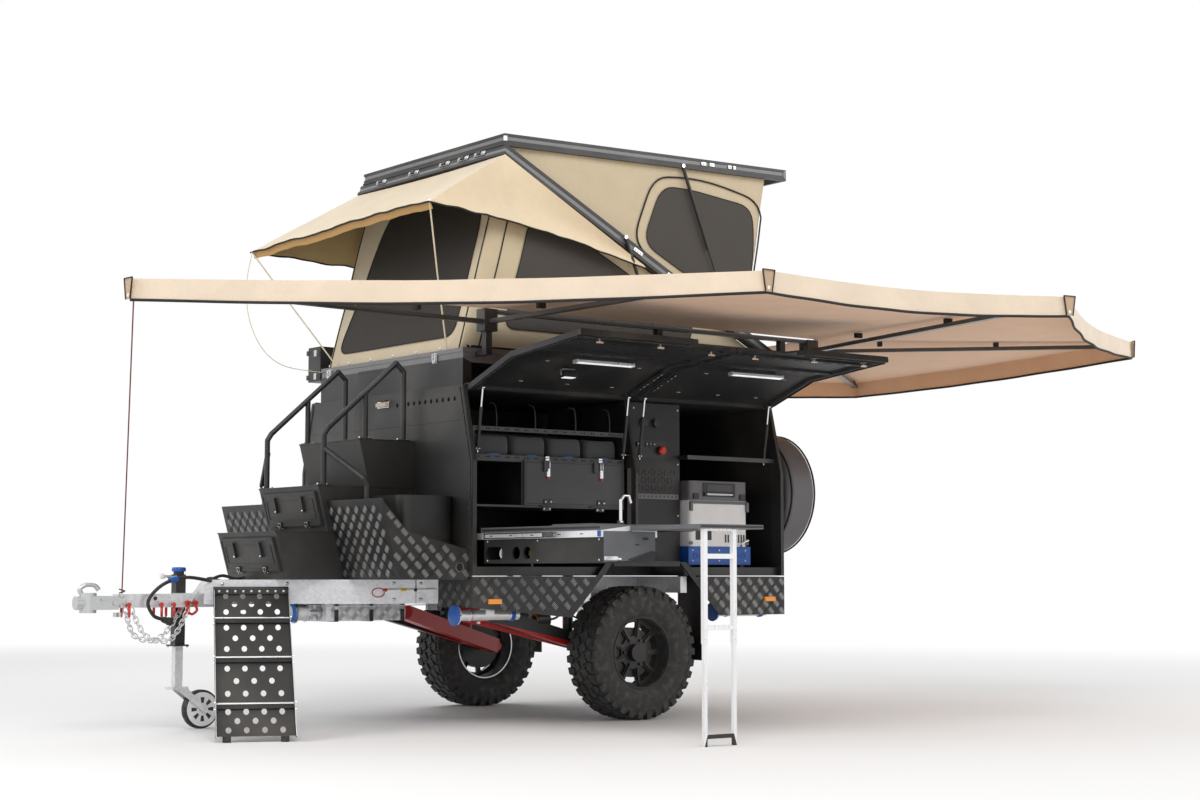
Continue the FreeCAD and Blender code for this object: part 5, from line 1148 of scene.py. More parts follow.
@dataclass
class Wrap:
    """Cloth wall that runs along one side, round an end and back along the other side."""

    name: str
    side_low: tuple[tuple[float, float], tuple[float, float]]
    side_high: tuple[tuple[float, float], tuple[float, float]]
    half: float = TentShape.cloth_y
    outward: int = 1
    long: float = 0.62

    def find(self, x: float, z: float) -> tuple[float, float]:
        """Shares along and up the side wall at a side-view point.

        Args:
            x: forward place.
            z: height.

        Returns:
            The share along and the share up.
        """
        (x0, z0), (x1, z1) = self.side_low
        (p0, q0), (p1, q1) = self.side_high
        v = 0.5
        t = 0.5
        for _ in range(60):
            t = (x - (1 - v) * x0 - v * p0) / ((1 - v) * (x1 - x0) + v * (p1 - p0))
            low, high = z0 + (z1 - z0) * t, q0 + (q1 - q0) * t
            v += 0.6 * ((z - low) / (high - low) - v)
        return min(max(t, 0.0), 1.0), min(max(v, 0.0), 1.0)

    def on_side(self, x: float, z: float, side: int, lift: float = 0.0) -> Vector:
        """Place on a side wall at a side-view point, lifted off the cloth.

        Args:
            x: forward place.
            z: height.
            side: 1 for the left wall, -1 for the right.
            lift: distance off the cloth.

        Returns:
            The place.
        """
        t, v = self.find(x, z)
        u = t * self.long / 2
        p = self.point(u if side > 0 else 1 - u, v)
        return p + Vector((0, side * lift, 0))

    def on_end(self, y: float, z: float, lift: float = 0.0) -> Vector:
        """Place on the end wall at a height, lifted off the cloth.

        Args:
            y: sideways place.
            z: height.
            lift: distance off the cloth.

        Returns:
            The place.
        """
        (x0, z0), (x1, z1) = self.side_low[1], self.side_high[1]
        v = min(max((z - z0) / (z1 - z0), 0.0), 1.0)
        u = 0.5 - 0.5 * (1 - self.long) * y / self.half
        out = Vector((z1 - z0, 0, x0 - x1)).normalized() * self.outward
        return self.point(u, v) + out * lift

    def point(self, u: float, v: float) -> Vector:
        """Place on the wall: u goes from the near side's open end to the far side's, v up.

        Args:
            u: share along the wall.
            v: share up the wall.

        Returns:
            The place.
        """
        (x0, z0), (x1, z1) = self.side_low
        (p0, q0), (p1, q1) = self.side_high
        s = abs(2 * u - 1)
        side = 1 if u < 0.5 else -1
        long, wide = self.long, 1 - self.long
        if s > wide:
            t = (1 - s) / long
            y = side * self.half
        else:
            t = 1.0
            y = side * self.half * (s / wide)
        low = Vector((x0 + (x1 - x0) * t, y, z0 + (z1 - z0) * t))
        high = Vector((p0 + (p1 - p0) * t, y, q0 + (q1 - q0) * t))
        p = lerp(low, high, v)
        fade = sin(pi * min(max(v, 0.0), 1.0)) ** 0.5 if 0 < v < 1 else 0.0
        wave = TentShape.slack(p.x, p.y, p.z) * fade
        if s > wide:
            p.y += side * wave
        else:
            p.x += wave
        return p


@dataclass
class Patch:
    """Flat cloth or mesh sewn on a wall, inside an outline."""

    outline: Sequence[tuple[float, float]]
    place: Callable[[float, float, float], Vector]
    corner: float = 0.09
    lift: float = 0.0065

    def ring(self) -> list[Vector]:
        """The outline with its corners rounded, in short steps.

        Returns:
            The outline's points.
        """
        bent = rounded([(a, b, 0) for a, b in self.outline], self.corner)
        dense: list[Vector] = []
        for a, b in around(bent):
            count = max(1, ceil((b - a).length / 0.04))
            dense += [lerp(a, b, k / count) for k in range(count)]
        return dense

    def fill(self, shape: Shape, steps: int = 16) -> None:
        """Adds a thin closed patch that follows the wall.

        Args:
            shape: the piece that takes the patch.
            steps: rings from the centre to the edge.
        """
        ring = self.ring()
        centre = sum(ring, Vector()) / len(ring)
        n = len(ring)
        for top, lift in ((True, self.lift), (False, self.lift - 0.002)):
            pts = [self.place(centre.x, centre.y, lift)]
            faces: list[Sequence[int]] = []
            for k in range(1, steps + 1):
                for q in ring:
                    m = lerp(centre, q, k / steps)
                    pts.append(self.place(m.x, m.y, lift))
            for i in range(n):
                j = (i + 1) % n
                faces.append((0, 1 + i, 1 + j))
                for k in range(steps - 1):
                    faces.append((1 + k * n + i, 1 + (k + 1) * n + i, 1 + (k + 1) * n + j, 1 + k * n + j))
            shape.put(pts, faces if top else [tuple(reversed(f)) for f in faces])

    def line(self, shape: Shape, radius: float, grow: float = 0.0, closed: bool = True) -> None:
        """Adds piping round the outline, grown from its centre.

        Args:
            shape: the piece that takes the piping.
            radius: the piping's radius.
            grow: distance outside the outline.
            closed: whether it goes all round.
        """
        ring = self.ring()
        centre = sum(ring, Vector()) / len(ring)
        pts = []
        for q in ring:
            m = q + (q - centre).normalized() * grow
            pts.append(self.place(m.x, m.y, self.lift))
        dense: list[Vector] = []
        for a, b in zip(pts, pts[1:] + pts[:1] if closed else pts[1:]):
            count = max(1, int((b - a).length / 0.05))
            dense += [lerp(a, b, k / count) for k in range(count)]
        shape.tube(dense, radius, 8, closed=closed)


@dataclass
class Tent:
    """Cloth of the roof tent: lower and upper walls, windows, doorway, fly and its poles."""

    base_z: float = 2.186
    front_low: float = 1.2097
    rear_low: float = -1.245
    doorway: tuple[tuple[float, float], ...] = ((-0.665, 2.272), (0.65, 2.272), (0.655, 3.0), (0.56, 3.2),
        (-0.345, 3.2), (-0.44, 3.1))
    low_window: tuple[tuple[float, float], ...] = ((0.915, 2.33), (0.735, 2.975), (0.64, 3.06),
        (-0.56, 2.48), (-0.52, 2.33))
    high_window: tuple[tuple[float, float], ...] = ((-0.14, 2.95), (-0.3, 3.325), (-0.52, 3.33),
        (-1.06, 3.275), (-1.085, 3.06), (-1.03, 2.6), (-0.94, 2.56))
    studs: int = 7
    pole_foot: tuple[float, float, float] = (1.228, 0.63, 2.196)

    def fold_low(self, made: bpy.types.Object) -> bpy.types.Object:
        """Gives a piece its own copy of its mesh."""
        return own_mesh(made)

    def fold_high(self, made: bpy.types.Object) -> bpy.types.Object:
        """Gives a piece its own copy of its mesh; a line under the roof is worked out but not used.

        Args:
            made: the piece.

        Returns:
            The same piece.
        """
        a, b = TentShape.on_roof(1.16, 2.2936), TentShape.on_roof(-0.905, 2.2936)
        down = Vector((b[1] - a[1], 0, a[0] - b[0])).normalized()
        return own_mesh(made)

    def fold_fly(self, made: bpy.types.Object) -> bpy.types.Object:
        """Gives a piece of the fly its own copy of its mesh; a point on the frame is worked out but not used.

        Args:
            made: the piece.

        Returns:
            The same piece.
        """
        x, z = TentShape.on_frame(1.235, 2.232)
        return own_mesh(made)

    def weave(self, made: bpy.types.Object, axes: tuple[int, int]) -> None:
        """Gives a patch a weave map in metres from two of its axes.

        Args:
            made: the patch.
            axes: the two axes by number.
        """
        layer = made.data.uv_layers.new(name="weave")
        for loop in made.data.loops:
            p = made.data.vertices[loop.vertex_index].co
            layer.data[loop.index].uv = (p[axes[0]], p[axes[1]])

    def lower(self) -> None:
        """Builds the lower walls, the doorway, the side windows and their trim."""
        shape = TentShape
        wall = Wrap("tent_lower_walls", ((self.rear_low, self.base_z), (self.front_low, self.base_z)),
            (shape.on_frame(self.rear_low, 2.1903), shape.on_frame(1.169, 2.1903)), half=0.764)
        cloth = Cloth(wall.name, wall.point, 150, 46, CANVAS, CANVAS_INNER_PAINTED_SHADE, outward=-1)
        made = cloth.build()
        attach(made, "chassis")
        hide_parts("tent_lower_fabric")
        self.fold_low(made)
        trim: list[bpy.types.Object] = []
        doorway = Patch(self.doorway, lambda y, z, lift: wall.on_end(y, z, lift), 0.1)
        net = Shape("tent_doorway_mesh", DOOR_MESH_PAINTED_SHADE)
        doorway.fill(net)
        screen = net.build("chassis")
        self.weave(screen, (1, 2))
        piping = Shape("tent_lower_piping", HEM)
        doorway.line(piping, 0.004)
        sides = Shape("tent_lower_window_mesh", MESH)
        for side in (1, -1):
            window = Patch(self.low_window, lambda x, z, lift, side=side: wall.on_side(x, z, side, lift),
                0.08)
            window.fill(sides)
            window.line(piping, 0.0035)
            seam = [wall.on_side(1.203 - 0.271 * k / 20, 2.192 + 1.02 * k / 20, side, 0.003)
                - Vector((0.105, 0, 0)) for k in range(21)]
            piping.tube([wall.on_side(p.x, p.z, side, 0.003) for p in seam], 0.0045, 8)
            piping.tube([wall.on_end(side * 0.735, 2.19 + 1.05 * k / 20, 0.003) for k in range(21)], 0.0045,
                8)
            for k in range(20):
                a, b = (wall.on_side(-1.15 + 2.33 * j / 20, 2.205, side, 0.004) for j in (k, k + 1))
                piping.bar(a, b, 0.004, 0.012)
        mesh = sides.build("chassis")
        self.weave(mesh, (0, 2))
        trim += [screen, mesh, piping.build("chassis")]
        dots = Repeat(Unit.DOME, STUD, 0.018, 0.018, 0.012)
        for k in range(self.studs):
            dots.add(wall.on_end(-0.81 * 0.95 + 1.56 * k / (self.studs - 1), 2.206, 0.004), (1, 0, 0.25),
                (0, 1, 0))
        for side in (1, -1):
            for k in range(8):
                dots.add(wall.on_side(-0.9 + 0.28 * k, 2.206, side, 0.004), (0, side, 0), (1, 0, 0))
        trim.append(dots.bake("tent_press_studs", "chassis"))
        for piece in trim:
            self.fold_low(piece)
        cloth.area()

    def upper(self) -> None:
        """Builds the upper walls, their windows and piping."""
        shape = TentShape
        wall = Wrap("tent_upper_walls", (shape.on_frame(1.151, 2.2323), shape.on_frame(-0.95, 2.2323)),
            (shape.on_roof(1.16, 2.2936), shape.on_roof(-0.905, 2.2936)), outward=-1)
        cloth = Cloth(wall.name, wall.point, 150, 46, CANVAS, CANVAS_INNER_PAINTED_SHADE)
        made = cloth.build()
        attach(made, "roof_lid")
        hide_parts("tent_upper_fabric")
        self.fold_high(made)
        mesh = Shape("tent_upper_window_mesh", MESH)
        piping = Shape("tent_upper_piping", HEM)
        for side in (1, -1):
            window = Patch(self.high_window, lambda x, z, lift, side=side: wall.on_side(x, z, side, lift),
                0.12)
            window.fill(mesh)
            window.line(piping, 0.0055, grow=0.08)
            window.line(piping, 0.003)
        rear = Patch(((-0.48, 2.66), (0.48, 2.66), (0.48, 3.22), (-0.48, 3.22)),
            lambda y, z, lift: wall.on_end(y, z, lift), 0.12)
        back = Shape("tent_rear_window_mesh", MESH)
        rear.fill(back)
        rear.line(piping, 0.0055, grow=0.06)
        side_mesh, rear_mesh = mesh.build("roof_lid"), back.build("roof_lid")
        self.weave(side_mesh, (0, 2))
        self.weave(rear_mesh, (1, 2))
        trim = [side_mesh, rear_mesh, piping.build("roof_lid")]
        for piece in trim:
            self.fold_high(piece)
        cloth.area()

    def fly(self) -> None:
        """Builds the fly over the front doorway, with its side panels, hem and poles."""
        head, low_far, low_near, rear = (0.96, 0.838, 3.3548), (1.68, -0.95, 2.92), (1.503, 0.85,
            3.017), (-0.11, 0.85, 2.77)
        top = [(-0.095, 0.845, 2.79), head, (head[0], -head[1], head[2]), (-0.095, -0.845, 2.79)]
        low = [rear, low_near, low_far, (rear[0], -rear[1], rear[2])]

        def rule(u: float, v: float) -> Vector:
            """Place on the fly: u from the near side's tail to the far side's, v from frame to hem.

            Args:
                u: share along the fly.
                v: share from the frame to the hem.

            Returns:
                The place.
            """
            t = u * 3
            i = min(int(t), 2)
            f = t - i
            a = lerp(Vector(top[i]), Vector(top[i + 1]), f)
            b = lerp(Vector(low[i]), Vector(low[i + 1]), f)
            p = lerp(a, b, v)
            sweep = sin(pi * f)
            if i == 1:
                p.z -= 0.05 * sweep * sin(pi * min(v, 1)) + 0.012 * sweep
                p.x -= 0.07 * sweep * v
                p.z += 0.045 * sweep * v
            else:
                p.y -= copysign(0.035, p.y) * sin(pi * v) * sweep
                p.z += 0.03 * sweep * v
            crease = 0.01 * noise.noise(Vector((u * 46, v * 1.3, 3.0))) * v
            return p + Vector((0, 0, TentShape.slack(p.x, p.y, p.z, 0.008) * v + crease))

        cloth = Cloth("tent_fly_sheet", rule, 150, 40, FLY, FLY_UNDER_PAINTED_SHADE, outward=1)
        made = cloth.build()
        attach(made, "middle_frame")
        self.fold_fly(made)
        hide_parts("tent_fly")
        hem = Shape("tent_fly_hem", HEM, FLY_TURN_PAINTED_SHADE)
        hem.tube([rule(i / 120, 1.0) for i in range(121)], 0.0055, 8)
        # The turned edge under the hem takes the underside's painted shade.
        hem.use(1)
        for i in range(40, 80):
            a, b = rule(i / 120, 0.985), rule((i + 1) / 120, 0.985)
            down = Vector((-0.02, 0, -0.045))
            hem.put([a, b, b + down, a + down, a + Vector((0.002, 0, 0)), b + Vector((0.002, 0, 0)),
                b + down + Vector((0.002, 0, 0)), a + down + Vector((0.002, 0, 0))],
                [(0, 1, 2, 3), (7, 6, 5, 4), (0, 4, 5, 1), (1, 5, 6, 2), (2, 6, 7, 3), (3, 7, 4, 0)])
        band = self.fold_fly(hem.build("middle_frame"))
        poles = Shape("tent_fly_poles", POLE, STUD)
        for side in (1, -1):
            tip = Vector(low[1] if side > 0 else low[2]) - Vector((0.01, side * 0.01, 0.004))
            foot = Vector(self.pole_foot)
            foot.y *= side
            poles.use(0).tube([tip, lerp(tip, foot, 0.5) + Vector((0.004, 0, 0)), foot], 0.0048, 8)
            poles.use(1).lathe([(0, 0), (0.012, 0.002), (0.009, 0.014), (0, 0.018)],
                tip - Vector((0, 0, 0.002)), (0, 0, 1), 12)
        stand = poles.build("chassis")
        self.fold_low(stand)
        cloth.area()

    def build(self) -> None:
        """Builds all the tent's cloth."""
        self.lower()
        self.upper()
        self.fly()


@dataclass
class TentHardware:
    """Gas struts, hinge plates, latches and corner caps of the tent's frames."""

    plates: tuple[float, ...] = (-0.56, -0.176, 0.176, 0.382, 0.56)

    def struts(self) -> None:
        """Builds the roof's struts and the middle frame's struts."""
        tent = Tent()
        roof = Shape("tent_roof_struts", BLACK, CHROME)
        base = Shape("tent_frame_struts", BLACK, CHROME)
        for side in (1, -1):
            y = side * 0.795
            top, mid, foot = Vector((-0.455, y, 3.47)), Vector((-0.671, y, 2.949)), Vector((-0.842, y, 2.535))
            roof.use(0).rod(top, mid, 0.011, sides=16)
            roof.rod(mid, foot, 0.005, sides=12)
            roof.use(1).rod(top - Vector((0, 0.012, 0)), top + Vector((0, 0.012, 0)), 0.012, sides=14)
            y = side * 0.842
            top, foot = Vector((0.05, y, 2.952)), Vector((-0.3, y * 0.955, 2.2))
            base.use(0).rod(top, lerp(top, foot, 0.58), 0.011, sides=16)
            base.rod(lerp(top, foot, 0.58), foot, 0.005, sides=12)
            base.use(1).rod(top - Vector((0, 0.01, 0)), top + Vector((0, 0.01, 0)), 0.012, sides=14)
        tent.fold_high(roof.build("roof_lid"))
        tent.fold_low(base.build("chassis"))

    def plates_and_latches(self) -> None:
        """Builds the plates on the frame's front, side latches and the roof's corner caps."""
        def opened(p: Vector) -> Vector:
            """Open place of a point of the closed frame."""
            x, z = TentShape.on_frame(p.x, p.z)
            return Vector((x, p.y, z))

        def lifted(p: Vector) -> Vector:
            """Open place of a point of the closed roof."""
            x, z = TentShape.on_roof(p.x, p.z)
            return Vector((x, p.y, z))

        front = Shape("tent_frame_plates", STEEL, BLACK_PLASTIC)
        front.move = opened
        for y in self.plates:
            front.use(0).box((1.235, y - 0.055, 2.224), (1.241, y + 0.055, 2.252))
            front.box((1.241, y - 0.048, 2.229), (1.247, y - 0.02, 2.247))
            front.box((1.241, y + 0.02, 2.229), (1.247, y + 0.048, 2.247))
            front.use(1).box((1.239, y - 0.018, 2.226), (1.252, y + 0.018, 2.25))
        for side in (1, -1):
            front.use(0)
            y = side * 0.83
            front.box((0.06, y, 2.212), (0.135, y + side * 0.005, 2.236))
            for k in range(3):
                x = 0.075 + 0.022 * k
                front.rod((x, y + side * 0.005, 2.224), (x, y + side * 0.01, 2.224), 0.006, sides=8)
            front.box((-0.245, y, 2.206), (-0.165, y + side * 0.006, 2.24))
            front.rod((-0.235, y + side * 0.014, 2.214), (-0.175, y + side * 0.014, 2.214), 0.0045, sides=8)
            front.rod((-0.235, y + side * 0.014, 2.232), (-0.175, y + side * 0.014, 2.232), 0.0045, sides=8)
            front.rod((-0.235, y + side * 0.014, 2.21), (-0.235, y + side * 0.014, 2.236), 0.0045, sides=8)
        front.build("middle_frame", bevel=0.0012)
        lid = Shape("tent_roof_fittings", STEEL, WHITE)
        lid.move = lifted
        for side in (1, -1):
            y = side * 0.8
            for x in (-0.4, -0.33, -0.56, -0.585):
                lid.use(0).box((x - 0.02, y, 2.29), (x + 0.02, y + side * 0.004, 2.312))
                lid.rod((x, y + side * 0.004, 2.301), (x, y + side * 0.01, 2.301), 0.006, sides=8)
            lid.use(1).box((1.218, y - side * 0.012, 2.286), (1.236, y + side * 0.004, 2.316))
        lid.build("roof_lid", bevel=0.001)
        base = Shape("tent_base_fittings", STEEL, BLACK_PLASTIC)
        base.use(1).box((1.2345, -0.35, 2.12), (1.2375, 0.09, 2.135))
        base.use(0)
        for y in (0.52, -0.7):
            base.box((1.235, y - 0.022, 2.116), (1.24, y + 0.022, 2.178))
            base.rod((1.246, y - 0.014, 2.17), (1.246, y - 0.014, 2.124), 0.004, sides=8)
            base.rod((1.246, y + 0.014, 2.17), (1.246, y + 0.014, 2.124), 0.004, sides=8)
            base.rod((1.246, y - 0.018, 2.17), (1.246, y + 0.018, 2.17), 0.004, sides=8)
            base.box((1.238, y - 0.012, 2.118), (1.25, y + 0.012, 2.134))
        base.build("chassis", bevel=0.001)

    def build(self) -> None:
        """Builds the tent's hardware."""
        self.struts()
        self.plates_and_latches()


@dataclass
class FanAwning:
    """Awning that fans round the kitchen side and the back on six arms."""

    front_hub: tuple[float, float, float] = (1.128, 0.9, 2.4166)
    rear_hub: tuple[float, float, float] = (-1.45, 0.9, 2.4166)
    tips: tuple[tuple[float, float, float], ...] = ((3.42, 1.04, 2.366), (1.068, 3.225, 2.366),
        (-1.09, 3.337, 2.406), (-3.163, 2.18, 2.406), (-3.35, -0.55, 2.346), (-1.47, -1.4, 2.356))
    panels: int = 5
    sag: float = 0.055
    drop: float = 0.108

    def edge(self, u: float) -> Vector:
        """Outer edge, u from the first tip to the last.

        Args:
            u: share along the edge.

        Returns:
            The place.
        """
        t = u * self.panels
        i = min(int(t), self.panels - 1)
        f = t - i
        p = lerp(Vector(self.tips[i]), Vector(self.tips[i + 1]), f)
        hub = self.hub(u)
        return p + (hub - p) * 0.035 * sin(pi * f) - Vector((0, 0, 0.02 * sin(pi * f)))

    def hub(self, u: float) -> Vector:
        """Inner edge along the rail.

        Args:
            u: share along the edge.

        Returns:
            The place.
        """
        a, b = Vector(self.front_hub), Vector(self.rear_hub)
        t = min(max(u * self.panels - 1, 0), 1)
        return lerp(a, b, t)

    def top(self, u: float, v: float) -> Vector:
        """Place on the roof cloth, v from the rail to the edge.

        Args:
            u: share along the edge.
            v: share from the rail to the edge.

        Returns:
            The place.
        """
        hub, out = self.hub(u), self.edge(u)
        v = 0.02 + 0.98 * v
        p = lerp(hub, out, v)
        f = (u * self.panels) % 1.0
        p.z -= self.sag * sin(pi * f) * sin(pi * v) * v
        return p + Vector((0, 0, 0.004 * noise.noise(Vector((p.x * 2, p.y * 2, 0))) * sin(pi * f)))

    def skirt(self, u: float, v: float) -> Vector:
        """Place on the hanging valance.

        Args:
            u: share along the edge.
            v: share down the valance.

        Returns:
            The place.
        """
        p = self.edge(u)
        hub = self.hub(u)
        out = Vector((p.x - hub.x, p.y - hub.y, 0)).normalized()
        wave = 0.006 * sin(u * self.panels * 9 * pi) * v
        return p + out * wave - Vector((0, 0, self.drop * v + 0.01 * v * sin(pi * ((u * self.panels) % 1.0))))

    def build(self) -> None:
        """Builds the roof cloth, the valance and its hem."""
        roof = Cloth("awning_roof_cloth", self.top, 200, 40, AWNING_TOP, AWNING_UNDER_PAINTED_LIGHT, outward=-1)
        made = roof.build()
        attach(made, "chassis")
        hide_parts("awning_canopy")
        valance = Cloth("awning_valance", self.skirt, 400, 6, AWNING_TOP, AWNING_UNDER_PAINTED_LIGHT, outward=-1).build()
        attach(valance, "chassis")
        hem = Shape("awning_hem", HEM)
        hem.tube([self.skirt(i / 400, 1.0) for i in range(401)], 0.0075, 8)
        band = hem.build("chassis")
        roof.area()


@dataclass
class Tyres:
    """Mud-terrain tyres on the two road wheels."""

    radius: float = 0.402
    width: float = 0.265
    centre_y: float = 0.8325
    rim: float = 0.2185
    blocks: int = 34

    def build(self) -> None:
        """Builds each tyre's carcass and its tread and shoulder blocks."""
        r, half = self.radius, self.width / 2
        profile = [(self.rim - 0.012, -half * 0.74), (self.rim + 0.004, -half * 0.8),
            (self.rim + 0.012, -half * 0.86), (self.rim + 0.045, -half * 0.97), (r - 0.1, -half),
            (r - 0.06, -half * 0.985), (r - 0.032, -half * 0.95), (r - 0.018, -half * 0.88),
            (r - 0.013, -half * 0.6), (r - 0.012, 0.0)]
        profile = profile + [(p[0], -p[1]) for p in reversed(profile[:-1])]
        for side, name in ((1, "left"), (-1, "right")):
            cy = side * self.centre_y
            body = "wheel_" + name
            rubber = Rubber(f"tyre_rubber_{name}", TYRE.colour, TYRE.roughness,
                centre=(-3.15, cy, 0.402 - 0.719))
            tyre = Shape(f"tyre_{name}_carcass", rubber)
            loop = profile + [(self.rim - 0.012, -half * 0.74)]
            tyre.lathe(loop, (0, cy, 0.402), (0, 1, 0), 96)
            made = tyre.build(body, angle=50)
            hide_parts("tyre_" + name)
            for kind, (y, long, wide, tall, drop, step, tilt) in enumerate((
                (0.034, 0.05, 0.046, 0.014, 0.007, 0.0, 24), (-0.034, 0.05, 0.046, 0.014, 0.007, 0.5, 24),
                (0.088, 0.046, 0.044, 0.016, 0.008, 0.5, -12), (-0.088, 0.046, 0.044, 0.016, 0.008, 0.0, -12),
                (0.1235, 0.04, 0.018, 0.044, 0.03, 0.5, 0), (-0.1235, 0.04, 0.018, 0.044, 0.03, 0.0, 0),
            )):
                rows = Repeat(Unit.BLOCK, rubber, long, wide, tall)
                for i in range(self.blocks):
                    a = 2 * pi * (i + step) / self.blocks
                    up = Vector((sin(a), 0, cos(a)))
                    round_ = Vector((cos(a), 0, -sin(a)))
                    along = Matrix.Rotation(radians(tilt), 3, up) @ round_
                    rows.add(Vector((0, cy + y, 0.402)) + up * (r - drop), up, along)
                rows.bake(f"tyre_{name}_tread_{kind}", body)


@dataclass
class StorageBags:
    """Four soft bags in the open shelf over the locker."""

    x: tuple[float, float] = (0.094, 1.166)
    y: tuple[float, float] = (0.526, 0.826)
    z: tuple[float, float] = (1.545, 1.69)
    count: int = 4
    gap: float = 0.012

    def build(self) -> None:
        """Builds the bags, one closed sagging shell each."""
        pitch = (self.x[1] - self.x[0]) / self.count
        for n in range(self.count):
            x0 = self.x[0] + n * pitch + self.gap
            x1 = self.x[0] + (n + 1) * pitch - self.gap
            bag = Shape(f"storage_bag_{n + 1}", BAG_CLOTH)
            pts: list[Vector] = []
            rows = 14
            per = 48
            cx, cy = (x0 + x1) / 2, (self.y[0] + self.y[1]) / 2
            for j in range(rows + 1):
                t = j / rows
                z = self.z[0] + (self.z[1] - self.z[0]) * (1 - cos(pi * t)) / 2
                swell = sin(pi * t) ** 0.28 if 0 < t < 1 else 0.72
                swell = 0.72 + 0.28 * swell if 0 < t < 1 else 0.72
                for k in range(per):
                    a = 2 * pi * k / per
                    c, s = cos(a), sin(a)
                    q = 0.22
                    px = copysign(abs(c) ** q, c) * (x1 - x0) / 2 * swell
                    py = copysign(abs(s) ** q, s) * (self.y[1] - self.y[0]) / 2 * swell
                    p = Vector((cx + px, cy + py, z))
                    p.z -= 0.012 * t * (1 - abs(c) ** 2) * (0.6
                        + 0.4 * noise.noise(Vector((p.x * 9, p.y * 9, n))))
                    pts.append(p)
            faces: list[Sequence[int]] = []
            for j in range(rows):
                for k in range(per):
                    k2 = (k + 1) % per
                    faces.append((j * per + k, j * per + k2, (j + 1) * per + k2, (j + 1) * per + k))
            faces += [tuple(reversed(range(per))), tuple(range(rows * per, (rows + 1) * per))]
            bag.put(pts, faces)
            made = bag.build("chassis", angle=70)
            uv = made.data.uv_layers.new(name="weave")
            for loop in made.data.loops:
                p = made.data.vertices[loop.vertex_index].co
                uv.data[loop.index].uv = (p.x + p.y, p.z)
            if n == 0:
                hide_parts("storage_bags")
            grip = Shape(f"storage_bag_grip_{n + 1}", BLUE_STRAP)
            y = self.y[1] + 0.004
            line = [(cx - 0.055, y, 1.56), (cx - 0.05, y + 0.006, 1.568), (cx, y + 0.014, 1.575),
                (cx + 0.05, y + 0.006, 1.568), (cx + 0.055, y, 1.56)]
            for a, b in zip(wander(line, 4), wander(line, 4)[1:]):
                grip.bar(a, b, 0.006, 0.018, (0, 1, 0))
            grip.build("chassis")


@dataclass
class DoorLamps:
    """LED bars and lamp rims inside the gull-wing doors."""

    turn: float = 96.0
    edge: tuple[float, float] = (0.865, 1.967)
    spans: tuple[tuple[float, float], ...] = ((0.044, 1.241), (-1.114, 0.036))

    def place(self, side: int, opened: bool) -> Callable[[Vector], Vector]:
        """Rule that moves a point of a closed door to where the door rests.

        Args:
            side: 1 for the left doors, -1 for the right.
            opened: whether the door rests open.

        Returns:
            The rule.
        """
        pivot = (0, side * self.edge[0], self.edge[1])
        angle = side * self.turn if opened else 0.0
        return lambda p: turn(p, pivot, (1, 0, 0), angle)

    def build(self) -> None:
        """Builds a lit diffuser for each lamp housing."""
        for side, name in ((1, "left"), (-1, "right")):
            for (x0, x1), end in zip(self.spans, ("front", "rear")):
                cx = (x0 + x1) / 2
                lamp = Shape(f"{end}_{name}_door_lamp", LED, ALLOY)
                lamp.move = self.place(side, side > 0)
                inner = side * (0.975 - 0.032 - 0.0185)
                lamp.box((cx - 0.205, inner, 1.422), (cx + 0.205, inner - side * 0.006, 1.454))
                lamp.use(1)
                for x0, x1 in ((cx - 0.212, cx - 0.203), (cx + 0.203, cx + 0.212)):
                    lamp.box((x0, inner + side * 0.014, 1.417), (x1, inner - side * 0.008, 1.461))
                for z in (1.418, 1.456):
                    lamp.box((cx - 0.205, inner + side * 0.012, z),
                        (cx + 0.205, inner - side * 0.005, z + 0.004))
                lamp.build(f"{end}_{name}_door", bevel=0.002)


def fold_point(x: float, y: float, z: float) -> Vector:
    """Place on the entry flight: along its hinge, out from it, and up.

    Args:
        x: distance along the hinge.
        y: distance out from the hinge.
        z: height.

    Returns:
        The place.
    """
    a = atan(0.483)
    origin = Vector((2.242, rail_y(2.242) + 0.02, 0.0))
    return origin + Vector((x * cos(a) + y * sin(a), y * cos(a) - x * sin(a), z))


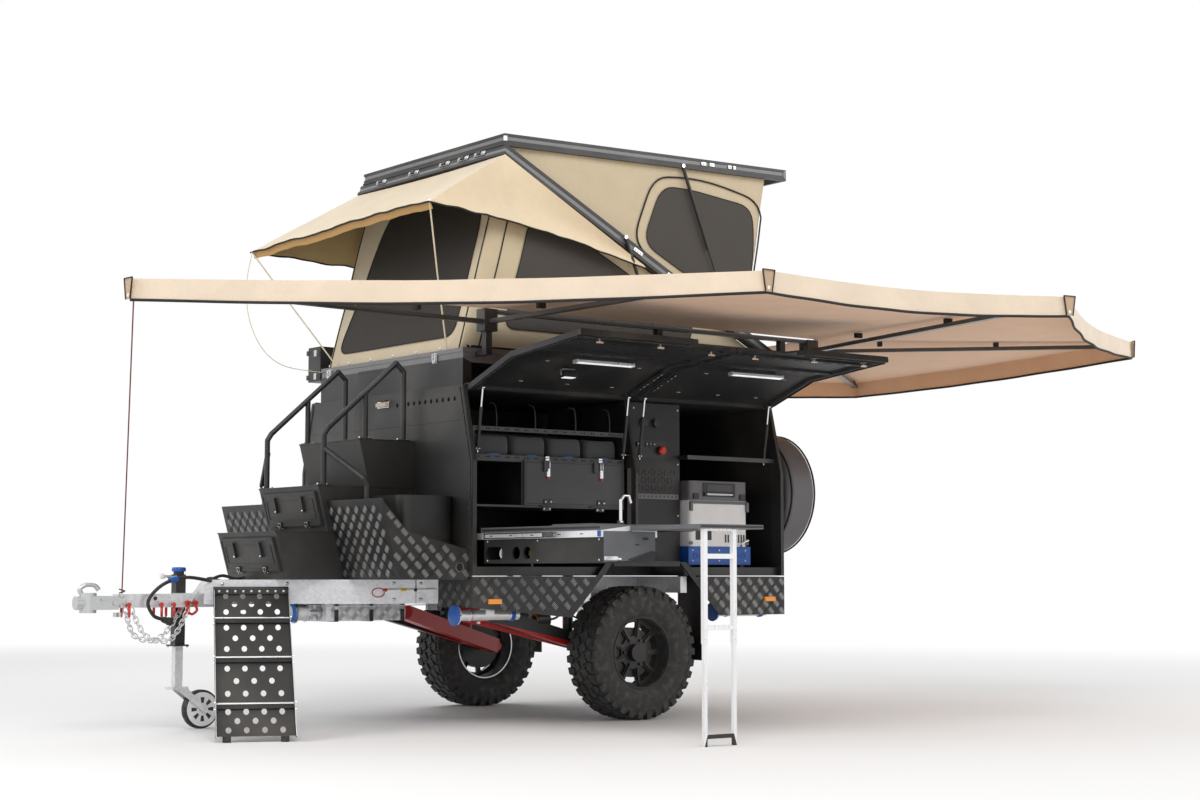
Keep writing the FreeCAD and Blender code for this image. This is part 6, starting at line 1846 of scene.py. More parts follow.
@dataclass
class TreadPlate:
    """Five-bar pattern on the skirts, the front trays and the tool box, with a painted highlight on the bars
    of one way and painted shade on the bars of the other.
    """

    pitch: float = 0.046
    bar: float = 0.035
    hole: tuple[float, float] = (1.337, 0.916)

    def fill(self, rows: tuple[Repeat, Repeat], origin: Spot, u: Spot, v: Spot, normal: Spot,
            outline: Sequence[tuple[float, float]], hole: tuple[float, float] | None = None) -> None:
        """Sets groups of bars over an outline in a plate's plane.

        Args:
            rows: the two repeats, one for each of the bars' ways, the first with a painted highlight and the
                second with painted shade.
            origin: where the plate is measured from.
            u: the plate's first direction.
            v: its second direction.
            normal: the way that it faces.
            outline: its corners along u and v.
            hole: the middle of a round gap in the pattern.
        """
        o, u, v, n = Vector(origin), Vector(u), Vector(v), Vector(normal)
        low = [min(p[k] for p in outline) for k in (0, 1)]
        high = [max(p[k] for p in outline) for k in (0, 1)]
        m = self.pitch * 0.42
        for i in range(int((high[0] - low[0]) / self.pitch) + 1):
            for j in range(int((high[1] - low[1]) / self.pitch) + 1):
                a, b = low[0] + (i + 0.5) * self.pitch, low[1] + (j + 0.5) * self.pitch
                if hole and hypot(a - hole[0], b - hole[1]) < 0.05:
                    continue
                if all(inside(a + da, b + db, outline) for da, db in ((m, 0), (-m, 0), (0, m), (0, -m))):
                    along = (u + v * (1 if (i + j) % 2 else -1)).normalized()
                    rows[(i + j) % 2].add(o + u * a + v * b + n * 0.0003, n, along)

    def build(self) -> None:
        """Builds the pattern on every plate."""
        front = ((1.27, 0.86), (1.27, 0.686), (0.563, 0.622), (0.25, 0.95), (0.302, 0.95), (0.382, 0.86))
        rear = ((-1.143, 0.86), (-1.143, 0.622), (-0.595, 0.622), (-0.27, 0.95), (-0.322, 0.95),
            (-0.402, 0.86))
        side_plate = ((1.742, 0.8576), (1.862, 1.297), (1.69, 1.116), (1.27, 1.013), (1.27, 0.8576))
        rise = Vector((0.12, 0, 0.4394)).normalized()
        skirts, trays = (tuple(Repeat(Unit.TREAD, finish, self.bar, 0.005, 0.0032)
            for finish in (TREAD, TREAD_PAINTED_SHADE)) for _ in range(2))
        hole = Shape("front_tray_holes", HOLE_PAINTED_SHADE, TREAD)
        for side in (1, -1):
            for outline in (front, rear):
                self.fill(skirts, (0, side * 0.975, 0), (1, 0, 0), (0, 0, 1), (0, side, 0), outline)
            self.fill(skirts, (1.27, 0, 0), (0, side, 0), (0, 0, 1), (1, 0, 0),
                ((0.624, 0.688), (0.973, 0.688), (0.973, 0.858), (0.624, 0.858)))
            self.fill(trays, (1.742, 0, 0.8576), (0, side, 0), rise, (rise.z, 0, -rise.x),
                ((0.352, 0.002), (0.938, 0.002), (0.938, 0.453), (0.352, 0.453)))
            self.fill(trays, (0, side * 0.94, 0), (1, 0, 0), (0, 0, 1), (0, side, 0), side_plate, self.hole)
            x, z = self.hole
            # A near-black disc of painted shade stands for the inside of the hole.
            hole.use(0).lathe([(0, 0), (0.024, 0), (0.024, 0.0012), (0, 0.0012)], (x, side * 0.94, z),
                (0, side, 0), 24)
            # The hole's rim takes the bars' painted highlight.
            hole.use(1).tube([(x + 0.025 * cos(k / 12 * pi), side * 0.9412, z + 0.025 * sin(k / 12 * pi))
                for k in range(24)], 0.0012, 6, closed=True)
        self.fill(trays, (0, 0.3, 0), (1, 0, 0), (0, 0, 1), (0, 1, 0),
            ((1.292, 0.608), (1.828, 0.608), (1.828, 0.704), (1.292, 0.704)))
        self.fill(trays, (1.83, 0, 0), (0, 1, 0), (0, 0, 1), (1, 0, 0),
            ((-0.148, 0.608), (0.298, 0.608), (0.298, 0.704), (-0.148, 0.704)))
        # The bright bars carry the painted highlight and the dark bars the painted shade.
        for rows, name in ((skirts, "side_skirt_tread"), (trays, "front_tray_tread")):
            for row, end in zip(rows, ("bright", "dark")):
                row.bake(f"{name}_{end}", "chassis")
        hole.build("chassis")
        straps = Shape("tool_box_straps", SOFT_BLACK, STEEL)
        for x in (1.31, 1.525, 1.76):
            straps.use(0).box((x - 0.013, 0.3, 0.603), (x + 0.013, 0.3045, 0.706))
            straps.box((x - 0.013, -0.15, 0.602), (x + 0.013, 0.3045, 0.606))
            straps.use(1).box((x - 0.017, 0.3045, 0.672), (x + 0.017, 0.308, 0.69))
        straps.build("chassis", bevel=0.001)


@dataclass
class StairGear:
    """Lid frames, hinges and bolts on the front steps, and the handrails' flanges."""

    tops: tuple[float, ...] = (1.119, 1.387, 1.666)
    noses: tuple[float, ...] = (2.19, 1.92, 1.648)
    heels: tuple[float, ...] = (2.112, 1.845, 1.574)
    lows: tuple[float, ...] = (0.8453, 1.107, 1.375)
    half: float = 0.35

    def build(self) -> None:
        """Builds the trim of the boxes, lids and handrails."""
        lips = Shape("stair_tread_lips", BLACK, STEEL)
        for i, name in enumerate(("lower_lid", "middle_lid", "")):
            low, top, heel, nose = self.lows[i], self.tops[i], self.heels[i], self.noses[i]
            lean = (nose - heel) / (top - low)
            run = hypot(1, lean)
            out = Vector((1, 0, -lean)) / run

            def face(y: float, z: float, lift: float, heel: float = heel, lean: float = lean,
                    low: float = low, out: Vector = out) -> Vector:
                """Place on the leaning face, lifted off the lid."""
                return Vector((heel + lean * (z - low) + 0.014, y, z)) + out * lift

            lips.use(0).bar((nose + 0.001, -self.half, top - 0.003), (nose + 0.001, self.half, top - 0.003),
                0.006, 0.006)
            for side in (1, -1):
                lips.bar((nose, side * (self.half + 0.0005), top - 0.004),
                    (1.275, side * (self.half + 0.0005), top - 0.004), 0.003, 0.008)
            if not name:
                continue
            lid = Shape(f"stair_{name}_frame", STEP_BLACK, BLACK_PLASTIC, CHROME)
            y1, z0, z1 = self.half - 0.034, low + 0.046, top - 0.034
            for inset, wide in ((0.01, 0.012), (0.044, 0.006)):
                corners = [face(s * (y1 - inset), z, 0.0015)
                    for s, z in ((1, z0 + inset), (1, z1 - inset), (-1, z1 - inset), (-1, z0 + inset))]
                for a, b in around(corners):
                    lid.bar(a, b, wide, 0.004, out)
            for side in (1, -1):
                y = side * y1 * 0.5
                lid.use(1).bar(face(y, z0 + (z1 - z0) * 0.42, 0.012), face(y, z0 + (z1 - z0) * 0.88, 0.012),
                    0.026, 0.008, out)
                lid.bar(face(y, z0 - 0.002, 0.004), face(y, z0 + 0.03, 0.004), 0.046, 0.01, out)
                lid.use(2)
                c = face(y, z0 + (z1 - z0) * 0.47, 0.018)
                lid.lathe([(0, 0.004), (0.006, 0.002), (0.007, -0.003), (0, -0.003)], c, out, 12)
                ring = [face(y + dy, z0 + 0.014 + dz, 0.0105)
                    for dy, dz in ((0.014, -0.01), (0.014, 0.012), (-0.014, 0.012), (-0.014, -0.01))]
                lid.tube(ring, 0.002, 6, closed=True)
                for dy in (0.018, -0.018):
                    lid.lathe([(0, 0.003), (0.004, 0.002), (0.004, -0.002), (0, -0.002)],
                        face(y + dy, z0 - 0.006, 0.003), out, 8)
            lid.build(name, bevel=0.0012)
        lips.build("chassis", bevel=0.0008)
        feet = Shape("handrail_flanges", BLACK, STEEL)
        for side in (1, -1):
            for x, y, z in ((1.337, 0.335, 1.666), (1.6, 0.335, 1.666), (1.876, 0.335, 1.387)):
                y *= side
                dy = -side * 0.014
                feet.use(0).box((x - 0.04, y - 0.026 + dy, z + 0.0002), (x + 0.04, y + 0.026 + dy, z + 0.005))
                feet.use(1)
                for dx in (-0.029, 0.029):
                    feet.lathe([(0, 0.009), (0.006, 0.008), (0.007, 0.0), (0, 0.0)],
                        (x + dx, y + dy, z + 0.005), (0, 0, 1), 10)
        feet.build("chassis", bevel=0.001)


@dataclass
class EntryTrim:
    """Treads, bright nosings, top flange and bolts of the perforated entry flight."""

    breaks: tuple[float, ...] = (0.632, 0.424, 0.19)
    top: float = 0.79
    reach: float = 0.905
    half: float = 0.21

    def out(self, z: float) -> float:
        """How far out the flight's face is at a height."""
        return self.reach * (self.top - z) / self.top

    def build(self) -> None:
        """Builds the trim, which swings with the flight."""
        trim = Shape("entry_step_treads", BLACK, ALLOY, CHROME)
        w = self.half - 0.006
        for z in self.breaks:
            y = self.out(z)
            trim.use(0)
            for low, high, y0, y1 in ((z - 0.004, z, y, y + 0.044), (z - 0.026, z, y + 0.04, y + 0.044)):
                trim.put([fold_point(sx * w, yy, zz) for sx in (-1, 1) for yy in (y0, y1)
                    for zz in (low, high)], BOX_FACES)
            trim.use(1).tube([fold_point(-w, y + 0.0445, z + 0.001), fold_point(w, y + 0.0445, z + 0.001)],
                0.0032, 8)
            trim.use(2)
            for side in (1, -1):
                for dz in (0.006, -0.03):
                    a = fold_point(side * self.half, y + 0.024, z + dz)
                    trim.rod(a, a + fold_point(side, 0, 0) * 0.006 - fold_point(0, 0, 0) * 0.006, 0.006,
                        sides=10)
        trim.use(1)
        for side in (1, -1):
            edge = [fold_point(side * (self.half - 0.0025), self.out(z) + 0.0465, z) for z in (0.786, 0.03)]
            trim.tube(edge, 0.0018, 6)
        trim.use(0).bar(fold_point(-self.half, 0.02, 0.792), fold_point(self.half, 0.02, 0.792), 0.04, 0.004)
        trim.bar(fold_point(-self.half, 0.04, 0.778), fold_point(self.half, 0.04, 0.778), 0.004, 0.03)
        trim.build("entry_flight", bevel=0.0008)
        dots = Repeat(Unit.DOME, STUD, 0.014, 0.014, 0.003)
        out = fold_point(0, 1, 0) - fold_point(0, 0, 0)
        along = fold_point(1, 0, 0) - fold_point(0, 0, 0)
        for k in range(9):
            dots.add(fold_point(-0.18 + 0.045 * k, 0.0425, 0.78), out, along)
        dots.bake("entry_step_flange_holes", "entry_flight")


@dataclass
class DoorGear:
    """Latches, edge profiles, brackets and a work lamp on the gull-wing doors."""

    latch_z: float = 0.93
    arch_x: float = 0.44
    arch_z: float = 0.965
    shares: tuple[float, ...] = (0.14, 0.5, 0.86)

    @staticmethod
    def outer(z: float) -> float:
        """Half width of the door's outside at a height."""
        return 0.975 - max(z - KNEE, 0) * 0.11 / 0.444

    def build(self) -> None:
        """Builds the gear of all four doors."""
        lamps = DoorLamps()
        for side, name in ((1, "left"), (-1, "right")):
            for (x0, x1), end in zip(lamps.spans, ("front", "rear")):
                gear = Shape(f"{end}_{name}_door_gear", CHROME, DOOR_EDGE, BLACK_PLASTIC, SOFT_BLACK, STUD)
                gear.move = lamps.place(side, side > 0)
                inner = side * (self.outer(self.latch_z) - 0.033)
                for share in self.shares:
                    x = x0 + (x1 - x0) * share
                    z = self.arch_z + 0.03 if abs(x) < self.arch_x else self.latch_z
                    gear.use(0).rod((x, inner, z), (x, inner - side * 0.02, z), 0.007, sides=12)
                    gear.bar((x - 0.024, inner - side * 0.022, z), (x + 0.024, inner - side * 0.022, z),
                        0.01, 0.01)
                    gear.use(2).box((x - 0.018, inner, z - 0.02), (x + 0.018, inner - side * 0.005, z + 0.02))
                gear.use(1)
                a, b = (self.arch_x, x1) if end == "front" else (x0, -self.arch_x)
                for x, way in ((x0, 1), (x1, -1)):
                    low = self.arch_z if abs(x) < self.arch_x else 0.905
                    for depth in (0.006, 0.016, 0.026):
                        line = [(x - way * 0.0008, side * (self.outer(z) - depth), z)
                            for z in (low, KNEE, 1.94)]
                        gear.tube(line, 0.002, 6)
                gear.tube([(a, side * 0.9755, 0.88), (b, side * 0.9755, 0.88)], 0.003, 8)
                gear.tube([(x0 + 0.01, side * 0.9757, KNEE), (x1 - 0.01, side * 0.9757, KNEE)], 0.0015, 6)
                gear.use(3)
                for x, way in ((x0 + 0.012, 1), (x1 - 0.012, -1)):
                    low = self.arch_z if abs(x) < self.arch_x else 0.905
                    line = [(x, side * (self.outer(z) - 0.036), z) for z in (low, KNEE, 1.9)]
                    gear.tube(line, 0.004, 8)
                gear.tube([(a, side * 0.939, 0.905), (b, side * 0.939, 0.905)], 0.004, 8)
                inner_x = x0 + 0.05 if end == "front" else x1 - 0.05
                gear.use(2)
                for k in range(2):
                    z = 1.56 + 0.135 * k
                    gear.bar((inner_x, side * (self.outer(z) - 0.037), z),
                        (inner_x, side * (self.outer(z + 0.12) - 0.037), z + 0.12), 0.022, 0.004, (0, 1, 0))
                    gear.use(4)
                    for j in (0.2, 0.5, 0.8):
                        zz = z + 0.12 * j
                        gear.rod((inner_x, side * (self.outer(zz) - 0.0385), zz),
                            (inner_x, side * (self.outer(zz) - 0.0415), zz), 0.0045, sides=10)
                    gear.use(2)
                gear.use(4)
                for share in (0.22, 0.5, 0.78):
                    x = x0 + (x1 - x0) * share
                    for z in (1.53, 1.8):
                        gear.box((x - 0.014, side * (self.outer(z) - 0.0335), z),
                            (x + 0.014, side * (self.outer(z) - 0.0355), z + 0.004))
                gear.build(f"{end}_{name}_door", bevel=0.0008)
        lamp = Shape("kitchen_work_lamp", BLACK_PLASTIC, LED, STEEL)
        lamp.move = lamps.place(1, True)
        y = self.outer(1.62) - 0.033
        lamp.box((0.72, y - 0.012, 1.6), (0.81, y - 0.046, 1.65))
        for k in range(7):
            lamp.box((0.724 + 0.012 * k, y - 0.006, 1.596), (0.729 + 0.012 * k, y - 0.04, 1.654))
        lamp.use(1).box((0.726, y - 0.046, 1.606), (0.804, y - 0.049, 1.644))
        lamp.use(2).bar((0.712, y, 1.625), (0.712, y - 0.034, 1.625), 0.004, 0.018)
        lamp.bar((0.818, y, 1.625), (0.818, y - 0.034, 1.625), 0.004, 0.018)
        lamp.bar((0.712, y - 0.002, 1.625), (0.818, y - 0.002, 1.625), 0.018, 0.004)
        lamp.build("front_left_door", bevel=0.0012)
        feet = Shape("door_strut_feet", STEEL)
        for side in (1, -1):
            for x0, x1 in lamps.spans:
                for x in (x0 + 0.06, x1 - 0.06):
                    feet.rod((x - 0.014, side * 0.885, 1.6), (x + 0.014, side * 0.885, 1.6), 0.008, sides=12)
                    feet.rod((x, side * 0.885, 1.598), (x, side * 0.885, 1.576), 0.005, sides=8)
        feet.build("chassis")


@dataclass
class LockerGear:
    """Latches, hinges, wires and gauges of the lockers and the power column."""

    face: float = 0.8645
    latches: tuple[float, ...] = (0.659, 0.259)

    def build(self) -> None:
        """Builds the gear on the flap, the locker and the column."""
        y = self.face
        flap = Shape("locker_flap_gear", CHROME, RED_ANODISED, BLACK_PLASTIC, STUD, BLACK)
        fixed = Shape("locker_gear", CHROME, BLACK_PLASTIC, STUD, GLASS_GREY, RED_ANODISED, BLACK, RAIL_GREY)
        for x in self.latches:
            flap.use(0).box((x - 0.012, y, 1.452), (x + 0.012, y + 0.007, 1.5))
            flap.box((x - 0.008, y + 0.007, 1.462), (x + 0.008, y + 0.012, 1.492))
            for dx in (-0.008, 0.008):
                flap.rod((x + dx, y + 0.008, 1.5), (x + dx, y + 0.008, 1.546), 0.003, sides=8)
            flap.use(1).box((x - 0.01, y + 0.002, 1.438), (x + 0.01, y + 0.01, 1.452))
            flap.use(2).box((x - 0.032, y, 1.288), (x + 0.032, y + 0.005, 1.318))
            flap.use(3)
            for dx in (-0.02, 0.02):
                flap.lathe(SCREW, (x + dx, y + 0.005, 1.303), (0, 1, 0), 12)
            fixed.use(0).box((x - 0.013, 0.851, 1.548), (x + 0.013, 0.86, 1.572))
            fixed.rod((x - 0.011, 0.863, 1.56), (x + 0.011, 0.863, 1.56), 0.004, sides=8)
            fixed.use(1).box((x - 0.032, 0.85, 1.25), (x + 0.032, 0.855, 1.274))
            fixed.use(2)
            for dx in (-0.02, 0.02):
                fixed.lathe(SCREW, (x + dx, 0.855, 1.262), (0, 1, 0), 12)
        flap.use(4)
        corners = [(0.094, y, 1.292), (0.094, y, 1.534), (0.818, y, 1.534), (0.818, y, 1.292)]
        for a, b in around(corners):
            flap.bar(a, b, 0.002, 0.004)
        flap.build("flap", bevel=0.0008)
        fixed.use(5)
        for x in (1.02, 0.74, 0.44, 0.18):
            fixed.tube(wander([(x, 0.846, 1.736), (x, 0.846, 1.8), (x + 0.004, 0.835, 1.862),
                (x + 0.02, 0.8, 1.876)], 4), 0.004, 8)
        f = 0.8205
        for x in (-0.106, -0.198):
            fixed.use(5).lathe([(0.022, 0.002), (0.023, 0.007), (0.028, 0.008), (0.031, 0.004), (0.031, 0),
                (0.022, 0)], (x, f, 1.8095), (0, 1, 0), 32)
            fixed.use(3).lathe([(0, 0.004), (0.0225, 0.004), (0.0225, 0), (0, 0)], (x, f, 1.8095), (0, 1, 0),
                32)
            fixed.use(1).bar((x - 0.01, f + 0.005, 1.8), (x + 0.006, f + 0.005, 1.819), 0.0018, 0.003,
                (0, 1, 0))
        for k, x in enumerate((-0.06, -0.085, -0.13, -0.16, -0.19)):
            fixed.use(1).box((x - 0.01, f, 1.66), (x + 0.01, f + 0.008, 1.69))
            fixed.use(2).box((x - 0.004, f + 0.008, 1.676 + 0.003 * (k % 2)), (x + 0.004, f + 0.01, 1.682))
        fixed.use(4).lathe([(0, 0.04), (0.018, 0.04), (0.026, 0.034), (0.028, 0.02), (0.02, 0.014),
            (0.018, 0), (0, 0)], (-0.24, f, 1.642), (0, 1, 0), 24)
        fixed.use(1).box((-0.285, f, 1.59), (-0.075, f + 0.004, 1.7))
        fixed.use(6).box((-0.385, f, 1.34), (-0.03, f + 0.006, 1.372))
        fixed.use(5)
        for k in range(11):
            x = -0.365 + 0.032 * k
            fixed.box((x - 0.006, f + 0.006, 1.35), (x + 0.006, f + 0.0068, 1.362))
        fixed.use(2)
        for x in (-0.385, -0.03):
            for z in (0.93, 1.24, 1.56, 1.9):
                fixed.lathe([(0, 0.003), (0.005, 0.002), (0.006, 0), (0, 0)], (x, f, z), (0, 1, 0), 10)
        fixed.build("chassis", bevel=0.0006)
        slots = Repeat(Unit.RING, LOCKER_GREY, 0.034, 0.034, 0.004)
        for row in range(3):
            for k in range(6 - row % 2):
                slots.add((-0.345 + 0.052 * (k + 0.5 * (row % 2)), f + 0.001, 1.41 + 0.048 * row), (0, 1, 0),
                    (1, 0, 0))
        slots.bake("column_vent_rings", "chassis")


@dataclass
class FridgeGear:
    """Handle, vents, lid panel and slide fittings of the fridge."""

    face: float = 0.89

    def build(self) -> None:
        """Builds the trim of the fridge's box, slide and lid."""
        y = self.face
        box = Shape("fridge_box_trim", GREY_PLASTIC, BLUE, STUD, BLACK_PLASTIC, CHROME)
        for x in (-0.899, -0.431):
            box.use(0).box((x - 0.014, y - 0.002, 1.06), (x + 0.014, y + 0.004, 1.08))
            box.box((x - 0.01, y - 0.002, 1.27), (x + 0.01, y + 0.012, 1.33))
        box.use(0).box((-0.9, y, 1.316), (-0.43, y + 0.004, 1.336))
        box.use(3).box((-0.6, y, 1.09), (-0.47, y + 0.003, 1.15))
        for k in range(8):
            box.box((-0.88 + 0.022 * k, y, 1.075), (-0.868 + 0.022 * k, y + 0.002, 1.125))
        box.use(1)
        for z in (0.944, 1.042):
            box.bar((-0.905, y + 0.002, z), (-0.425, y + 0.002, z), 0.006, 0.01)
        box.use(2)
        for x in (-0.885, -0.665, -0.445):
            for z in (0.96, 1.026):
                box.lathe([(0, 0.004), (0.005, 0.003), (0.006, 0), (0, 0)], (x, y + 0.001, z), (0, 1, 0), 10)
        box.use(4).tube(wander([(-0.84, y + 0.01, 1.052), (-0.84, y + 0.03, 1.075), (-0.89, y + 0.03, 1.09),
            (-0.89, y + 0.008, 1.09)], 5), 0.006, 10)
        box.build("fridge", bevel=0.0012)
        cuts = Repeat(Unit.RING, BLACK, 0.03, 0.03, 0.003)
        for k in range(9):
            cuts.add((-0.865 + 0.05 * k, y + 0.0005, 0.993), (0, 1, 0), (1, 0, 0))
        cuts.bake("fridge_slide_rings", "fridge")
        lid = Shape("fridge_lid_trim", BLACK_PLASTIC, STUD, LOCKER_GREY)
        lid.box((-0.8, y, 1.362), (-0.53, y + 0.005, 1.448))
        lid.use(2).box((-0.77, y + 0.005, 1.396), (-0.56, y + 0.008, 1.438))
        lid.use(1).tube([(-0.776, y + 0.01, 1.377), (-0.55, y + 0.01, 1.377)], 0.006, 10)
        lid.use(0)
        for x in (-0.78, -0.546):
            lid.box((x - 0.01, y + 0.002, 1.366), (x + 0.01, y + 0.016, 1.388))
        for x in (-0.86, -0.47):
            lid.box((x - 0.022, y - 0.001, 1.344), (x + 0.022, y + 0.01, 1.38))
        lid.build("fridge_top", bevel=0.0012)


@dataclass
class KitchenGear:
    """Slide rails, end panel, latch and hoses of the slide-out kitchen, and its leaf's trim."""

    end: float = 2.085
    side: float = 1.2

    def build(self) -> None:
        """Builds the gear that rides with the kitchen and its leaf."""
        gear = Shape("kitchen_slide_gear", ALLOY, BLUE, BLACK_PLASTIC, CHROME, BENCH_GREY, STUD)
        for x, way in ((1.214, 1), (0.831, -1)):
            gear.use(0).box((x, 1.01, 1.08), (x + way * 0.00016, 1.56, 1.1))
            gear.use(3).box((x, 1.0, 1.074), (x + way * 0.0001, 2.06, 1.106))
            for y in (1.06, 1.25, 1.45, 1.7, 1.9):
                gear.use(2).box((x, y, 1.088), (x + way * 0.00021, y + 0.03, 1.093))
                gear.use(5).rod((x, y - 0.03, 1.09), (x + way * 0.00025, y - 0.03, 1.09), 0.0035, sides=8)
            gear.use(1).box((x - way * 0.012, 2.052, 1.074), (x + way * 0.00025, 2.084, 1.106))
        gear.use(4).prism([(1.198, self.end, 1.104), (0.847, self.end, 1.104), (0.847, self.end, 1.0),
            (1.02, self.end, 0.948), (1.198, self.end, 0.94)], (0, 0.003, 0))
        gear.use(2).bar((0.862, self.end + 0.004, 0.998), (1.03, self.end + 0.004, 0.952), 0.008, 0.004,
            (0, 1, 0))
        gear.box((0.895, self.end + 0.003, 1.058), (0.93, self.end + 0.005, 1.072))
        gear.box((0.96, self.end + 0.003, 1.03), (0.985, self.end + 0.006, 1.036))
        gear.use(3).box((1.11, self.end + 0.003, 0.95), (1.196, self.end + 0.01, 0.97))
        gear.bar((1.09, self.end + 0.014, 0.956), (1.19, self.end + 0.014, 0.966), 0.006, 0.01)
        gear.rod((1.186, self.end + 0.003, 0.962), (1.186, self.end + 0.018, 0.962), 0.006, sides=10)
        gear.use(5)
        for y in (1.02, 1.5, 2.05):
            for z in (0.952, 1.06):
                gear.lathe([(0, 0.003), (0.004, 0.002), (0.005, 0), (0, 0)], (self.side, y, z), (1, 0, 0), 10)
        gear.use(2).bar((1.224, 1.0, 1.123), (1.224, self.end, 1.123), 0.003, 0.012)
        gear.build("kitchen", bevel=0.0008)
        hoses = Shape("kitchen_hoses", WHITE, BRASS, SOFT_BLACK)
        for k in range(3):
            hoses.tube([(1.165 - 0.018 * k, 1.13 + 0.03 * cos(a / 8 * pi), 0.992 + 0.03 * sin(a / 8 * pi))
                for a in range(16)], 0.007, 8, closed=True)
        hoses.tube(wander([(1.16, 1.11, 0.965), (1.16, 1.18, 0.955), (1.15, 1.28, 0.96), (1.15, 1.3, 0.99)],
            5), 0.007, 8)
        hoses.use(1).lathe([(0, 0), (0.024, 0), (0.026, 0.01), (0.024, 0.02), (0, 0.022)],
            (1.15, 1.4, 0.993), (1, 0, 0), 24)
        hoses.use(2).tube(wander([(1.155, 1.3, 1.0), (1.15, 1.34, 0.96), (1.15, 1.42, 0.95),
            (1.15, 1.56, 0.955)], 5), 0.009, 8)
        hoses.build("kitchen")
        duct = Shape("sill_hose", WHITE)
        duct.tube(wander([(0.96, 0.9, 0.905), (0.9, 0.92, 0.903), (0.8, 0.924, 0.903), (0.7, 0.92, 0.903),
            (0.64, 0.9, 0.903)], 5), 0.01, 10)
        duct.build("chassis")
        leaf = Shape("bench_leaf_trim", BLACK_PLASTIC, STEEL)
        leaf.bar((0.5836, 2.6605, 1.1217), (1.0164, 2.6605, 1.1217), 0.0025, 0.01)
        leaf.use(1)
        for x in (0.77, 0.97):
            leaf.box((x - 0.018, 2.6, 1.1067), (x + 0.018, 2.656, 1.1105))
        leaf.build("leaf", bevel=0.0006)


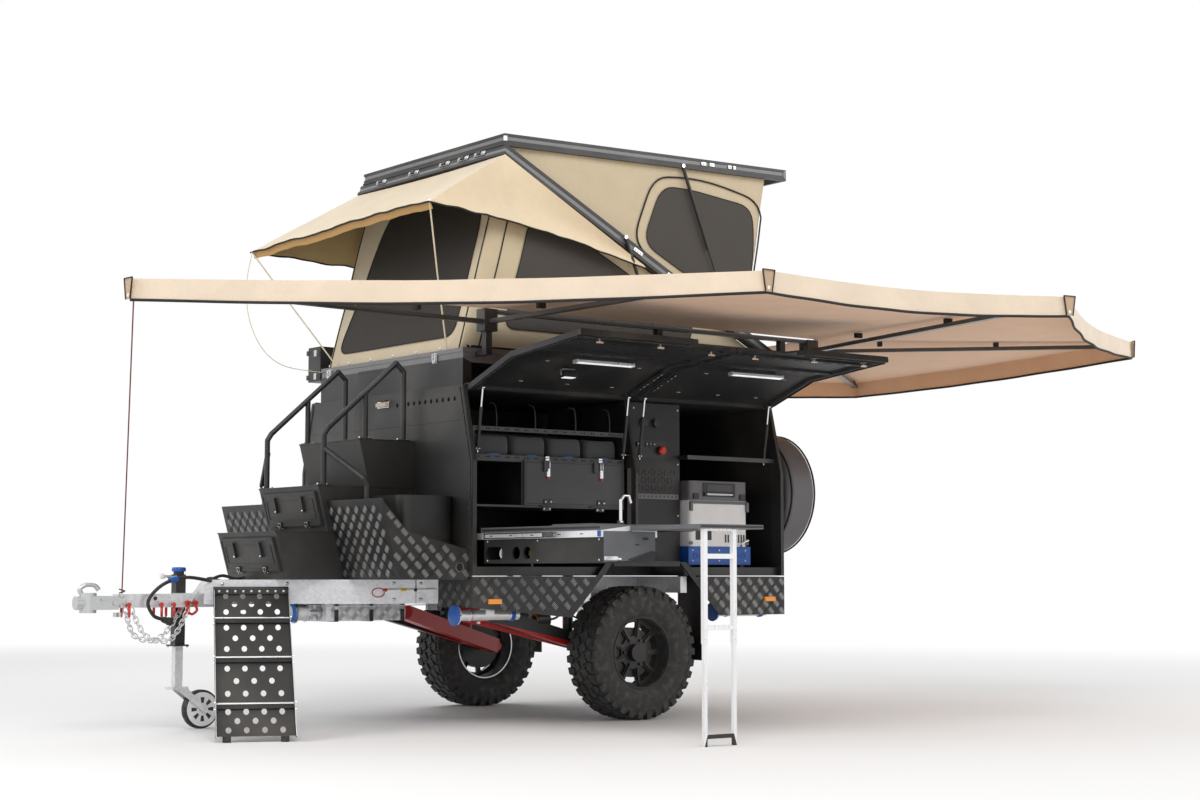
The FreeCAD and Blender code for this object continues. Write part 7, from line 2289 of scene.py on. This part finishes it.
@dataclass
class DrawbarGear:
    """Shackles, lugs, cable, winch ropes and jack head on the drawbar, and the jockey wheel's spokes."""

    half_width: float = 0.038
    jack_x: float = 2.565
    jack_y: float = -0.092

    @staticmethod
    def shackle(shape: Shape, top: Spot, size: float, across: Spot = (0, 1, 0)) -> None:
        """Adds a bow shackle that hangs from a point.

        Args:
            shape: the piece that takes it.
            top: the pin's middle.
            size: the bow's depth.
            across: the pin's direction.
        """
        top, across = Vector(top), Vector(across).normalized()
        w = across * size * 0.42
        drop = Vector((0, 0, -size))
        bow = [top + w, top + w + drop * 0.35, top + w * 1.25 + drop * 0.75, top + drop * 1.12,
            top - w * 1.25 + drop * 0.75, top - w + drop * 0.35, top - w]
        shape.tube(wander(bow, 4), size * 0.13, 10)
        shape.rod(top - w * 1.5, top + w * 1.5, size * 0.12, sides=10)
        shape.rod(top + w * 1.2, top + w * 1.7, size * 0.2, sides=6)
        for s in (1, -1):
            shape.rod(top + w * 0.8 * s, top + w * 1.2 * s, size * 0.22, sides=14)

    def build(self) -> None:
        """Builds the gear from the coupling back to the winch."""
        red = Shape("drawbar_shackles", RED_ANODISED)
        for x in (2.93, 2.735, 2.66, 2.55):
            for side in (1, -1):
                self.shackle(red, (x, side * 0.05, 0.708 if x > 2.6 else 0.716), 0.058,
                    (1, 0, 0) if x < 2.6 else (0.5, 1, 0))
        red.build("chassis")
        lugs = Shape("drawbar_lugs", STEEL, CAST, BLACK_PLASTIC)
        for x in (2.93, 2.735, 2.66, 2.55):
            for side in (1, -1):
                lugs.box((x - 0.016, side * self.half_width, 0.694), (x + 0.016, side * 0.044, 0.73))
        for x in (2.955, 2.975):
            for z in (0.7, 0.758):
                lugs.lathe([(0, 0.01), (0.01, 0.008), (0.011, 0), (0, 0)], (x, 0.048, z), (0, 1, 0), 6)
        lugs.use(1).tube(wander([(3.09, 0.0, 0.79), (3.115, 0.0, 0.815), (3.165, 0.0, 0.818),
            (3.2, 0.0, 0.795), (3.19, 0.0, 0.77)], 5), 0.013, 12)
        lugs.rod((3.085, -0.055, 0.745), (3.085, 0.055, 0.745), 0.014, sides=14)
        lugs.rod((3.01, -0.056, 0.719), (3.01, 0.056, 0.719), 0.018, sides=6)
        lugs.use(0)
        for x in (2.965, 2.99):
            lugs.rod((x, 0.0, 0.64), (x, 0.0, 0.665), 0.012, sides=6)
        lugs.use(2).lathe([(0, 0.004), (0.011, 0.004), (0.011, 0), (0, 0)], (2.77, self.half_width, 0.742),
            (0, 1, 0), 16)
        lugs.build("chassis", bevel=0.001)
        path = wander([(2.44, 0.062, 0.838), (2.6, 0.07, 0.858), (2.74, 0.075, 0.82), (2.83, 0.078, 0.73),
            (2.8, 0.078, 0.65), (2.74, 0.074, 0.625)], 8)
        cable = Shape("trailer_cable", SOFT_BLACK)
        cable.tube(path, 0.01, 12)
        made = cable.build("chassis")
        plug = Shape("trailer_cable_plug", BLACK_PLASTIC)
        plug.lathe([(0, -0.004), (0.014, -0.004), (0.018, 0.008), (0.019, 0.03), (0.023, 0.034),
            (0.023, 0.056), (0, 0.056)], path[-1], path[-1] - path[-3], 20)
        tip = plug.build("chassis")
        length = sum((b - a).length for a, b in zip(path, path[1:]))
        tuple(path[0] - PIN)
        [tuple(p - PIN) for p in path]
        ends = Shape("trailer_cable_loops", BLACK_PLASTIC, BLUE, SOFT_BLACK)
        ends.use(1).rod((2.655, 0.0715, 0.852), (2.7, 0.0735, 0.842), 0.017, sides=16)
        ends.use(2).tube(wander([(2.44, -0.02, 0.835), (2.38, -0.06, 0.85), (2.3, -0.06, 0.832),
            (2.2, -0.05, 0.845)], 5), 0.012, 10)
        ends.tube(wander([(2.44, 0.04, 0.842), (2.35, 0.02, 0.868), (2.25, -0.01, 0.85),
            (2.18, -0.03, 0.856)], 5), 0.009, 10)
        ends.build("chassis")
        jack = Shape("jack_head", BLUE, STEEL, WHITE)
        jack.lathe([(0, 0.012), (0.036, 0.01), (0.04, 0.002), (0.04, -0.014), (0.034, -0.014), (0.034, 0),
            (0, 0)], (self.jack_x, self.jack_y, 0.9055), (0, 0, 1), 28)
        jack.use(1).rod((2.595, self.jack_y, 0.865), (2.655, self.jack_y, 0.865), 0.009, sides=12)
        jack.use(2).lathe([(0, 0.026), (0.014, 0.024), (0.018, 0.012), (0.014, 0), (0, 0)],
            (2.655, self.jack_y, 0.865), (1, 0, 0), 16)
        jack.use(1)
        for z in (0.7, 0.762):
            jack.box((2.512, -0.06, z - 0.008), (2.618, -0.036, z + 0.008))
        for dx, dy in ((0.04, 0.04), (0.04, -0.04), (-0.04, 0.04), (-0.04, -0.04)):
            x, y = self.jack_x + dx, self.jack_y + dy
            jack.rod((x, y, 0.463), (x, y, 0.48), 0.007, sides=6)
        jack.build("chassis", bevel=0.001)
        wheel = Shape("jockey_wheel_trim", BLACK_PLASTIC, STEEL)
        for side in (1, -1):
            y = self.jack_y + side * 0.0285
            for k in range(8):
                a = 2 * pi * k / 8
                c = Vector((2.417 + 0.052 * cos(a), y, 0.11 + 0.052 * sin(a)))
                u, v = Vector((cos(a), 0, sin(a))), Vector((-sin(a), 0, cos(a)))
                wheel.prism([c - u * 0.016 - v * 0.007, c + u * 0.016 - v * 0.012, c + u * 0.016 + v * 0.012,
                    c - u * 0.016 + v * 0.007], (0, side * 0.001, 0))
        wheel.build("jockey_wheel")
        wires = Shape("winch_ropes", STEEL, BLUE_STRAP, SOFT_BLACK)
        for a, b in (((2.01, 0.214, 0.702), (2.33, 0.14, 0.672)),
                ((2.01, 0.214, 0.622), (2.33, 0.14, 0.655)), ((1.83, 0.31, 0.69), (1.3, 0.56, 0.7))):
            wires.tube([a, lerp(Vector(a), Vector(b), 0.5) - Vector((0, 0, 0.003)), b], 0.003, 6)
        wires.use(1).lathe([(0.047, -0.012), (0.056, -0.01), (0.056, 0.01), (0.047, 0.012)],
            (2.012, 0.214, 0.656), (1, 0, 0), 32)
        wires.use(0).lathe([(0.047, -0.004), (0.062, -0.004), (0.062, 0.004), (0.047, 0.004)],
            (1.99, 0.214, 0.656), (1, 0, 0), 32)
        wires.use(2).box((1.84, 0.16, 0.7), (2.006, 0.268, 0.708))
        wires.build("chassis")
        pig = Shape("rail_cable_end", RED_ANODISED, WHITE, YELLOW, SOFT_BLACK)

        def rail(x: float, z: float, out: float) -> Vector:
            """Place on the drawbar rail's outer face."""
            return Vector((x, rail_y(x) + out, z))

        pig.tube([rail(1.585 + 0.032 * cos(a / 9 * pi), 0.77 + 0.026 * sin(a / 9 * pi), 0.008)
            for a in range(18)], 0.003, 6, closed=True)
        pig.use(1).tube([rail(1.55, 0.784, 0.01), rail(1.285, 0.786, 0.01)], 0.007, 10)
        pig.use(2).tube([rail(1.47, 0.785, 0.01), rail(1.44, 0.785, 0.01)], 0.0085, 10)
        pig.use(0).tube([rail(1.56, 0.784, 0.01), rail(1.54, 0.784, 0.01)], 0.009, 10)
        pig.use(3).tube([rail(1.4, 0.785, 0.01), rail(1.385, 0.785, 0.01)], 0.0085, 10)
        pig.build("chassis")


@dataclass
class UnderGear:
    """Clamps of the stabiliser legs, air tanks with their hoses, and the drawbar's bolts."""

    leg_y: float = 0.81

    def build(self) -> None:
        """Builds the fittings under the sill."""
        gear = Shape("stabiliser_fittings", BLUE, STEEL, SOFT_BLACK, BRONZE)
        for x0 in (1.055, -0.9065):
            for side in (1, -1):
                y = side * self.leg_y
                gear.use(0).lathe([(0.03, -0.012), (0.038, -0.01), (0.038, 0.01), (0.03, 0.012)],
                    (x0 - 0.17, y, 0.64), (1, 0, 0), 24)
                gear.lathe([(0.056, -0.004), (0.06, 0), (0.06, 0.006), (0.052, 0.01), (0, 0.01),
                    (0, -0.004)], (x0 + 0.228, y, 0.64), (1, 0, 0), 28)
                gear.use(1).lathe([(0.03, -0.006), (0.034, -0.005), (0.034, 0.005), (0.03, 0.006)],
                    (x0 + 0.12, y, 0.64), (1, 0, 0), 24)
                gear.rod((x0, y + side * 0.03, 0.672), (x0, y + side * 0.046, 0.672), 0.012, sides=6)
                gear.rod((x0 + 0.06, y, 0.604), (x0 + 0.06, y, 0.59), 0.01, sides=10)
        gear.build("chassis", bevel=0.001)
        air = Shape("air_fittings", BLACK_PLASTIC, BRASS, SOFT_BLACK, STEEL)
        for side in (1, -1):
            air.use(0).rod((0.56, side * 0.6, 0.6), (0.47, side * 0.6, 0.6), 0.046, sides=28)
            air.use(1).lathe([(0.03, 0), (0.04, 0), (0.04, 0.006), (0.03, 0.006)], (0.56, side * 0.6, 0.6),
                (1, 0, 0), 28)
            air.use(3).box((0.48, side * 0.585, 0.64), (0.55, side * 0.615, 0.7))
            air.use(2).tube(wander([(0.47, side * 0.6, 0.6), (0.38, side * 0.59, 0.62),
                (0.3, side * 0.5, 0.7), (0.28, side * 0.44, 0.735)], 5), 0.007, 8)
            air.tube(wander([(-0.02, side * 0.6, 0.47), (0.1, side * 0.56, 0.56), (0.26, side * 0.47, 0.66),
                (0.28, side * 0.44, 0.735)], 5), 0.006, 8)
        air.build("chassis")
        bolts = Repeat(Unit.DOME, STEEL, 0.022, 0.022, 0.014)
        for side in (1, -1):
            for x in (1.36, 1.5, 2.05, 2.38):
                for z in (0.73, 0.822):
                    y = side * (rail_y(x) + 0.001)
                    bolts.add((x, y, z), (0.435, side * 0.9, 0), (0, 0, 1))
        bolts.bake("drawbar_bolts", "chassis")


@dataclass
class BodyTrim:
    """Seams, rivets, lamp, hinges and plates on the body and its ends."""

    front: float = 1.2705
    rear: float = -1.1435
    spare: tuple[float, float] = (0.61, 1.4)

    def build(self) -> None:
        """Builds the trim of the body's walls."""
        trim = Shape("body_trim", BLACK, STEEL, LAMP_PALE, SOFT_BLACK, CHROME)
        for x, way in ((self.front, 1), (self.rear, -1)):
            trim.use(0).box((x, -0.9, 1.76), (x + way * 0.0012, 0.9, 1.764))
            for side in (1, -1):
                line = [(x, side * 0.962, 0.89), (x, side * 0.962, KNEE), (x, side * 0.852, 1.96)]
                for a, b in zip(line, line[1:]):
                    trim.bar(a, b, 0.004, 0.016, (0, side, 0))
                trim.use(3).tube([(x + way * 0.001, side * 0.945, 0.89),
                    (x + way * 0.001, side * 0.945, KNEE), (x + way * 0.001, side * 0.836, 1.955)], 0.004, 8)
                trim.use(0)
        trim.use(4).box((self.front, -0.055, 1.884), (self.front + 0.006, 0.075, 1.924))
        trim.use(2).box((self.front + 0.006, -0.045, 1.89), (self.front + 0.026, 0.065, 1.914))
        trim.use(0).prism([(self.front + 0.004, -0.058, 1.926), (self.front + 0.036, -0.05, 1.922),
            (self.front + 0.036, 0.07, 1.922), (self.front + 0.004, 0.078, 1.926)], (0, 0, 0.004))
        trim.use(1)
        for x in (1.212, 0.99):
            for z in (2.15, 2.31):
                trim.box((x - 0.012, -1.0195, z - 0.016), (x + 0.012, -1.024, z + 0.016))
        for z in (2.15, 2.3):
            trim.box((1.229, -0.905, z - 0.02), (1.236, -0.875, z + 0.02))
        trim.build("chassis", bevel=0.0008)
        rivets = Repeat(Unit.DOME, LOCKER_GREY, 0.012, 0.012, 0.005)
        for x, way in ((self.front, 1), (self.rear, -1)):
            for side in (1, -1):
                for k in range(9):
                    z = 0.92 + 0.11 * k
                    y = side * (0.925 - max(z - KNEE, 0) * 0.248)
                    rivets.add((x + way * 0.0005, y, z), (way, 0, 0), (0, 0, 1))
        for side in (1, -1):
            for k in range(12):
                x = 1.24 - 0.075 * k
                if x > 0.42:
                    rivets.add((x, side * 0.9755, 0.848), (0, side, 0), (1, 0, 0))
        rivets.bake("body_rivets", "chassis")
        spare = Shape("spare_cover_trim", HEM, STEEL)
        for x in (-1.395, -1.195):
            spare.lathe([(0.386, -0.006), (0.3935, -0.004), (0.3935, 0.004), (0.386, 0.006)],
                (x, *self.spare), (1, 0, 0), 64)
        spare.use(1).lathe([(0, -0.006), (0.03, -0.005), (0.032, 0), (0, 0)],
            (-1.409, *self.spare), (1, 0, 0), 24)
        spare.build("chassis")


@dataclass
class AwningGear:
    """Straps on the arms, pockets at the tips and the ties of the awning and fly."""

    def build(self) -> None:
        """Builds the awning's small cloth parts and its ties."""
        fan = FanAwning()
        straps = Shape("awning_arm_straps", HEM, STEEL)
        pockets = Shape("awning_tip_pockets", AWNING_WEB, HEM, STUD)
        for i, tip in enumerate(fan.tips):
            hub = fan.hub(i / fan.panels)
            tip = Vector(tip)
            flat = Vector((tip.x - hub.x, tip.y - hub.y, 0)).normalized()
            across = Vector((-flat.y, flat.x, 0))
            for share in (0.22, 0.58, 0.9):
                p = lerp(hub, tip, share) - Vector((0, 0, 0.026))
                straps.use(0).bar(p - flat * 0.014, p + flat * 0.014, 0.048, 0.03)
            corner = fan.skirt(i / fan.panels, 0.0)
            pockets.use(0)
            low = corner + flat * 0.007 - Vector((0, 0, 0.105))
            top = corner + flat * 0.007 + Vector((0, 0, 0.004))
            w = across * 0.04
            pockets.prism([top - w, top + w, low + w * 0.55, low - w * 0.55], flat * 0.004)
            pockets.use(1).bar(top - w * 1.02 + flat * 0.005, low - w * 0.55 + flat * 0.005, 0.004, 0.008,
                flat)
            pockets.bar(top + w * 1.02 + flat * 0.005, low + w * 0.55 + flat * 0.005, 0.004, 0.008, flat)
            pockets.bar(top - w + flat * 0.005, top + w + flat * 0.005, 0.004, 0.01, flat)
            pockets.use(2).lathe([(0, 0.004), (0.009, 0.003), (0.01, 0), (0, 0)],
                corner + flat * 0.011 - Vector((0, 0, 0.085)), flat, 12)
        straps.build("chassis")
        pockets.build("chassis")
        tie = Shape("awning_tie", TIE_RED)
        a, b = Vector((3.398, 1.034, 2.255)), Vector((2.966, 0.03, 0.772))
        tie.tube([lerp(a, b, k / 12) for k in range(13)], 0.0038, 8)
        tie.tube([b + Vector((0.016 * cos(k / 6 * pi), 0.01 * sin(k / 6 * pi), 0.002 * k))
            for k in range(12)], 0.004, 6)
        tie.build("chassis")
        path = wander([(1.674, -0.946, 2.905), (1.7, -0.955, 2.74), (1.69, -0.95, 2.52),
            (1.61, -0.925, 2.32), (1.47, -0.885, 2.205), (1.24, -0.8, 2.168)], 8)
        line = Shape("fly_tie_cord", POLE)
        line.tube(path, 0.0026, 8)
        made = Tent().fold_fly(line.build("middle_frame"))
        length = sum((q - p).length for p, q in zip(path, path[1:]))
        tuple(path[-1] - PIN)
        [tuple(p - PIN) for p in reversed(path)]


@dataclass
class Chains:
    """Two safety chains looped under the coupling."""

    side: float = 0.076
    front: float = 2.99
    top: float = 0.767

    def build(self) -> None:
        """Builds each chain along the route of its solid."""
        for lead, name in ((-1, "right"), (1, "left")):
            s = self.side
            z0 = self.top - s - 0.009 * 0.6
            x0 = self.front - s
            route = [(x0, lead * s * 0.5, z0), (x0 - s, lead * s, z0 - 2 * s),
                (x0 - 3 * s, lead * s, z0 - 2.2 * s), (x0 - 4.6 * s, lead * s * 0.5, z0)]
            links = Repeat(Unit.LINK, ZINC, 0.04, 0.026, 0.0068)
            line = wander(route, 10)
            length = sum((b - a).length for a, b in zip(line, line[1:]))
            count = round(length / 0.0272)
            for k in range(count):
                want, i = length * (k + 0.5) / count, 0
                while i < len(line) - 2 and want > (line[i + 1] - line[i]).length:
                    want -= (line[i + 1] - line[i]).length
                    i += 1
                along = (line[i + 1] - line[i]).normalized()
                flat = along.cross(Vector((0, 1, 0))).normalized()
                normal = flat if k % 2 else Vector((0, 1, 0))
                links.add(line[i] + along * want, normal, along)
            made = links.bake(f"safety_chain_{name}", "chassis")
            if lead < 0:
                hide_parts("safety_chains")
            tuple(line[0] - PIN)
            [tuple(p - PIN) for p in line]


@dataclass
class Studio:
    """Pale floor, soft light and the photo's camera."""

    lens: float = 60.67
    eye: tuple[float, float, float] = (7.79298, 10.49449, 0.87589)
    yaw: float = 0.66333
    pitch: float = 0.0859445

    def build(self) -> None:
        """Builds the floor, the lamps, the world and the camera."""
        scene = bpy.context.scene
        scene.view_settings.view_transform = "Standard"
        mesh = bpy.data.meshes.new("studio_floor")
        corners = [at(x, y, 0) for x, y in ((-60, -60), (60, -60), (60, 60), (-60, 60))]
        mesh.from_pydata(corners, [], [(0, 1, 2, 3)])
        ground = placed("studio_floor", mesh)
        mesh.materials.append(self.floor_material())
        for name, place, size, power in (("studio_key", (5.5, 8.0, 9.5), 6.0, 620.0),
                ("studio_fill", (-7.0, 7.0, 7.0), 6.0, 300.0),
                ("studio_front", (9.5, -1.5, 6.0), 5.0, 260.0),
                ("studio_back", (-3.0, -8.0, 8.0), 6.0, 260.0)):
            light = bpy.data.lights.new(name, "AREA")
            light.energy, light.size = power, size
            lamp = placed(name, light)
            lamp.location = at(*place)
            aim = at(0.3, 0.2, 1.2) - lamp.location
            lamp.rotation_euler = aim.to_track_quat("-Z", "Y").to_euler()
        self.world()
        eye = bpy.data.cameras.new("photo_camera")
        eye.lens, eye.sensor_width, eye.sensor_fit = self.lens, 36.0, "HORIZONTAL"
        camera = placed("photo_camera", eye)
        camera.location = at(*self.eye)
        look = Vector((-sin(self.yaw) * cos(self.pitch), -cos(self.yaw) * cos(self.pitch), sin(self.pitch)))
        camera.rotation_euler = look.to_track_quat("-Z", "Y").to_euler()
        scene.camera = camera

    def floor_material(self) -> bpy.types.Material:
        """White floor that keeps the shadow near the trailer and fades out to plain white.

        Returns:
            The material.
        """
        g = Graph("studio_floor")
        glow = g.node("ShaderNodeEmission", {"Color": (1, 1, 1, 1), "Strength": 1.0})
        g.set(Base_Color=g.blend(g.noise(0.4), (0.84, 0.84, 0.84, 1), (0.86, 0.86, 0.86, 1)), Roughness=0.9)
        end = next(n for n in g.tree.nodes if n.type == "OUTPUT_MATERIAL")
        far = g.node("ShaderNodeVectorMath", {0: g.place}, out="Value", operation="LENGTH").ease(7.0, 16.0)
        both = g.tree.nodes.new("ShaderNodeMixShader")
        g.tree.links.new(far.socket, both.inputs[0])
        g.tree.links.new(g.shader.outputs[0], both.inputs[1])
        g.tree.links.new(glow.socket, both.inputs[2])
        g.tree.links.new(both.outputs[0], end.inputs["Surface"])
        return g.material

    def world(self) -> None:
        """White to the camera, in mirrors and through glass; softer as light."""
        world = bpy.data.worlds.new("studio")
        bpy.context.scene.world = world
        world.use_nodes = True
        tree = world.node_tree
        tree.nodes.clear()
        path = tree.nodes.new("ShaderNodeLightPath")
        white = tree.nodes.new("ShaderNodeMath")
        white.operation = "MAXIMUM"
        tree.links.new(path.outputs["Is Camera Ray"], white.inputs[0])
        gloss = tree.nodes.new("ShaderNodeMath")
        gloss.operation = "MAXIMUM"
        tree.links.new(path.outputs["Is Glossy Ray"], gloss.inputs[0])
        tree.links.new(path.outputs["Is Transmission Ray"], gloss.inputs[1])
        tree.links.new(gloss.outputs[0], white.inputs[1])
        strength = tree.nodes.new("ShaderNodeMapRange")
        strength.inputs["To Min"].default_value = 0.55
        strength.inputs["To Max"].default_value = 1.0
        tree.links.new(white.outputs[0], strength.inputs["Value"])
        sky = tree.nodes.new("ShaderNodeBackground")
        sky.inputs["Color"].default_value = (1, 1, 1, 1)
        tree.links.new(strength.outputs[0], sky.inputs["Strength"])
        end = tree.nodes.new("ShaderNodeOutputWorld")
        tree.links.new(sky.outputs[0], end.inputs["Surface"])


def main() -> None:
    """Builds and dresses the trailer in order."""
    logging.basicConfig(level=logging.INFO, format="%(name)s: %(message)s")
    for part in (Solids(), Tent(), FanAwning(), TentHardware(), AwningGear(), Tyres(), StorageBags(),
            DoorLamps(), DoorGear(), LockerGear(), FridgeGear(), KitchenGear(), TreadPlate(), StairGear(),
            EntryTrim(), DrawbarGear(), UnderGear(), BodyTrim(), Chains(), Studio()):
        LOG.info("building %s", type(part).__name__)
        part.build()


if __name__ == "__main__":
    main()
